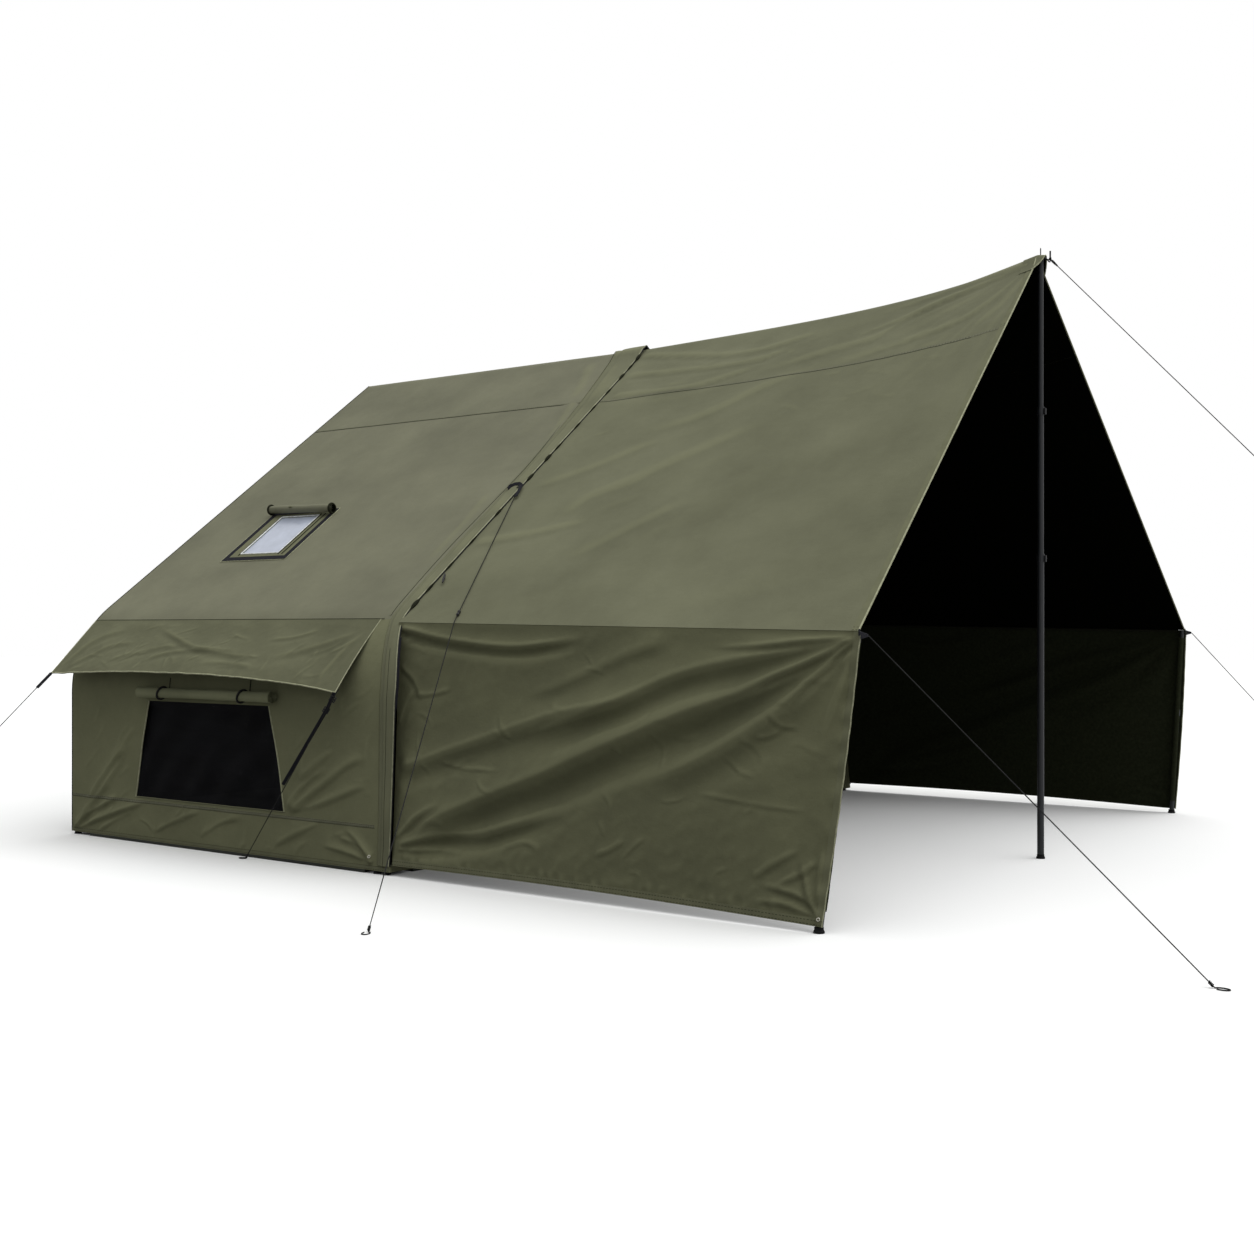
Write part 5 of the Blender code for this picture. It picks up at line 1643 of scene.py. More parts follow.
@dataclass
class GuyLines:
    """The six guy lines, the strap at the peak, the tabs at the canopy's corners and the flap's adjusters."""

    peak: Point = (2.1848, 0.0, 2.7331)
    joint: Point = (-0.0281, -1.1245, 1.7345)
    joint_bend: float = 0.148
    flap_front: Point = (-0.1129, -2.2204, 0.7944)
    flap_rear: Point = (-2.196, -2.2205, 0.8324)
    ground: float = 0.0025

    def build(self) -> None:
        """Lay every rope and make what it is fastened with."""
        bend = CANOPY.eave(self.joint_bend) + np.array([0, -0.0035, 0.0075])
        for name, start, peg, turn in (
                ("peak", self.peak, (4.745, 0.0), None),
                ("corner_near", (2.2646, -1.9852, 1.0276), (3.494, -2.121), None),
                ("corner_far", (2.2648, 1.9853, 1.0269), (3.195, 2.12), None),
                ("junction", self.joint, (0.875, -3.033), tuple(bend)),
                ("flap_rear", self.flap_rear, (-2.275, -3.12), None),
                ("flap_front", self.flap_front, (-0.845, -2.14), tuple(self.flap_bend()))):
            GuyLine("guy_" + name, start, (*peg, 0.0), turn).build()
        self.peak_strap()
        self.corner_tabs()
        self.flap_adjusters()
        self.joint_hook()

    def flap_bend(self) -> Vector:
        """Where the front flap's rope bends over the flap's edge."""
        return Vector(self.flap_front) + Vector((0, -0.262, -0.300)).normalized() * 0.0115

    def peak_strap(self) -> None:
        """The doubled cord on the first part of the peak's guy line, its strap, and the wrap and cover on its pin."""
        start = Vector(self.peak)
        ahead = (Vector((4.701, 0.0, self.ground)) - start).normalized()
        path = [start + ahead * (0.002 + 0.007 * step) for step in range(7)]
        tube("peak_guy_splice", path, [0.0042, 0.0056, 0.0054, 0.0050, 0.0046, 0.0040, 0.0028], CORD, 10)
        strap("peak_strap", [(2.140, 0.0, 2.7475), (2.152, 0.0, 2.7455), (2.166, 0.0, 2.7405), (2.176, 0.0, 2.7375)],
              (0.0, 1.0, 0.0), 0.016, 0.003)
        turn = np.linspace(0, 6 * math.pi, 60)
        wrap = np.stack([2.180 + 0.0048 * np.cos(turn), 0.0048 * np.sin(turn), 2.7330 + 0.010 * turn / turn[-1]], -1)
        tube("peak_pin_wrap", wrap, 0.0017, CORD, 6)
        cover = [(2.180, 0.0, height) for height in (2.744, 2.752, 2.760, 2.768, 2.775)]
        tube("peak_pin_cover", cover, 0.0036, RUBBER, 10)

    def corner_tabs(self) -> None:
        """Dress both corner tabs with a webbing triangle, stitched on to the canvas behind them."""
        for where, side in (("near", -1), ("far", 1)):
            node = "corner_tab_" + where
            low, high = (Vector(corner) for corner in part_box(node))
            middle, size = (low + high) / 2, high - low
            shape = bmesh.new()
            bmesh.ops.create_cube(shape, size=1.0)
            for vert in shape.verts:
                share = vert.co.x + 0.5
                vert.co = Vector((low.x + size.x * share, middle.y + vert.co.y * 0.0032,
                                  middle.z + vert.co.z * size.z * (1.0 - 0.72 * share)))
            soften(shape, 0.0007)
            item = dress_object(node + "_webbing", mesh_from(node, shape, smoothed=False), [TAB_WEBBING])
            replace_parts(item, node)
            edge = [(2.2275, side * 1.984, 1.052), (2.2335, side * 1.984, 1.030), (2.2330, side * 1.985, 1.008)]
            strap(node + "_edge", edge, (0.2, 1, 0), 0.010, 0.004)

    def flap_adjusters(self) -> None:
        """Webbing with two ladder buckles at the flap's front tip, and a short strap at its rear tip."""
        bend = self.flap_bend()
        ahead = (Vector((-0.845, -2.14, self.ground)) - bend).normalized()
        across = Vector((-0.5, -0.5, 0.41))
        tip = bend + Vector((-0.022, 0.004, -0.004))
        path = [tip + (bend + ahead * 0.10 - tip) * step / 3 for step in range(3)]
        path += [bend + ahead * (0.10 + 0.04 * step) for step in range(13)]
        strap("flap_front_webbing", path, across, 0.0145, 0.0052)
        for name, place in (("a", 0.050), ("b", 0.118)):
            self.buckle("flap_buckle_" + name, bend + ahead * place, ahead, across)
        tip = Vector(self.flap_rear)
        ahead = (Vector((-2.275, -3.09, self.ground)) - tip).normalized()
        strap("flap_rear_webbing", [tip + ahead * (0.004 + 0.013 * step) for step in range(9)], (-0.75, 0.2, 0.6),
              0.018, 0.0056)

    def buckle(self, name: str, centre: Vector, ahead: Vector, across: Vector) -> None:
        """A ladder buckle: a frame with a bar, moulded in one.

        Args:
            name: The piece's name.
            centre: Its middle.
            ahead: The strap's direction.
            across: The strap's width direction.
        """
        side = (across - ahead * across.dot(ahead)).normalized()
        out = side.cross(ahead)
        shape = bmesh.new()
        for place_a, place_b, size_a, size_b in ((0.0, 0.0115, 0.030, 0.004), (0.0, -0.0115, 0.030, 0.004),
                                                 (0.013, 0.0, 0.005, 0.023), (-0.013, 0.0, 0.005, 0.023),
                                                 (0.001, 0.0, 0.006, 0.023)):
            for vert in bmesh.ops.create_cube(shape, size=1.0)["verts"]:
                spot = Vector((place_a + vert.co.x * size_a, place_b + vert.co.y * size_b, 0.0052 + vert.co.z * 0.0045))
                vert.co = centre + ahead * spot.x + side * spot.y - out * spot.z
        soften(shape, 0.0009)
        bmesh.ops.recalc_face_normals(shape, faces=shape.faces)
        dress_object(name, mesh_from(name, shape, smoothed=False), [NYLON])

    def joint_hook(self) -> None:
        """The webbing loop and its wire hook on the cover band, where the joint's guy line starts."""
        spots = CABIN.points(np.array([-0.080, -0.083, -0.066, -0.042, -0.018]),
                             CABIN.length - np.array([1.425, 1.400, 1.380, 1.379, 1.396]), 0.013)
        strap("joint_guy_webbing", spots, (0.1, -0.62, -0.78), 0.020, 0.004)
        path = CABIN.points(np.array([-0.018, -0.004, 0.008, 0.018]),
                            CABIN.length - np.array([1.392, 1.420, 1.462, 1.500]), 0.014)
        strap("joint_guy_tongue", path, (1.0, 0.0, 0.0), 0.018, 0.004)
        turn = np.linspace(-0.3, 1.5 * math.pi, 24)
        x, y, z = self.joint
        hook = np.stack([x - 0.002 + 0.012 * np.cos(turn), np.full(24, y - 0.006),
                         z - 0.012 + 0.012 * np.sin(turn)], -1)
        tube("joint_guy_hook", hook, 0.0026, STEEL)


# Cabin


@dataclass
class CabinShell:
    """The cabin's roof, walls and gables, with their seams, hems and piping."""

    window_x: float = -1.13
    window_bottom: float = 0.225
    window_height: float = 0.475
    window_top_width: float = 0.873
    window_bottom_width: float = 1.081
    door_half: float = 0.575
    door_sill: float = 0.135
    door_top: float = 1.80
    door_round: float = 0.25
    skylight_x: float = -1.445
    skylight_half: float = 0.153
    skylight_drop: float = 1.539
    skylight_length: float = 0.357
    rear_edge: float = -2.198
    seam_gap: float = 0.0005
    near_folds: tuple[Fold, ...] = (
        Fold(((-2.16, 0.04), (-2.05, 0.15), (-1.91, 0.28), (-1.78, 0.41), (-1.68, 0.52)),
             0.012, 0.045, 0.022, sharp=1.4),
        Fold(((-2.07, 0.16), (-1.97, 0.28), (-1.84, 0.40), (-1.72, 0.49)), 0.008, 0.030, 0.016, sharp=1.3),
        Fold(((-1.93, 0.21), (-1.82, 0.31), (-1.70, 0.39)), 0.008, 0.028, 0.016, sharp=1.3),
        Fold(((-1.87, 0.36), (-1.76, 0.49), (-1.66, 0.58)), 0.006, 0.030, 0.020, sharp=1.4),
        Fold(((-2.19, 0.03), (-2.07, 0.11), (-1.91, 0.18), (-1.80, 0.22)), 0.010, 0.024, 0.015, start=0.1, sharp=1.4),
        Fold(((-2.18, 0.02), (-1.99, 0.09), (-1.76, 0.16), (-1.57, 0.21)), 0.011, 0.026, 0.016, start=0.1, sharp=1.4),
        Fold(((-1.99, 0.03), (-1.84, 0.10), (-1.63, 0.17)), 0.008, 0.026, 0.016, sharp=1.4),
        Fold(((-1.57, 0.05), (-1.31, 0.15), (-1.16, 0.19)), 0.007, 0.030, 0.018, sharp=1.4),
        Fold(((-1.21, 0.05), (-1.04, 0.14), (-0.87, 0.19)), 0.007, 0.030, 0.018, sharp=1.4),
        Fold(((-0.70, 0.05), (-0.51, 0.14), (-0.33, 0.20)), 0.007, 0.030, 0.018, sharp=1.4),
        Fold(((-0.57, 0.23), (-0.45, 0.30), (-0.33, 0.37), (-0.18, 0.46), (-0.06, 0.51)),
             0.013, 0.036, 0.020, start=0.1, sharp=1.4),
        Fold(((-0.57, 0.24), (-0.50, 0.32), (-0.41, 0.39), (-0.30, 0.45)), 0.010, 0.024, 0.015, start=0.1, sharp=1.4),
        Fold(((-0.56, 0.23), (-0.39, 0.27), (-0.21, 0.33), (-0.05, 0.39)), 0.011, 0.030, 0.018, start=0.1, sharp=1.4),
        Fold(((-0.51, 0.37), (-0.39, 0.45), (-0.24, 0.54)), 0.009, 0.030, 0.020, sharp=1.5),
        Fold(((-0.04, 0.04), (-0.07, 0.09), (-0.12, 0.14), (-0.21, 0.19)), 0.008, 0.020, 0.014, start=0.05, sharp=1.4),
        Fold(((-0.03, 0.07), (-0.12, 0.12), (-0.27, 0.15)), 0.007, 0.020, 0.014, start=0.05, sharp=1.4),
        Fold(((-0.03, 0.05), (-0.18, 0.08), (-0.36, 0.10)), 0.008, 0.022, 0.014, start=0.05, sharp=1.4),
        *creases(601, 16, (-2.15, 0.05), (-1.72, 0.65), 0.9, 0.4, 0.14, 0.0026),
        *creases(602, 18, (-0.55, 0.05), (-0.05, 0.85), 0.8, 0.5, 0.14, 0.0026),
        *creases(603, 14, (-1.7, 0.03), (-0.6, 0.19), 0.6, 0.5, 0.12, 0.0026),
    )

    def window_edges(self, height: Array) -> tuple[Array, Array]:
        """The x of the window's rear and front edges.

        Args:
            height: Metres up the wall.

        Returns:
            Two arrays.
        """
        share = np.clip((np.asarray(height) - self.window_bottom) / self.window_height, 0, 1)
        half = (self.window_bottom_width + (self.window_top_width - self.window_bottom_width) * share) / 2
        bow = 0.008 * np.sin(math.pi * share) ** 2
        return self.window_x - half - 0.5 * bow, self.window_x + half + bow

    def build(self) -> None:
        """Sew the cabin's panels together."""
        self.side_wall("near")
        self.side_wall("far")
        self.roof_panels()
        self.gable("rear")
        self.gable("front")
        self.seams()

    def side_wall(self, where: str) -> None:
        """A side wall with its window's hole, the binding down its sides drawn pale as a painted highlight, its hem,
        its low seam with its painted shadow line, and its eyelet.

        Args:
            where: Near or far.
        """
        far = where == "far"
        surface = CabinCloth(folds=self.near_folds, mirrored=far, seed=5 if far else 3)
        low, high = self.window_bottom, self.window_bottom + self.window_height
        levels = bands((CABIN.hem, low, high, CABIN.eave - self.seam_gap), (40, 50, 44))
        left, right = self.window_edges(levels)
        a = np.array([bands((CABIN.rear_x, first, last, CABIN.joint_x(top)), (70, 110, 80))
                      for first, last, top in zip(left, right, CABIN.outline(levels)[1])])
        hole = np.zeros((134, 260), dtype=bool)
        hole[40:90, 70:180] = True
        item = lay_cloth(f"cabin_wall_{where}_cloth", surface, a, levels, [SIDE_CANVAS, BLACKOUT_LINING_PAINTED_SHADE], "cabin_wall_" + where,
                         hole=hole)
        up = np.linspace(low, high, 24)
        left, right = self.window_edges(up)
        trims = [line_on(f"window_binding_{where}_{number}", surface, edge, way, 0.0006, 0.0036, BINDING_PAINTED_HIGHLIGHT)
                 for number, (edge, way) in enumerate(((left, up), (right[::-1], up[::-1])))]
        under = np.linspace(right[0], left[0], 36)
        trims.append(line_on(f"window_sill_{where}", surface, under, low, 0.0004, 0.0028, HEM))
        trims.append(lay_cloth(f"cabin_hem_{where}", surface, np.linspace(-2.197, 0.068, 160),
                               np.linspace(CABIN.hem, CABIN.hem + 0.020, 5), [HEM], thickness=0.0012, lift=0.0013))
        trims.append(lay_cloth(f"cabin_low_seam_{where}", surface, np.linspace(-2.195, -0.02, 180),
                               np.linspace(0.197, 0.210, 4), [SEAM], thickness=0.0008, lift=0.0012))
        # A thin dark tube under the low seam: a painted shadow line
        trims.append(line_on(f"cabin_low_line_{where}", surface, np.linspace(-2.195, -0.02, 120), 0.1965, 0.0, 0.0014,
                             sides=6))
        trims.append(eyelet(f"cabin_eyelet_{where}", surface, -0.039, 0.075))
        declare_sheet(item, trims)

    def panel(self, name: str, start: float, stop: float, cells: tuple[int, int], cloth: CabinForm) -> Piece:
        """A plain panel of the roof from one girth to another.

        Args:
            name: The node's name.
            start: Metres round the skin.
            stop: Metres round the skin.
            cells: How many it has up and along.
            cloth: The surface with its folds.

        Returns:
            The panel.
        """
        levels = np.linspace(start, stop, cells[0] + 1)
        span = CABIN.joint_x(CABIN.base(np.zeros(levels.shape), levels)[:, 2]) - CABIN.rear_x
        a = CABIN.rear_x + span[:, None] * np.linspace(0, 1, cells[1] + 1)
        return lay_cloth(name + "_cloth", cloth, a, levels, [CANVAS, BLACKOUT_LINING_PAINTED_SHADE], name)

    def roof_panels(self) -> None:
        """The near, far and top panels of the roof, the near one cut out for the skylight."""
        girth = 2 * CABIN.length
        cloth = CabinCloth(seed=7, slack=0.0016, folds=(
            Fold(((-0.36, 3.30), (-0.27, 3.05), (-0.20, 2.75)), 0.004, 0.05, 0.04),
            Fold(((-0.26, 3.15), (-0.20, 2.9), (-0.16, 2.6)), 0.003, 0.03, 0.02),
            Fold(((-0.22, 2.2), (-0.18, 1.9), (-0.17, 1.5)), 0.003, 0.04, 0.03),
        ))
        top_cloth = CabinCloth(seed=13, slack=0.0015, folds=(
            Fold(((-0.42, 3.52), (-0.33, 3.3), (-0.26, 3.06)), 0.004, 0.04, 0.03),))
        high = CABIN.length - self.skylight_drop
        levels = bands((CABIN.eave, high - self.skylight_length, high, CABIN.top_seam - self.seam_gap), (50, 20, 50))
        rear, front = self.skylight_x - self.skylight_half, self.skylight_x + self.skylight_half
        a = np.array([bands((CABIN.rear_x, rear, front, CABIN.joint_x(top)), (30, 14, 76))
                      for top in CABIN.outline(levels)[1]])
        hole = np.zeros((120, 120), dtype=bool)
        hole[50:70, 30:44] = True
        near = lay_cloth("cabin_roof_near_cloth", cloth, a, levels, [CANVAS, BLACKOUT_LINING_PAINTED_SHADE], "cabin_roof_near", hole=hole)
        declare_sheet(near)
        far = self.panel("cabin_roof_far", girth - CABIN.top_seam + self.seam_gap, girth - CABIN.eave, (90, 90),
                         CabinCloth(seed=9, slack=0.0018))
        declare_sheet(far)
        top = self.panel("cabin_roof_top", CABIN.top_seam, girth - CABIN.top_seam, (40, 110), top_cloth)
        declare_sheet(top)

    def seams(self) -> None:
        """Felled seams over the roof, each a strip with a shadow line, and the dark tape up the rear edge."""
        surface = CabinCloth(seed=7, slack=0.0016)
        half = np.linspace(-0.006, 0.006, 4)
        end = CABIN.joint_x(float(CABIN.outline(CABIN.top_seam)[1])) - 0.118
        for where, sign in (("near", 1), ("far", -1)):
            middle = CABIN.length - sign * CABIN.top_seam_drop
            lay_cloth(f"cabin_roof_seam_{where}", surface, np.linspace(self.rear_edge, end, 120),
                      np.linspace(middle - 0.006, middle + 0.006, 4), [SEAM], thickness=0.0008, lift=0.0010)
            along = np.linspace(self.rear_edge, end, 90)
            line_on(f"cabin_roof_line_{where}", surface, along, middle - sign * 0.0065, 0.0006, 0.0015, sides=6)
            # A thin dark tube along each eave: a painted shadow line where the flap meets the wall
            eave = CABIN.length - sign * (CABIN.length - CABIN.eave - 0.001)
            line_on(f"cabin_eave_line_{where}", CABIN, np.linspace(self.rear_edge, -0.10, 90), eave, 0.0026, 0.0014,
                    sides=6)
            drop = np.linspace(CABIN.top_seam_drop, CABIN.length - CABIN.eave - 0.02, 80)
            back = BandForm().edges(CABIN.outline(CABIN.length - drop)[1])[0] - 0.028 - 0.012 * np.sin(drop * 4)
            girth = CABIN.length - sign * drop
            lay_cloth(f"cabin_edge_seam_{where}", surface, back[:, None] + half, girth, [SEAM], thickness=0.0008,
                      lift=0.0010)
            line_on(f"cabin_edge_line_{where}", surface, back + 0.0065, girth, 0.0006, 0.0012, sides=6)
        girth = bands((CABIN.hem, CABIN.wall, CABIN.wall + CABIN.shoulder, CABIN.length), (11, 13, 15))
        girth = np.concatenate([girth, (2 * CABIN.length - girth)[::-1][1:]])
        line_on("rear_edge_tape", CABIN, CABIN.rear_x, girth, 0.0, 0.0030)

    def gable(self, where: str) -> None:
        """A gable wall, with the doorway in the front one.

        Args:
            where: Rear or front.
        """
        form = GableForm(front=where == "front")
        top = CABIN.ridge_height - 0.0025 / math.cos(CABIN.pitch)
        spring, inset = self.door_top - self.door_round, self.door_half - self.door_round
        levels = bands((CABIN.hem, self.door_sill, spring, self.door_top, top), (5, 50, 16, 30))
        up = np.clip((levels - spring) / self.door_round, 0, 1)
        width = form.half_at(levels)
        door = np.minimum(inset + self.door_round * np.sqrt(np.maximum(0.0, 1 - up ** 2)), width * 0.6)
        a = np.array([bands((-wide, -hole, hole, wide), (34, 34, 34)) for wide, hole in zip(width, door)])
        hole = np.zeros((101, 102), dtype=bool)
        hole[5:71, 34:68] = form.front
        item = lay_cloth(f"cabin_wall_{where}_cloth", form, a, levels, [WALL_CANVAS_PAINTED_SHADE, BLACKOUT_LINING_PAINTED_SHADE], "cabin_wall_" + where,
                         hole=hole)
        trims = []
        if form.front:
            turn = np.linspace(0, math.pi / 2, 12)
            across = np.concatenate([[-self.door_half, -self.door_half], -inset - self.door_round * np.cos(turn)])
            rising = np.concatenate([[self.door_sill, 0.9], spring + self.door_round * np.sin(turn)])
            trims.append(line_on("door_zip_binding", form, np.concatenate([across, -across[::-1]]),
                                 np.concatenate([rising, rising[::-1]]), 0.001, 0.0045, WEBBING))
        declare_sheet(item, trims)


@dataclass
class GableForm(Surface):
    """A gable wall across the cabin. Its first measure is y, its second the height."""

    front: bool = False
    inset: float = 0.0023
    wave: float = 0.004

    def half_at(self, height: Array) -> Array:
        """Half the wall's width.

        Args:
            height: Metres up.

        Returns:
            Half widths, in metres.
        """
        y, z = CABIN.outline(np.linspace(CABIN.hem, CABIN.length, 4000), -self.inset)
        return np.maximum(np.interp(height, z, -y), 0.0005)

    def base(self, a: Array, b: Array) -> Array:
        """The smooth wall, its outer face away from the cabin.

        Args:
            a: Metres across.
            b: Metres up.

        Returns:
            Its points.
        """
        a, b = np.broadcast_arrays(np.asarray(a, dtype=float), np.asarray(b, dtype=float))
        if self.front:
            return np.stack([CABIN.joint_x(b), a, b], axis=-1)
        return np.stack([np.full(b.shape, CABIN.rear_x), -a, b], axis=-1)

    def relief(self, a: Array, b: Array) -> Array:
        """Slack canvas that hangs in slow vertical waves, held at its edges, and only bulges outwards.

        Args:
            a: Metres across.
            b: Metres up.

        Returns:
            Heights, in metres, none below 0: the air beams and the floor's tub lie right behind.
        """
        held = smooth((self.half_at(b) - np.abs(a)) / 0.18) * smooth((b - CABIN.hem) / 0.15)
        waves = ripple(a, b, 71, 0.42, 0.15, 0.5) + 0.5 * ripple(a, b, 72, 0.16, 0.5, 1.4)
        return self.wave * held * (1.2 + np.clip(waves, -1.2, 1.6)) * (0.2 if self.front else 1.0)


@dataclass
class Windows:
    """Both side windows: the net, and the cover rolled up above it with its ties."""

    roll_radius: float = 0.0325
    roll_length: float = 0.993
    roll_rise: float = 0.041
    roll_set_back: float = 0.034
    lap: float = 0.02
    ties: tuple[float, float] = (0.175, 0.785)

    def build(self, shell: CabinShell) -> None:
        """Make both windows.

        Args:
            shell: The walls that the windows are in.
        """
        for where in ("near", "far"):
            self.net(where, shell)
            self.cover(where, shell)

    def net(self, where: str, shell: CabinShell) -> None:
        """The net behind the window's hole, with soft diagonal folds.

        Args:
            where: Near or far.
            shell: The walls.
        """
        low, high = shell.window_bottom - self.lap, shell.window_bottom + shell.window_height + self.lap
        levels = np.linspace(low, high, 40)
        left, right = shell.window_edges(levels)
        a = np.array([np.linspace(first - self.lap, last + self.lap, 70) for first, last in zip(left, right)])
        form = NetForm(mirrored=where == "far")
        item = lay_cloth(f"window_net_{where}", form, a, levels, [NET], "window_mesh_" + where, thickness=0.0,
                         lift=-FABRIC - CLEAR)
        declare_sheet(item)

    def cover(self, where: str, shell: CabinShell) -> None:
        """The rolled cover with a corded tie and a short strap at two places.

        Args:
            where: Near or far.
            shell: The walls.
        """
        side = 1 if where == "far" else -1
        height = shell.window_bottom + shell.window_height + self.roll_rise
        y, z = (float(value) for value in CABIN.outline(height, self.roll_radius + 0.0005))
        y *= -side
        first, last = shell.window_x - self.roll_length / 2 + self.roll_set_back, shell.window_x + self.roll_length / 2
        form = RollForm(start=(first, y, z), finish=(last, y, z), radius=self.roll_radius + 0.001, ties=self.ties,
                        squeeze=0.10, waist=0.13, turns=4.6, seed=61 + side)
        reach = self.roll_radius * 0.92
        ties = []
        for number, share in enumerate(self.ties):
            x = first + (last - first) * share
            ties.append(hoop(f"window_tie_{where}_{number}", (x, y, z), (0, reach, 0), (0.012, 0, reach), 0.0046, CORD))
            top = CABIN.points(np.full(4, x + 0.016), np.linspace(0.815, 0.762, 4), 0.002) * (1, -side, 1)
            ties.append(strap(f"window_tie_strap_{where}_{number}", top, (1, 0, 0), 0.006, 0.002, BLACK_TAPE_AND_SHADOW_LINE))
        make_roll(f"window_cover_{where}", form, "window_cover_roll_" + where, ties)


@dataclass
class NetForm(CabinForm):
    """The cabin's wall as the net behind it follows it, with soft diagonal folds."""

    def relief(self, a: Array, b: Array) -> Array:
        """Diagonal waves that stay behind the wall's inner face.

        Args:
            a: Metres along x.
            b: Metres up.

        Returns:
            Heights, in metres, none above 0.
        """
        held = (smooth((b - 0.22) / 0.06) * smooth((0.71 - b) / 0.06) * smooth((a + 1.66) / 0.08)
                * smooth((-0.61 - a) / 0.08))
        return -0.010 * held * (1.1 + np.clip(ripple(a, b, 81, 0.26, -0.95, 0.35), -1.1, 1.5))


@dataclass
class Flaps:
    """The eave flaps: the near one guyed out over its window, the far one hanging."""

    folds: tuple[Fold, ...] = (
        Fold(((-2.19, 0.03), (-2.14, 0.12), (-2.08, 0.22), (-1.98, 0.28), (-1.81, 0.33)), 0.0055, 0.045, 0.022,
             start=0.1, sharp=1.5),
        Fold(((-2.12, 0.03), (-2.0, 0.12), (-1.86, 0.2), (-1.67, 0.22)), 0.0040, 0.034, 0.018, sharp=1.4),
        Fold(((-1.85, 0.07), (-1.68, 0.13), (-1.47, 0.18), (-1.23, 0.2)), 0.0035, 0.034, 0.018, sharp=1.4),
        Fold(((-1.65, 0.34), (-1.42, 0.25), (-1.21, 0.18), (-0.94, 0.14), (-0.67, 0.13)), 0.0060, 0.040, 0.018,
             sharp=1.4),
        Fold(((-1.55, 0.07), (-1.4, 0.14), (-1.13, 0.17), (-0.86, 0.16)), 0.0045, 0.030, 0.016, sharp=1.4),
        Fold(((-0.69, 0.12), (-0.49, 0.19), (-0.33, 0.25), (-0.15, 0.33)), 0.0050, 0.036, 0.022, sharp=1.6),
        Fold(((-0.76, 0.24), (-0.59, 0.27), (-0.44, 0.32)), 0.0030, 0.018, 0.012, sharp=1.4),
        Fold(((-0.44, 0.16), (-0.32, 0.21), (-0.23, 0.27)), 0.0030, 0.018, 0.012, sharp=1.4),
        Fold(((-0.26, 0.03), (-0.24, 0.13), (-0.2, 0.24), (-0.14, 0.32)), 0.0045, 0.026, 0.018, sharp=1.5),
        Fold(((-1.12, 0.07), (-0.9, 0.09), (-0.65, 0.06)), 0.0030, 0.026, 0.018, sharp=1.5),
        *creases(301, 36, (-2.1, 0.03), (-0.2, 0.35), 0.6, 0.6, 0.13, 0.0015),
    )

    def build(self) -> None:
        """Make both flaps with their hems."""
        form = FlapForm(folds=self.folds)
        rear, front = form.ends()
        near = lay_cloth("eave_flap_near_cloth", form, np.linspace(rear, front, 360), np.linspace(0, 1, 81),
                         [FLAP_CANVAS_PAINTED_SHADE, BLACKOUT_LINING_PAINTED_SHADE], "eave_flap_near")
        edges = [line_on("flap_hem_near", form, np.linspace(rear, front, 160), 0.0, 0.0006 - FABRIC / 2, 0.0038,
                         BINDING_PAINTED_HIGHLIGHT)]
        for where, x in (("rear", rear), ("front", front)):
            edges.append(line_on(f"flap_edge_near_{where}", form, x, np.linspace(0, 1, 30), -FABRIC / 2, 0.0026,
                                 BINDING_PAINTED_HIGHLIGHT))
        declare_sheet(near, edges)
        form = HangingFlapForm(mirrored=True)
        far = lay_cloth("eave_flap_far_cloth", form, np.linspace(rear, front, 110), np.linspace(0, 1, 40),
                        [CANVAS, BLACKOUT_LINING_PAINTED_SHADE], "eave_flap_far")
        edge = line_on("flap_hem_far", form, np.linspace(rear, front, 120), 0.0, -FABRIC / 2, 0.0045, BINDING_PAINTED_HIGHLIGHT)
        declare_sheet(far, [edge])


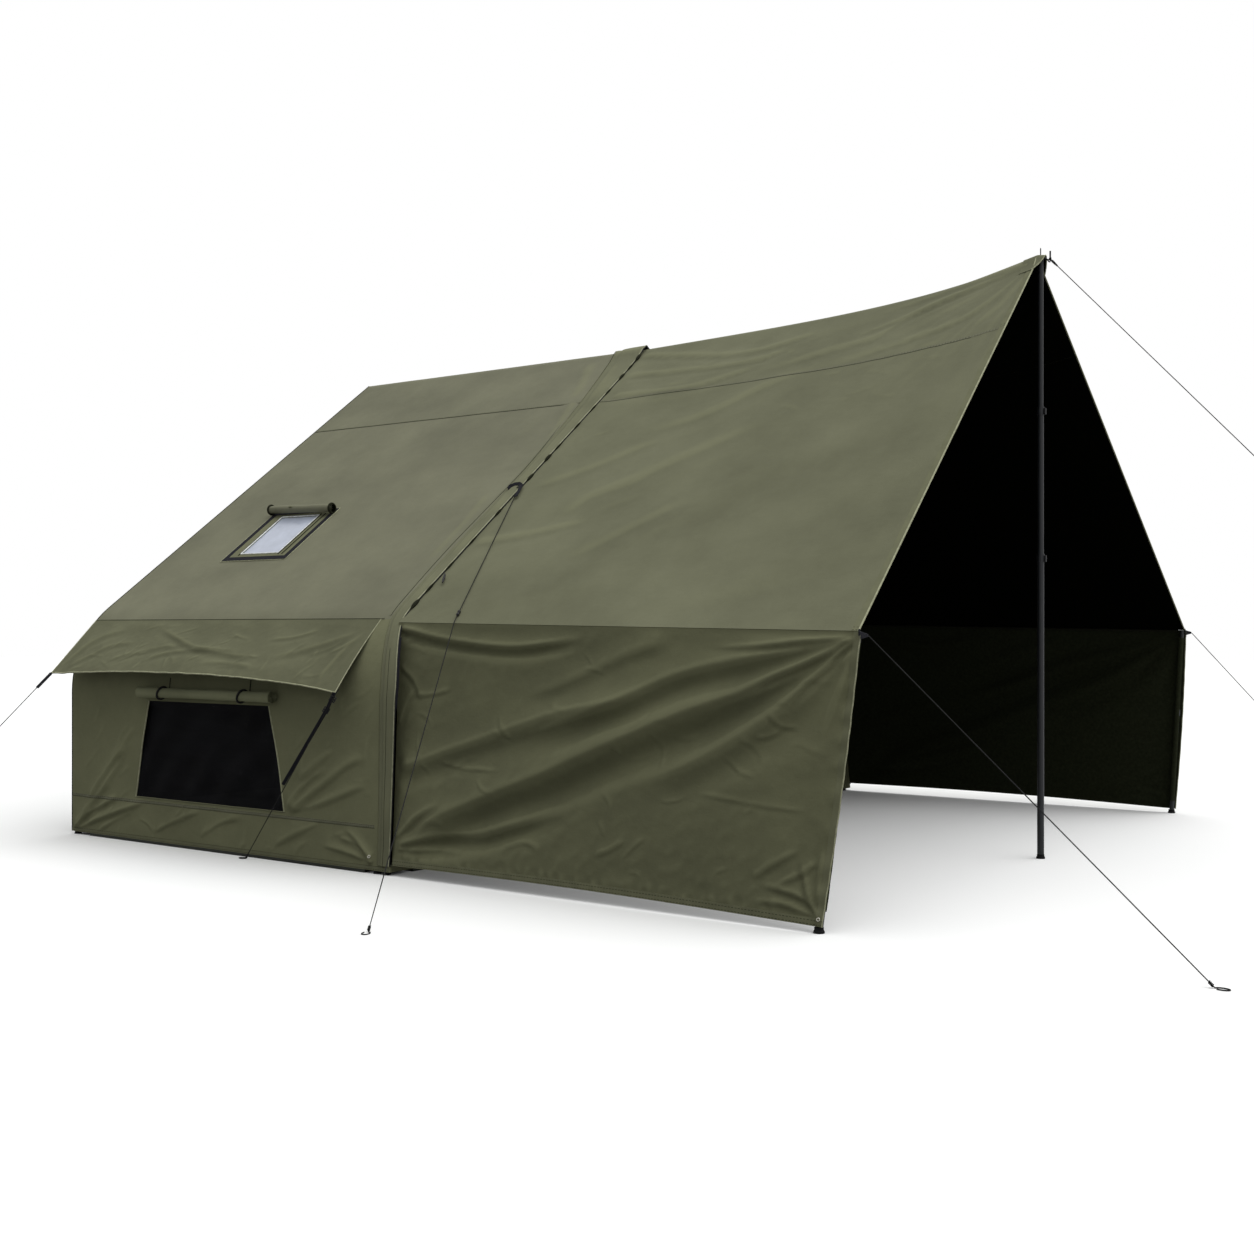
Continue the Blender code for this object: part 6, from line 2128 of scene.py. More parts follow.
@dataclass
class Skylight:
    """The clear pane in the near roof: olive border, black tape round it, and the cover rolled up above."""

    centre_x: float = -1.445
    drop: float = 1.485
    length: float = 0.465
    width: float = 0.49
    side_border: float = 0.104
    end_border: float = 0.062
    tape: float = 0.032
    roll_radius: float = 0.0265
    roll_length: float = 0.545
    roll_x: float = -1.495
    roll_lift: float = 0.032

    def place(self, x: float, y: float, lift: float, middle: Optional[float] = None,
              drop: Optional[float] = None) -> Vector:
        """A point on the near roof.

        Args:
            x: Metres forward of the skylight's middle.
            y: Metres up the slope from it.
            lift: Metres out from the roof.
            middle: Another x to measure from.
            drop: Another distance down from the ridge.

        Returns:
            The point.
        """
        down = self.drop + self.length / 2 if drop is None else drop
        across, height = (float(value) for value in CABIN.outline(CABIN.length - down))
        turned = Matrix.Rotation(CABIN.pitch, 3, "X") @ Vector((x, y, lift))
        return Vector((self.centre_x if middle is None else middle, across, height)) + turned

    def ring(self, name: str, outer: tuple[float, float], inner: tuple[float, float], high: float, finish: Finish,
             slot: Optional[Slot] = None) -> Piece:
        """A flat frame that lies just over the roof.

        Args:
            name: The piece's name.
            outer: Half sizes of its outline.
            inner: Half sizes of its hole.
            high: Its upper face's lift.
            finish: Its finish.
            slot: The record's slot, if not the finish's own; not used.

        Returns:
            The frame.
        """
        shape = bmesh.new()
        bmesh.ops.create_grid(shape, x_segments=1, y_segments=1, size=0.5)
        made = bmesh.ops.inset_individual(shape, faces=shape.faces[:], thickness=0.2)["faces"]
        middle = [item for item in shape.faces if item not in made]
        for vert in shape.verts:
            reach = inner if vert in middle[0].verts else outer
            vert.co = Vector((math.copysign(reach[0], vert.co.x), math.copysign(reach[1], vert.co.y), 0.0))
        bmesh.ops.delete(shape, geom=middle, context="FACES")
        bmesh.ops.subdivide_edges(shape, edges=shape.edges[:], cuts=3, use_grid_fill=True)
        shell = bmesh.ops.extrude_face_region(shape, geom=shape.faces[:])["geom"]
        raised = [item for item in shell if isinstance(item, bmesh.types.BMVert)]
        bmesh.ops.translate(shape, vec=(0, 0, high - CLEAR), verts=raised)
        bmesh.ops.recalc_face_normals(shape, faces=shape.faces)
        for vert in shape.verts:
            vert.co = self.place(vert.co.x, vert.co.y, CLEAR + vert.co.z)
        item = dress_object(name, mesh_from(name, shape, smoothed=False), [finish])
        round_edges(item, high - CLEAR)
        return item

    def border_line(self, name: str, reach: tuple[float, float], lift: float, radius: float, finish: Finish) -> None:
        """A binding round a rectangle on the roof.

        Args:
            name: The piece's name.
            reach: Half sizes of the rectangle.
            lift: Metres out from the roof.
            radius: The binding's radius.
            finish: Its finish.
        """
        stops = [self.place(x * reach[0], y * reach[1], lift)
                 for x, y in ((-1, -1), (1, -1), (1, 1), (-1, 1), (-1, -1))]
        path = [first.lerp(second, step / 8) for first, second in zip(stops, stops[1:]) for step in range(8)]
        tube(name, [*path, stops[-1]], radius, finish)

    def build(self) -> None:
        """Make the border, the tape, the pane's edge, the zips and the rolled cover."""
        outer = (self.width / 2, self.length / 2)
        pane = (outer[0] - self.side_border, outer[1] - self.end_border)
        tape_inner = (outer[0] - self.tape, outer[1] - self.tape)
        self.ring("skylight_border", tape_inner, pane, 0.0034, HEM, Slot.ROOF)
        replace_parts(self.ring("skylight_tape", outer, tape_inner, 0.0043, WEBBING), "skylight_frame")
        self.border_line("skylight_piping", (pane[0] + 0.004, pane[1] + 0.004), 0.0042, 0.0036, RIM)
        for number, x in enumerate((-0.62, 0.62, 0.74)):
            top, low = (self.place(outer[0] * x, outer[1] * y, 0.0040) for y in (0.80, -0.80))
            tube(f"skylight_zip_{number}", [top.lerp(low, step / 12) for step in range(13)], 0.0030, BLACK_TAPE_AND_SHADOW_LINE)
        self.border_line("skylight_edge", (outer[0] + 0.003, outer[1] + 0.003), 0.0020, 0.0022, BINDING_PAINTED_HIGHLIGHT)
        stand = self.roll_radius + 0.0052
        ends = [self.place(side * self.roll_length / 2 + shift, 0.0, stand, self.roll_x,
                           self.drop - self.roll_lift + down)
                for side, shift, down in ((-1, 0.070, 0.052), (1, 0.028, 0.076))]
        form = RollForm(start=tuple(ends[0]), finish=tuple(ends[1]), radius=self.roll_radius, ties=(0.985, 0.015),
                        turns=4.2, pitch=0.0055, squeeze=0.03, seed=67)
        reach = self.roll_radius * 0.93
        toggles = [hoop(f"skylight_roll_end_{number}", ends[0].lerp(ends[1], share), (0, reach, 0), (0, 0, reach),
                        0.0056, BLACK_TAPE_AND_SHADOW_LINE, steps=21) for number, share in enumerate((0.012, 0.988))]
        middle = ends[0].lerp(ends[1], 0.38)
        bar = [middle + Vector((step, -0.024, 0.0115)) for step in (-0.013, -0.007, 0.0, 0.007, 0.013)]
        toggles.append(tube("skylight_toggle", bar, [0.002, 0.0040, 0.0045, 0.0040, 0.002], HEM, 10))
        make_roll("skylight_cover", form, "skylight_cover_roll", toggles, (CANVAS, BLACKOUT_LINING_PAINTED_SHADE))


@dataclass
class JunctionBand:
    """The cover band over the joint, its piping, painted shadow lines and lenses in the dark gap beside it, and the
    lace cord that closes it.
    """

    hem: float = 0.04
    laces: tuple[float, ...] = (0.105, 0.207, 0.307, 0.468, 0.64, 0.818, 1.02, 1.13, 1.31, 1.62, 1.86, 2.06, 2.233,
                                2.355)
    gap_length: float = 0.085

    def build(self) -> None:
        """Make the band and everything along its edges."""
        form = BandForm()
        roof = form.wall + form.shoulder
        marks = np.concatenate([np.linspace(self.hem, form.wall, 40), np.linspace(form.wall, roof, 36)[1:],
                                np.linspace(roof, form.length, 90)[1:]])
        girth = np.concatenate([marks, (2 * form.length - marks)[::-1][1:]])
        band = lay_cloth("junction_band_cloth", form, np.linspace(0, 1, 17), girth, [CANOPY_CANVAS_PAINTED_SHADE, BLACKOUT_LINING_PAINTED_SHADE],
                         "junction_band")
        low = marks[marks < form.wall + 0.25]
        # The back line and the fold line are thin dark tubes: painted shadow lines in the band's creases
        trims = [line_on("band_piping", form, 1.0, girth, 0.0006, 0.0026, BINDING_PAINTED_HIGHLIGHT),
                 line_on("band_back_edge", form, 0.01, girth, -0.0002, 0.0022, HEM),
                 line_on("band_back_line", form, -0.02, girth, 0.0, 0.0013, sides=6),
                 line_on("band_fold_line", form, 0.52, low, -0.0002, 0.0011, sides=6),
                 tube("band_lace_cord", self.beside(form, girth, -0.0012, 0.0055), 0.0030, CORD)]
        declare_sheet(band, trims)
        # Dark lenses where the canopy's edge is laced up under the band: painted shadow in the gaps between the laces
        share = np.linspace(-1, 1, 11)
        for number, drop in enumerate(self.laces):
            middle = form.length - drop
            spots = self.beside(form, middle + share * self.gap_length / 2, 0.0005, 0.008)
            width = 0.0006 + 0.0085 * (1 - share ** 2) * (0.75 + 0.25 * math.cos(middle * 31))
            tube(f"band_lace_{number}", spots, width, BLACK_TAPE_AND_SHADOW_LINE)
        # The toggle at the band's front edge, low on the roof, and the strap down the wall
        path = CABIN.points(np.linspace(0.036, 0.072, 5), form.length - np.linspace(2.138, 2.206, 5), 0.010)
        tube("band_toggle", path, [0.003, 0.0055, 0.006, 0.0055, 0.003], NYLON, 10)
        path = self.beside(form, np.linspace(0.05, form.wall + 0.30, 60), 0.0002, 0.013)
        strap("band_wall_strap", path, (1, 0, 0), 0.010, 0.0018)

    def beside(self, form: BandForm, girth: Array, lift: float, ahead: float) -> Array:
        """A line in front of the band's front edge.

        Args:
            form: The band.
            girth: Metres round the skin.
            lift: Metres out from the band.
            ahead: Metres in front of it.

        Returns:
            Its points.
        """
        return form.points(np.ones(girth.shape), girth, lift) + np.array([ahead, 0.0, 0.0])


# Canopy


@dataclass
class Canopy:
    """The open half: its roof, its two walls, and their hems, seams and eyelets."""

    sleeve_radius: float = 0.0145
    hood_half: float = 0.050
    hood_back: float = 0.972
    roof_folds: tuple[Fold, ...] = (
        Fold(((2.19, 2.44), (1.79, 2.42), (1.36, 2.36)), 0.0040, 0.026, 0.018, 0.7, 0.03, 0.5, 0.3, 1.5),
        Fold(((2.19, 2.42), (1.69, 2.29), (1.39, 1.98)), 0.0060, 0.034, 0.020, 0.8, 0.03, 0.5, 0.3, 1.4),
        Fold(((2.19, 2.40), (1.98, 2.11), (1.71, 2.01), (1.28, 1.90)), 0.0050, 0.032, 0.020, 0.8, 0.03, 0.5, 0.3, 1.4),
        Fold(((2.19, 2.38), (2.11, 2.09), (2.0, 1.97)), 0.0040, 0.022, 0.016, 0.8, 0.03, 0.5, 0.3, 1.4),
        Fold(((2.19, 2.42), (1.85, 2.36), (1.50, 2.22), (1.20, 2.14)), 0.0042, 0.026, 0.018, 0.7, 0.03, 0.5, 0.3, 1.4),
        Fold(((1.20, 1.51), (0.98, 1.33), (0.64, 1.05), (0.39, 0.83)), 0.0045, 0.080, 0.050, start=0.4, end=0.4),
        Fold(((1.33, 1.94), (1.06, 1.84), (0.76, 1.60), (0.40, 1.48)), 0.0045, 0.065, 0.045, start=0.4, end=0.4),
        Fold(((1.66, 2.12), (1.32, 2.09), (0.86, 1.95)), 0.0040, 0.050, 0.035, start=0.4, end=0.4),
        Fold(((0.0, 2.38), (0.74, 2.21), (1.15, 2.31)), 0.0050, 0.034, 0.024, start=0.05, sharp=1.6),
        Fold(((0.02, 2.15), (0.79, 2.10), (1.01, 2.19)), 0.0045, 0.030, 0.022, start=0.05, sharp=1.6),
        Fold(((0.05, 1.94), (0.57, 1.92), (0.92, 2.06)), 0.0040, 0.030, 0.022, start=0.05, sharp=1.6),
        Fold(((0.42, 0.77), (0.51, 0.96), (0.80, 1.08)), 0.0030, 0.055, 0.040),
        Fold(((0.62, 0.43), (0.85, 0.67), (1.07, 0.90)), 0.0028, 0.060, 0.045),
        Fold(((0.04, 1.05), (0.35, 1.22), (0.66, 1.45)), 0.0040, 0.060, 0.040, sharp=1.7),
        Fold(((0.02, 0.60), (0.30, 0.66), (0.62, 0.76)), 0.0040, 0.040, 0.028, start=0.1, sharp=1.6),
        *creases(501, 26, (0.05, 1.5), (1.9, 2.35), 2.9, 0.35, 0.20, 0.0014),
    )
    wall_folds: tuple[Fold, ...] = (
        Fold(((2.13, 1.02), (1.93, 0.91), (1.73, 0.82), (1.52, 0.74), (1.35, 0.67), (1.12, 0.57), (0.83, 0.44),
              (0.57, 0.34), (0.32, 0.24), (0.07, 0.13)), 0.038, 0.095, 0.055, 0.9, 0.02, 0.12, 0.25, 1.4),
        Fold(((2.12, 1.03), (1.95, 0.99), (1.72, 0.94), (1.47, 0.88), (1.25, 0.79), (1.01, 0.69), (0.75, 0.60),
              (0.48, 0.53)), 0.023, 0.056, 0.040, 0.9, 0.05, 0.3, 0.3, 1.4),
        Fold(((2.13, 1.00), (2.00, 0.88), (1.89, 0.78), (1.74, 0.67), (1.55, 0.55), (1.40, 0.48), (1.15, 0.40)),
             0.019, 0.046, 0.050, 0.7, 0.05, 0.3, 0.3, 1.4),
        Fold(((1.33, 0.80), (1.17, 0.75), (0.88, 0.69), (0.54, 0.58), (0.20, 0.47), (0.02, 0.41)), 0.017, 0.050, 0.038,
             0.7, 0.3, 0.1, 1.0, 1.4),
        Fold(((0.01, 1.03), (0.20, 0.99), (0.42, 0.965), (0.63, 0.955), (0.82, 0.975), (1.01, 1.01)),
             0.014, 0.024, 0.018, 1.1, 0.03, 0.3, 1.0, 1.4),
        Fold(((1.40, 1.01), (1.26, 0.97), (1.08, 0.90), (0.90, 0.82), (0.67, 0.74)), 0.007, 0.040, 0.030),
        Fold(((2.13, 1.03), (1.98, 0.95), (1.83, 0.88), (1.68, 0.81)), 0.014, 0.022, 0.014, 0.8, 0.02, 0.4, 0.3, 1.4),
        Fold(((2.12, 1.02), (2.03, 0.93), (1.94, 0.84), (1.86, 0.74)), 0.013, 0.020, 0.014, 0.8, 0.02, 0.5, 0.3, 1.4),
        Fold(((2.13, 1.01), (2.10, 0.90), (2.07, 0.78), (2.03, 0.64)), 0.011, 0.020, 0.014, 0.8, 0.02, 0.5, 0.3, 1.4),
        Fold(((2.12, 1.03), (1.94, 1.01), (1.74, 0.985), (1.50, 0.975)), 0.009, 0.016, 0.012, 0.8, 0.02, 0.5, 0.3, 1.4),
        Fold(((0.04, 0.09), (0.29, 0.15), (0.51, 0.18), (0.78, 0.26), (1.01, 0.34)),
             0.023, 0.046, 0.030, 0.8, 0.05, 0.4, 0.4, 1.4),
        Fold(((0.04, 0.07), (0.25, 0.09), (0.50, 0.10)), 0.010, 0.020, 0.014, 0.6, 0.05, 0.5, 0.5, 1.4),
        Fold(((0.03, 0.12), (0.16, 0.22), (0.32, 0.30)), 0.010, 0.024, 0.016, 0.6, 0.05, 0.5, 0.5, 1.4),
        Fold(((1.50, 0.43), (1.73, 0.41), (1.90, 0.40), (2.04, 0.40)), 0.0025, 0.012, 0.010, sharp=1.4),
        Fold(((1.83, 0.74), (1.87, 0.70), (1.95, 0.69)), 0.004, 0.013, 0.010, sharp=1.3),
        Fold(((1.89, 0.70), (1.84, 0.66), (1.77, 0.64)), 0.004, 0.013, 0.010, sharp=1.3),
        Fold(((1.82, 0.13), (1.90, 0.19), (2.02, 0.27)), 0.006, 0.022, 0.014, sharp=1.4),
        Fold(((1.92, 0.12), (2.03, 0.18), (2.08, 0.23)), 0.006, 0.018, 0.012, sharp=1.4),
        Fold(((2.12, 0.03), (2.05, 0.09), (1.96, 0.11), (1.86, 0.12)), 0.008, 0.018, 0.012, 0.6, 0.05, 0.4, 0.5, 1.4),
        Fold(((2.12, 0.03), (2.06, 0.12), (2.02, 0.24)), 0.008, 0.018, 0.012, 0.6, 0.05, 0.4, 0.5, 1.4),
        Fold(((2.12, 0.03), (2.10, 0.16), (2.10, 0.30)), 0.006, 0.016, 0.012, 0.6, 0.05, 0.4, 0.5, 1.4),
        Fold(((2.12, 0.03), (1.98, 0.06), (1.82, 0.06)), 0.006, 0.016, 0.012, 0.6, 0.05, 0.4, 0.5, 1.4),
        Fold(((1.10, 0.14), (1.18, 0.17), (1.26, 0.22)), 0.004, 0.016, 0.012, sharp=1.4),
        Fold(((0.62, 0.12), (0.74, 0.16), (0.84, 0.14)), 0.004, 0.016, 0.012, sharp=1.4),
        Fold(((0.03, 0.97), (0.10, 0.98), (0.18, 0.95)), 0.005, 0.014, 0.010, sharp=1.4),
        Fold(((0.08, 0.73), (0.22, 0.745), (0.32, 0.77)), 0.004, 0.014, 0.010, sharp=1.4),
        Fold(((0.02, 0.86), (0.10, 0.80), (0.16, 0.70)), 0.004, 0.020, 0.014, sharp=1.4, start=0.1),
        Fold(((0.02, 0.60), (0.06, 0.70), (0.12, 0.77)), 0.004, 0.018, 0.012, sharp=1.4, start=0.1),
        Fold(((0.25, 0.46), (0.40, 0.44), (0.62, 0.44)), 0.004, 0.014, 0.010, sharp=1.4),
        *creases(401, 34, (0.08, 0.06), (2.05, 0.95), 2.7, 0.7, 0.14, 0.0020),
    )

    def build(self) -> None:
        """Make the roof, the hood, the walls and their trim."""
        self.roof()
        self.hood()
        self.wall("near")
        self.wall("far")

    def roof(self) -> None:
        """Three panels, stitched seams between them with their painted shadow lines, the front hem, and a black bead
        under each eave as a painted shadow line.
        """
        form = CanopyCloth(folds=self.roof_folds)
        seam, gap = form.seam_share, 0.0002
        for where, levels, columns in (("near", np.linspace(-1, -seam - gap, 120), 190),
                                       ("top", bands((-seam, 0, seam), (28, 28)), 190),
                                       ("far", np.linspace(seam + gap, 1, 90), 130)):
            item = lay_cloth(f"canopy_roof_{where}_cloth", form, np.linspace(0, 1, columns), levels,
                             [CANOPY_CANVAS_PAINTED_SHADE, BLACKOUT_LINING_PAINTED_SHADE], "canopy_roof_" + where)
            declare_sheet(item,
                          self.roof_trims(form, where))

    def roof_trims(self, form: CanopyCloth, where: str) -> list[Piece]:
        """The hems and seams on one of the roof's panels.

        Args:
            form: The roof's surface.
            where: Near, top or far.

        Returns:
            The trims.
        """
        seam = form.seam_share
        low, high = {"near": (-1.0, -seam), "top": (-seam, seam), "far": (seam, 1.0)}[where]
        trims = [lay_cloth(f"canopy_front_hem_{where}", form, np.linspace(0.9995, 0.988, 5)[::-1],
                           np.linspace(low, high, 140), [HEM], thickness=0.0012, lift=0.0010),
                 line_on(f"canopy_front_binding_{where}", form, 1.0, np.linspace(low, high, 120), -FABRIC / 2, 0.0036,
                         BINDING_PAINTED_HIGHLIGHT)]
        if where == "top":
            return trims
        sign = -1 if where == "near" else 1
        levels = np.linspace(*sorted((sign * seam, sign * (seam + 0.0055))), 4)
        trims.append(lay_cloth(f"canopy_roof_seam_{where}", form, np.linspace(0.002, 0.998, 160), levels, [SEAM],
                               thickness=0.0009, lift=0.0009))
        # A thin dark tube beside the seam: a painted shadow line
        trims.append(line_on(f"canopy_roof_line_{where}", form, np.linspace(0.004, 0.930, 140), sign * (seam + 0.006),
                             0.0003, 0.0012, sides=6))
        # A black bead behind the wall's top, seen through the gap under the eave as a painted shadow line
        under = (CANOPY.eave(np.linspace(0.004, 0.985, 60)) + np.array([0.0, 0.0075, -0.0075])) * (1, -sign, 1)
        trims.append(tube(f"canopy_eave_painted_shadow_{where}", under, 0.0068, BLACK_TAPE_AND_SHADOW_LINE))
        return trims

    def hood(self) -> None:
        """The doubled patch at the peak that laps forward over the pole's ring, with its bound front edge."""
        form = HoodForm()
        across = np.linspace(-self.hood_half, self.hood_half, 31)
        nose = 0.9985 + 0.0175 * np.cos(math.pi / 2 * across / self.hood_half)
        a = self.hood_back + (nose[:, None] - self.hood_back) * np.linspace(0, 1, 25)
        item = lay_cloth("canopy_peak_hood", form, a, across, [CANOPY_CANVAS_PAINTED_SHADE, BLACKOUT_LINING_PAINTED_SHADE], lift=0.0040)
        binding = line_on("canopy_peak_binding", form, nose, across, 0.0030, 0.0028, BINDING_PAINTED_HIGHLIGHT)
        declare_sheet(item, [binding])

    def wall(self, where: str) -> None:
        """A wall with its hems, its pole's sleeve and its eyelet.

        Args:
            where: Near or far.
        """
        far = where == "far"
        form = CanopyWallForm(folds=self.wall_folds, mirrored=far, seed=27 if far else 21)
        columns, rows = (121, 61) if far else (311, 156)
        top, front = form.height, CANOPY.front_x
        item = lay_cloth(f"canopy_wall_{where}_cloth", form, np.linspace(0, front, columns), np.linspace(0, top, rows),
                         [WALL_CANVAS_PAINTED_SHADE, WALL_LINING_PAINTED_LIGHT], "canopy_wall_" + where)
        trims = [lay_cloth(f"canopy_wall_hem_{where}", form, np.linspace(0, front, 200), np.linspace(0.0, 0.028, 5),
                           [HEM], thickness=0.0012, lift=0.0013),
                 lay_cloth(f"canopy_wall_front_hem_{where}", form, np.linspace(front - 0.024, front, 5),
                           np.linspace(0.0, top, 120), [HEM], thickness=0.0012, lift=0.0013),
                 line_on(f"canopy_wall_binding_{where}", form, front, np.linspace(0, top - 0.012, 90), -FABRIC / 2,
                         0.0028, BINDING_PAINTED_HIGHLIGHT),
                 self.pole_sleeve(where, far), eyelet(f"eyelet_{where}", form, front - 0.014, 0.026)]
        declare_sheet(item, trims)

    def pole_sleeve(self, where: str, far: bool) -> Piece:
        """The wall's front hem, sewn into a sleeve that its corner pole slides in.

        Args:
            where: Near or far.
            far: Whether it is the far one.

        Returns:
            The sleeve.
        """
        foot, head = (np.array(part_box(f"corner_pole_{part}_{where}")).mean(axis=0) for part in ("lower", "upper"))
        heights = np.linspace(0.075, 1.0, 40)
        ahead = (head - foot) / (head[2] - foot[2])
        line = foot + ahead * (heights - foot[2])[:, None] + np.array([-0.002, -0.004 if far else 0.004, 0.0])
        girth = self.sleeve_radius * (1 + 0.03 * np.sin(heights * 61))
        return tube(f"corner_pole_sleeve_{where}", line, girth, WALL_LINING_PAINTED_LIGHT, 16)


# Air beams, floor and hardware


@dataclass
class AirBeams:
    """The two inflated arches and the ridge beam, in their woven sleeves."""

    radius: float = 0.065
    apex_radius: float = 0.15
    ridge_radius: float = 0.05
    foot_top: float = 0.0223
    film: float = 0.003

    def arch_line(self, x_at: Callable[[float], float]) -> Array:
        """The centre line of an arch.

        Args:
            x_at: Gives x at a height.

        Returns:
            The line's points.
        """
        inset = FABRIC + CLEAR + self.radius
        marks = np.concatenate([np.linspace(self.foot_top, CABIN.wall, 14),
                                np.linspace(CABIN.wall, CABIN.wall + CABIN.shoulder, 16)[1:]])
        y, z = CABIN.outline(marks, -inset)
        rise, run = math.cos(CABIN.pitch), math.sin(CABIN.pitch)
        centre = CABIN.ridge_height - (inset + self.apex_radius) / rise
        share = np.linspace(0, 1, 22)[1:-1]
        y = np.concatenate([y, y[-1] + (-self.apex_radius * run - y[-1]) * share])
        z = np.concatenate([z, z[-1] + (centre + self.apex_radius * rise - z[-1]) * share])
        turn = np.linspace(-CABIN.pitch, CABIN.pitch, 15)
        full_y = np.concatenate([y, self.apex_radius * np.sin(turn), -y[::-1]])
        full_z = np.concatenate([z, centre + self.apex_radius * np.cos(turn), z[::-1]])
        return np.stack([np.array([x_at(height) for height in full_z]), full_y, full_z], axis=-1)

    def inflate(self, name: str, node: str, line: Array, radii: Array, finish: Finish, sides: int) -> None:
        """A filled tube in a beam's place.

        Args:
            name: The piece's name.
            node: The node that it replaces.
            line: Its centre line.
            radii: Its radius at each point.
            finish: Its finish.
            sides: How many sides it has round.
        """
        item = tube(name, line, radii, finish, sides)
        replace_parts(item, node)

    def build(self) -> None:
        """Make the sleeves, the bladders in them and the ridge beam."""
        inset = FABRIC + CLEAR + self.radius
        for where, x_at in (("rear", lambda height: CABIN.rear_x + inset),
                            ("front", lambda height: float(CABIN.joint_x(height)) - inset)):
            line = self.arch_line(x_at)
            radii = self.radius * (1 - 0.012 * (1 + np.sin(np.arange(len(line)) * 1.7)))
            node = "beam_sleeve_" + where
            self.inflate(node + "_cloth", node, line, radii, SLEEVE, 32)
            node = "beam_bladder_" + where
            self.inflate(node + "_film", node, line, radii - self.film, AIR_FILM, 24)
        low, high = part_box("ridge_beam")
        line = np.linspace((low[0], 0.0, (low[2] + high[2]) / 2), (high[0], 0.0, (low[2] + high[2]) / 2), 40)
        radii = self.ridge_radius * (1 - 0.015 * (1 + np.sin(np.arange(40) * 1.9)))
        self.inflate("ridge_beam_cloth", "ridge_beam", line, radii, SLEEVE, 28)


@dataclass
class TubForm(Surface):
    """The tub floor, and its walls folded up at the edge, as one sheet of coated cloth."""

    height: float = 0.12
    notch: float = 0.145

    def limits(self) -> tuple[float, float, float]:
        """The floor's rear x, front x and half width."""
        gap = FABRIC + CLEAR
        return CABIN.rear_x + gap, float(CABIN.joint_x(self.height)) - gap - CLEAR, CABIN.half_width - gap

    def base(self, a: Array, b: Array) -> Array:
        """The smooth tub, its outer face downwards.

        Args:
            a: Metres along x, past the edges where the wall folds up.
            b: Metres along y, past the edges where the wall folds up.

        Returns:
            Its points.
        """
        rear, front, side = self.limits()
        a, b = np.broadcast_arrays(np.asarray(a, dtype=float), np.asarray(b, dtype=float))
        past = np.maximum.reduce([rear - a, a - front, np.abs(b) - side, np.zeros(a.shape)])
        return np.stack([np.clip(a, rear, front), np.clip(b, -side, side), past], axis=-1)

    def relief(self, a: Array, b: Array) -> Array:
        """Waves that only lift the floor off the ground, so its face stays above it.

        Args:
            a: Metres along x.
            b: Metres along y.

        Returns:
            Heights, in metres.
        """
        rear, front, side = self.limits()
        inside = smooth((a - rear) / 0.3) * smooth((front - a) / 0.3) * smooth((side - np.abs(b)) / 0.3)
        return 0.0022 + 0.003 * inside * (1 + np.clip(ripple(a, b, 95, 0.7), -1, 1.4))


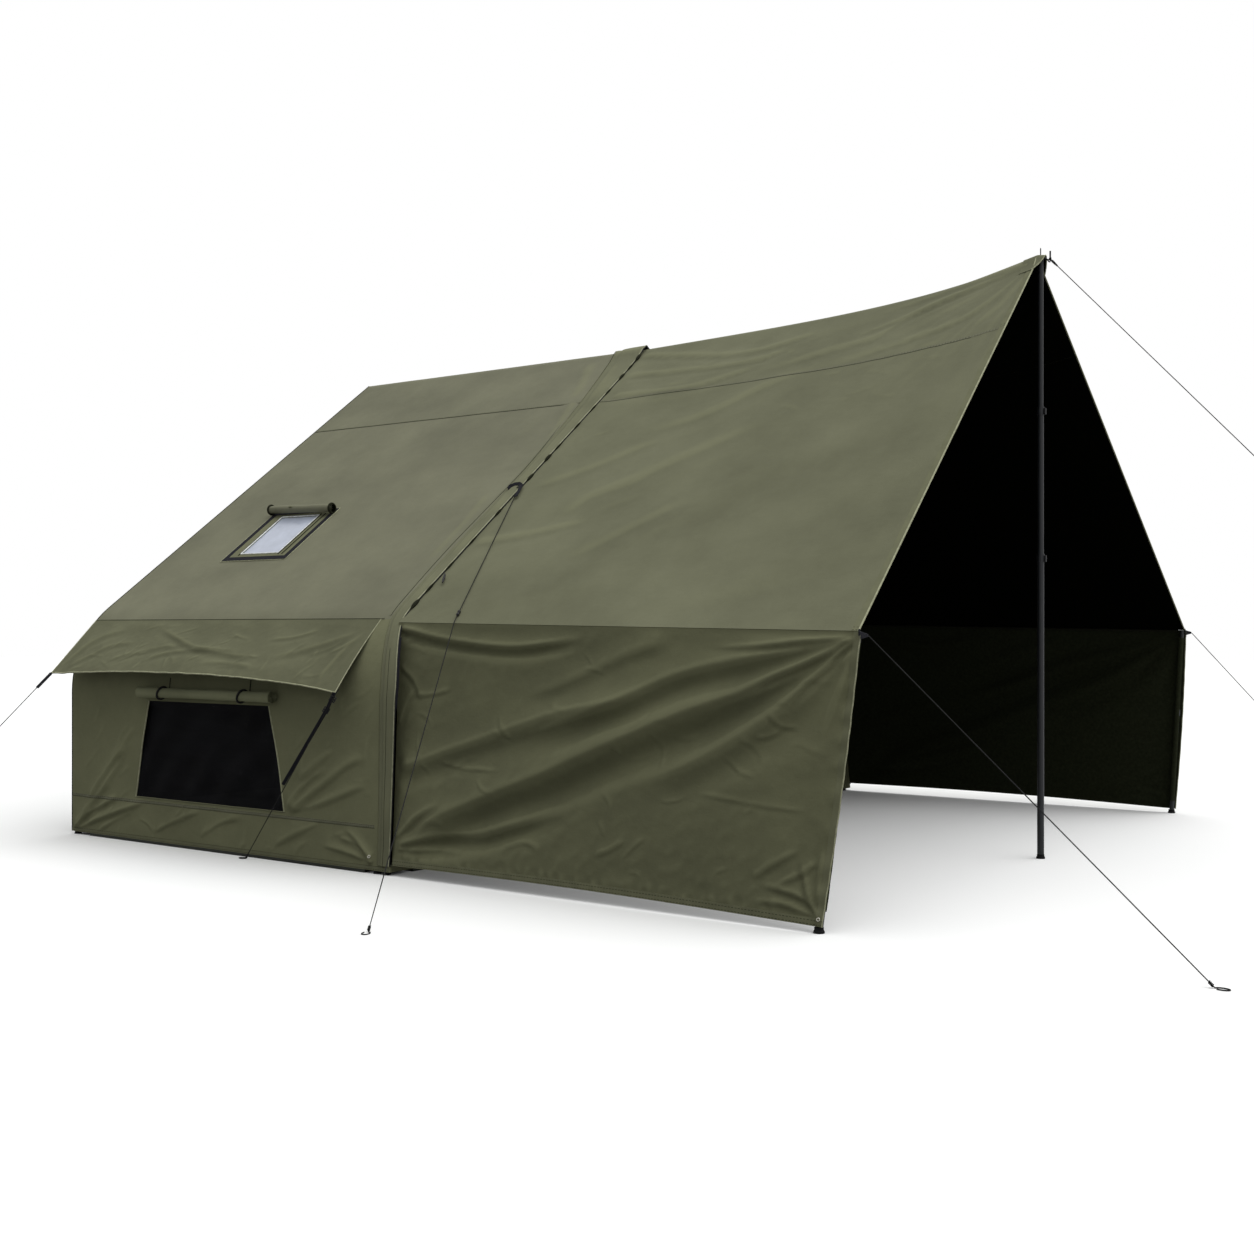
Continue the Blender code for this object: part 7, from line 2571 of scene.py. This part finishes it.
@dataclass
class Hardware:
    """Groundsheet, door roll, poles, feet, valves, runners and the pane, with their finishes."""

    steel: str = ("centre_pole_lower centre_pole_middle centre_pole_upper corner_pole_lower_near corner_pole_lower_far "
                  "corner_pole_upper_near corner_pole_upper_far peak_hook")
    rubber: str = ("centre_pole_foot corner_pole_foot_near corner_pole_foot_far beam_foot_rear_near beam_foot_rear_far "
                   "beam_foot_front_near beam_foot_front_far")
    nylon: str = ("valve_body_rear valve_body_front valve_cap_rear valve_cap_front runner_peak runner_corner_far "
                  "runner_junction runner_flap")
    door_radius: float = 0.045
    door_ties: tuple[float, float] = (0.2, 0.75)
    pole_x: float = 2.135

    def build(self) -> None:
        """Dress the frame's own pieces and add the rest."""
        for nodes, finish in ((self.steel, STEEL), (self.rubber, RUBBER), (self.nylon, NYLON), ("skylight_pane", PANE_PAINTED_REFLECTION)):
            for node in nodes.split():
                item = bpy.data.objects[node]
                if not item.material_slots:
                    item.data.materials.append(None)
                for place in item.material_slots:
                    place.material = finish.material()
                LOG.info("piece %s keeps the frame's shape", node)
        self.groundsheet()
        self.door_roll()
        self.pole_levers()

    def groundsheet(self) -> None:
        """The tub floor as one sheet with its corners notched."""
        form = TubForm()
        rear, front, side = form.limits()
        wall, notch = form.height, form.notch
        x = bands((rear - wall, rear, rear + notch, front - notch, front, front + wall), (4, 3, 60, 3, 4))
        y = bands((-side - wall, -side, -side + notch, side - notch, side, side + wall), (4, 3, 70, 3, 4))
        hole = np.zeros((84, 74), dtype=bool)
        for rows in (slice(0, 7), slice(77, 84)):
            for columns in (slice(0, 7), slice(67, 74)):
                hole[rows, columns] = True
        sheet = lay_cloth("groundsheet_film", form, x, y, [TARPAULIN], "groundsheet", hole=hole)
        declare_sheet(sheet)

    def door_roll(self) -> None:
        """The door, rolled to one side of its doorway and tied."""
        low, high = (Vector(corner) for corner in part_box("door_rolled"))
        stand = self.door_radius + 2 * CLEAR
        ends = [(float(CABIN.joint_x(z)) + stand, (low.y + high.y) / 2, z) for z in (0.195, 1.74)]
        form = RollForm(start=ends[0], finish=ends[1], radius=self.door_radius, ties=self.door_ties, turns=4.2,
                        pitch=0.0072, squeeze=0.14, seed=91)
        reach = self.door_radius * 0.90
        ties = [hoop(f"door_tie_{number}", Vector(ends[0]).lerp(Vector(ends[1]), share), (reach, 0, 0), (0, reach, 0),
                     0.0042, CORD) for number, share in enumerate(self.door_ties)]
        make_roll("door_cover", form, "door_rolled", ties)

    def pole_levers(self) -> None:
        """A clamp lever at the top of the centre pole's lower and middle sections."""
        for name, height, reach, body in (("pole_lever_centre_low", 1.372, 0.0210, Body.TENT),
                                          ("pole_lever_centre_high", 2.046, 0.0195, Body.MIDDLE_SECTION)):
            shape = bmesh.new()
            bmesh.ops.create_cube(shape, size=1.0)
            place = Matrix.Translation((self.pole_x + reach, 0.0, height)) @ Matrix.Diagonal((0.012, 0.014, 0.030, 1.0))
            bmesh.ops.transform(shape, matrix=place, verts=shape.verts)
            soften(shape, 0.0025, 3)
            dress_object(name, mesh_from(name, shape), [NYLON], body=body)


def main() -> None:
    """Build the tent's dress in order: camera and cords first, then the cloth, then the hardware."""
    logging.basicConfig(level=logging.INFO, format="%(message)s")
    Studio().build()
    GuyLines().build()
    shell = CabinShell()
    shell.build()
    Windows().build(shell)
    Flaps().build()
    Skylight().build()
    JunctionBand().build()
    Canopy().build()
    AirBeams().build()
    Hardware().build()
    LOG.info("the visual model's box is written")


if __name__ == "__main__":
    main()
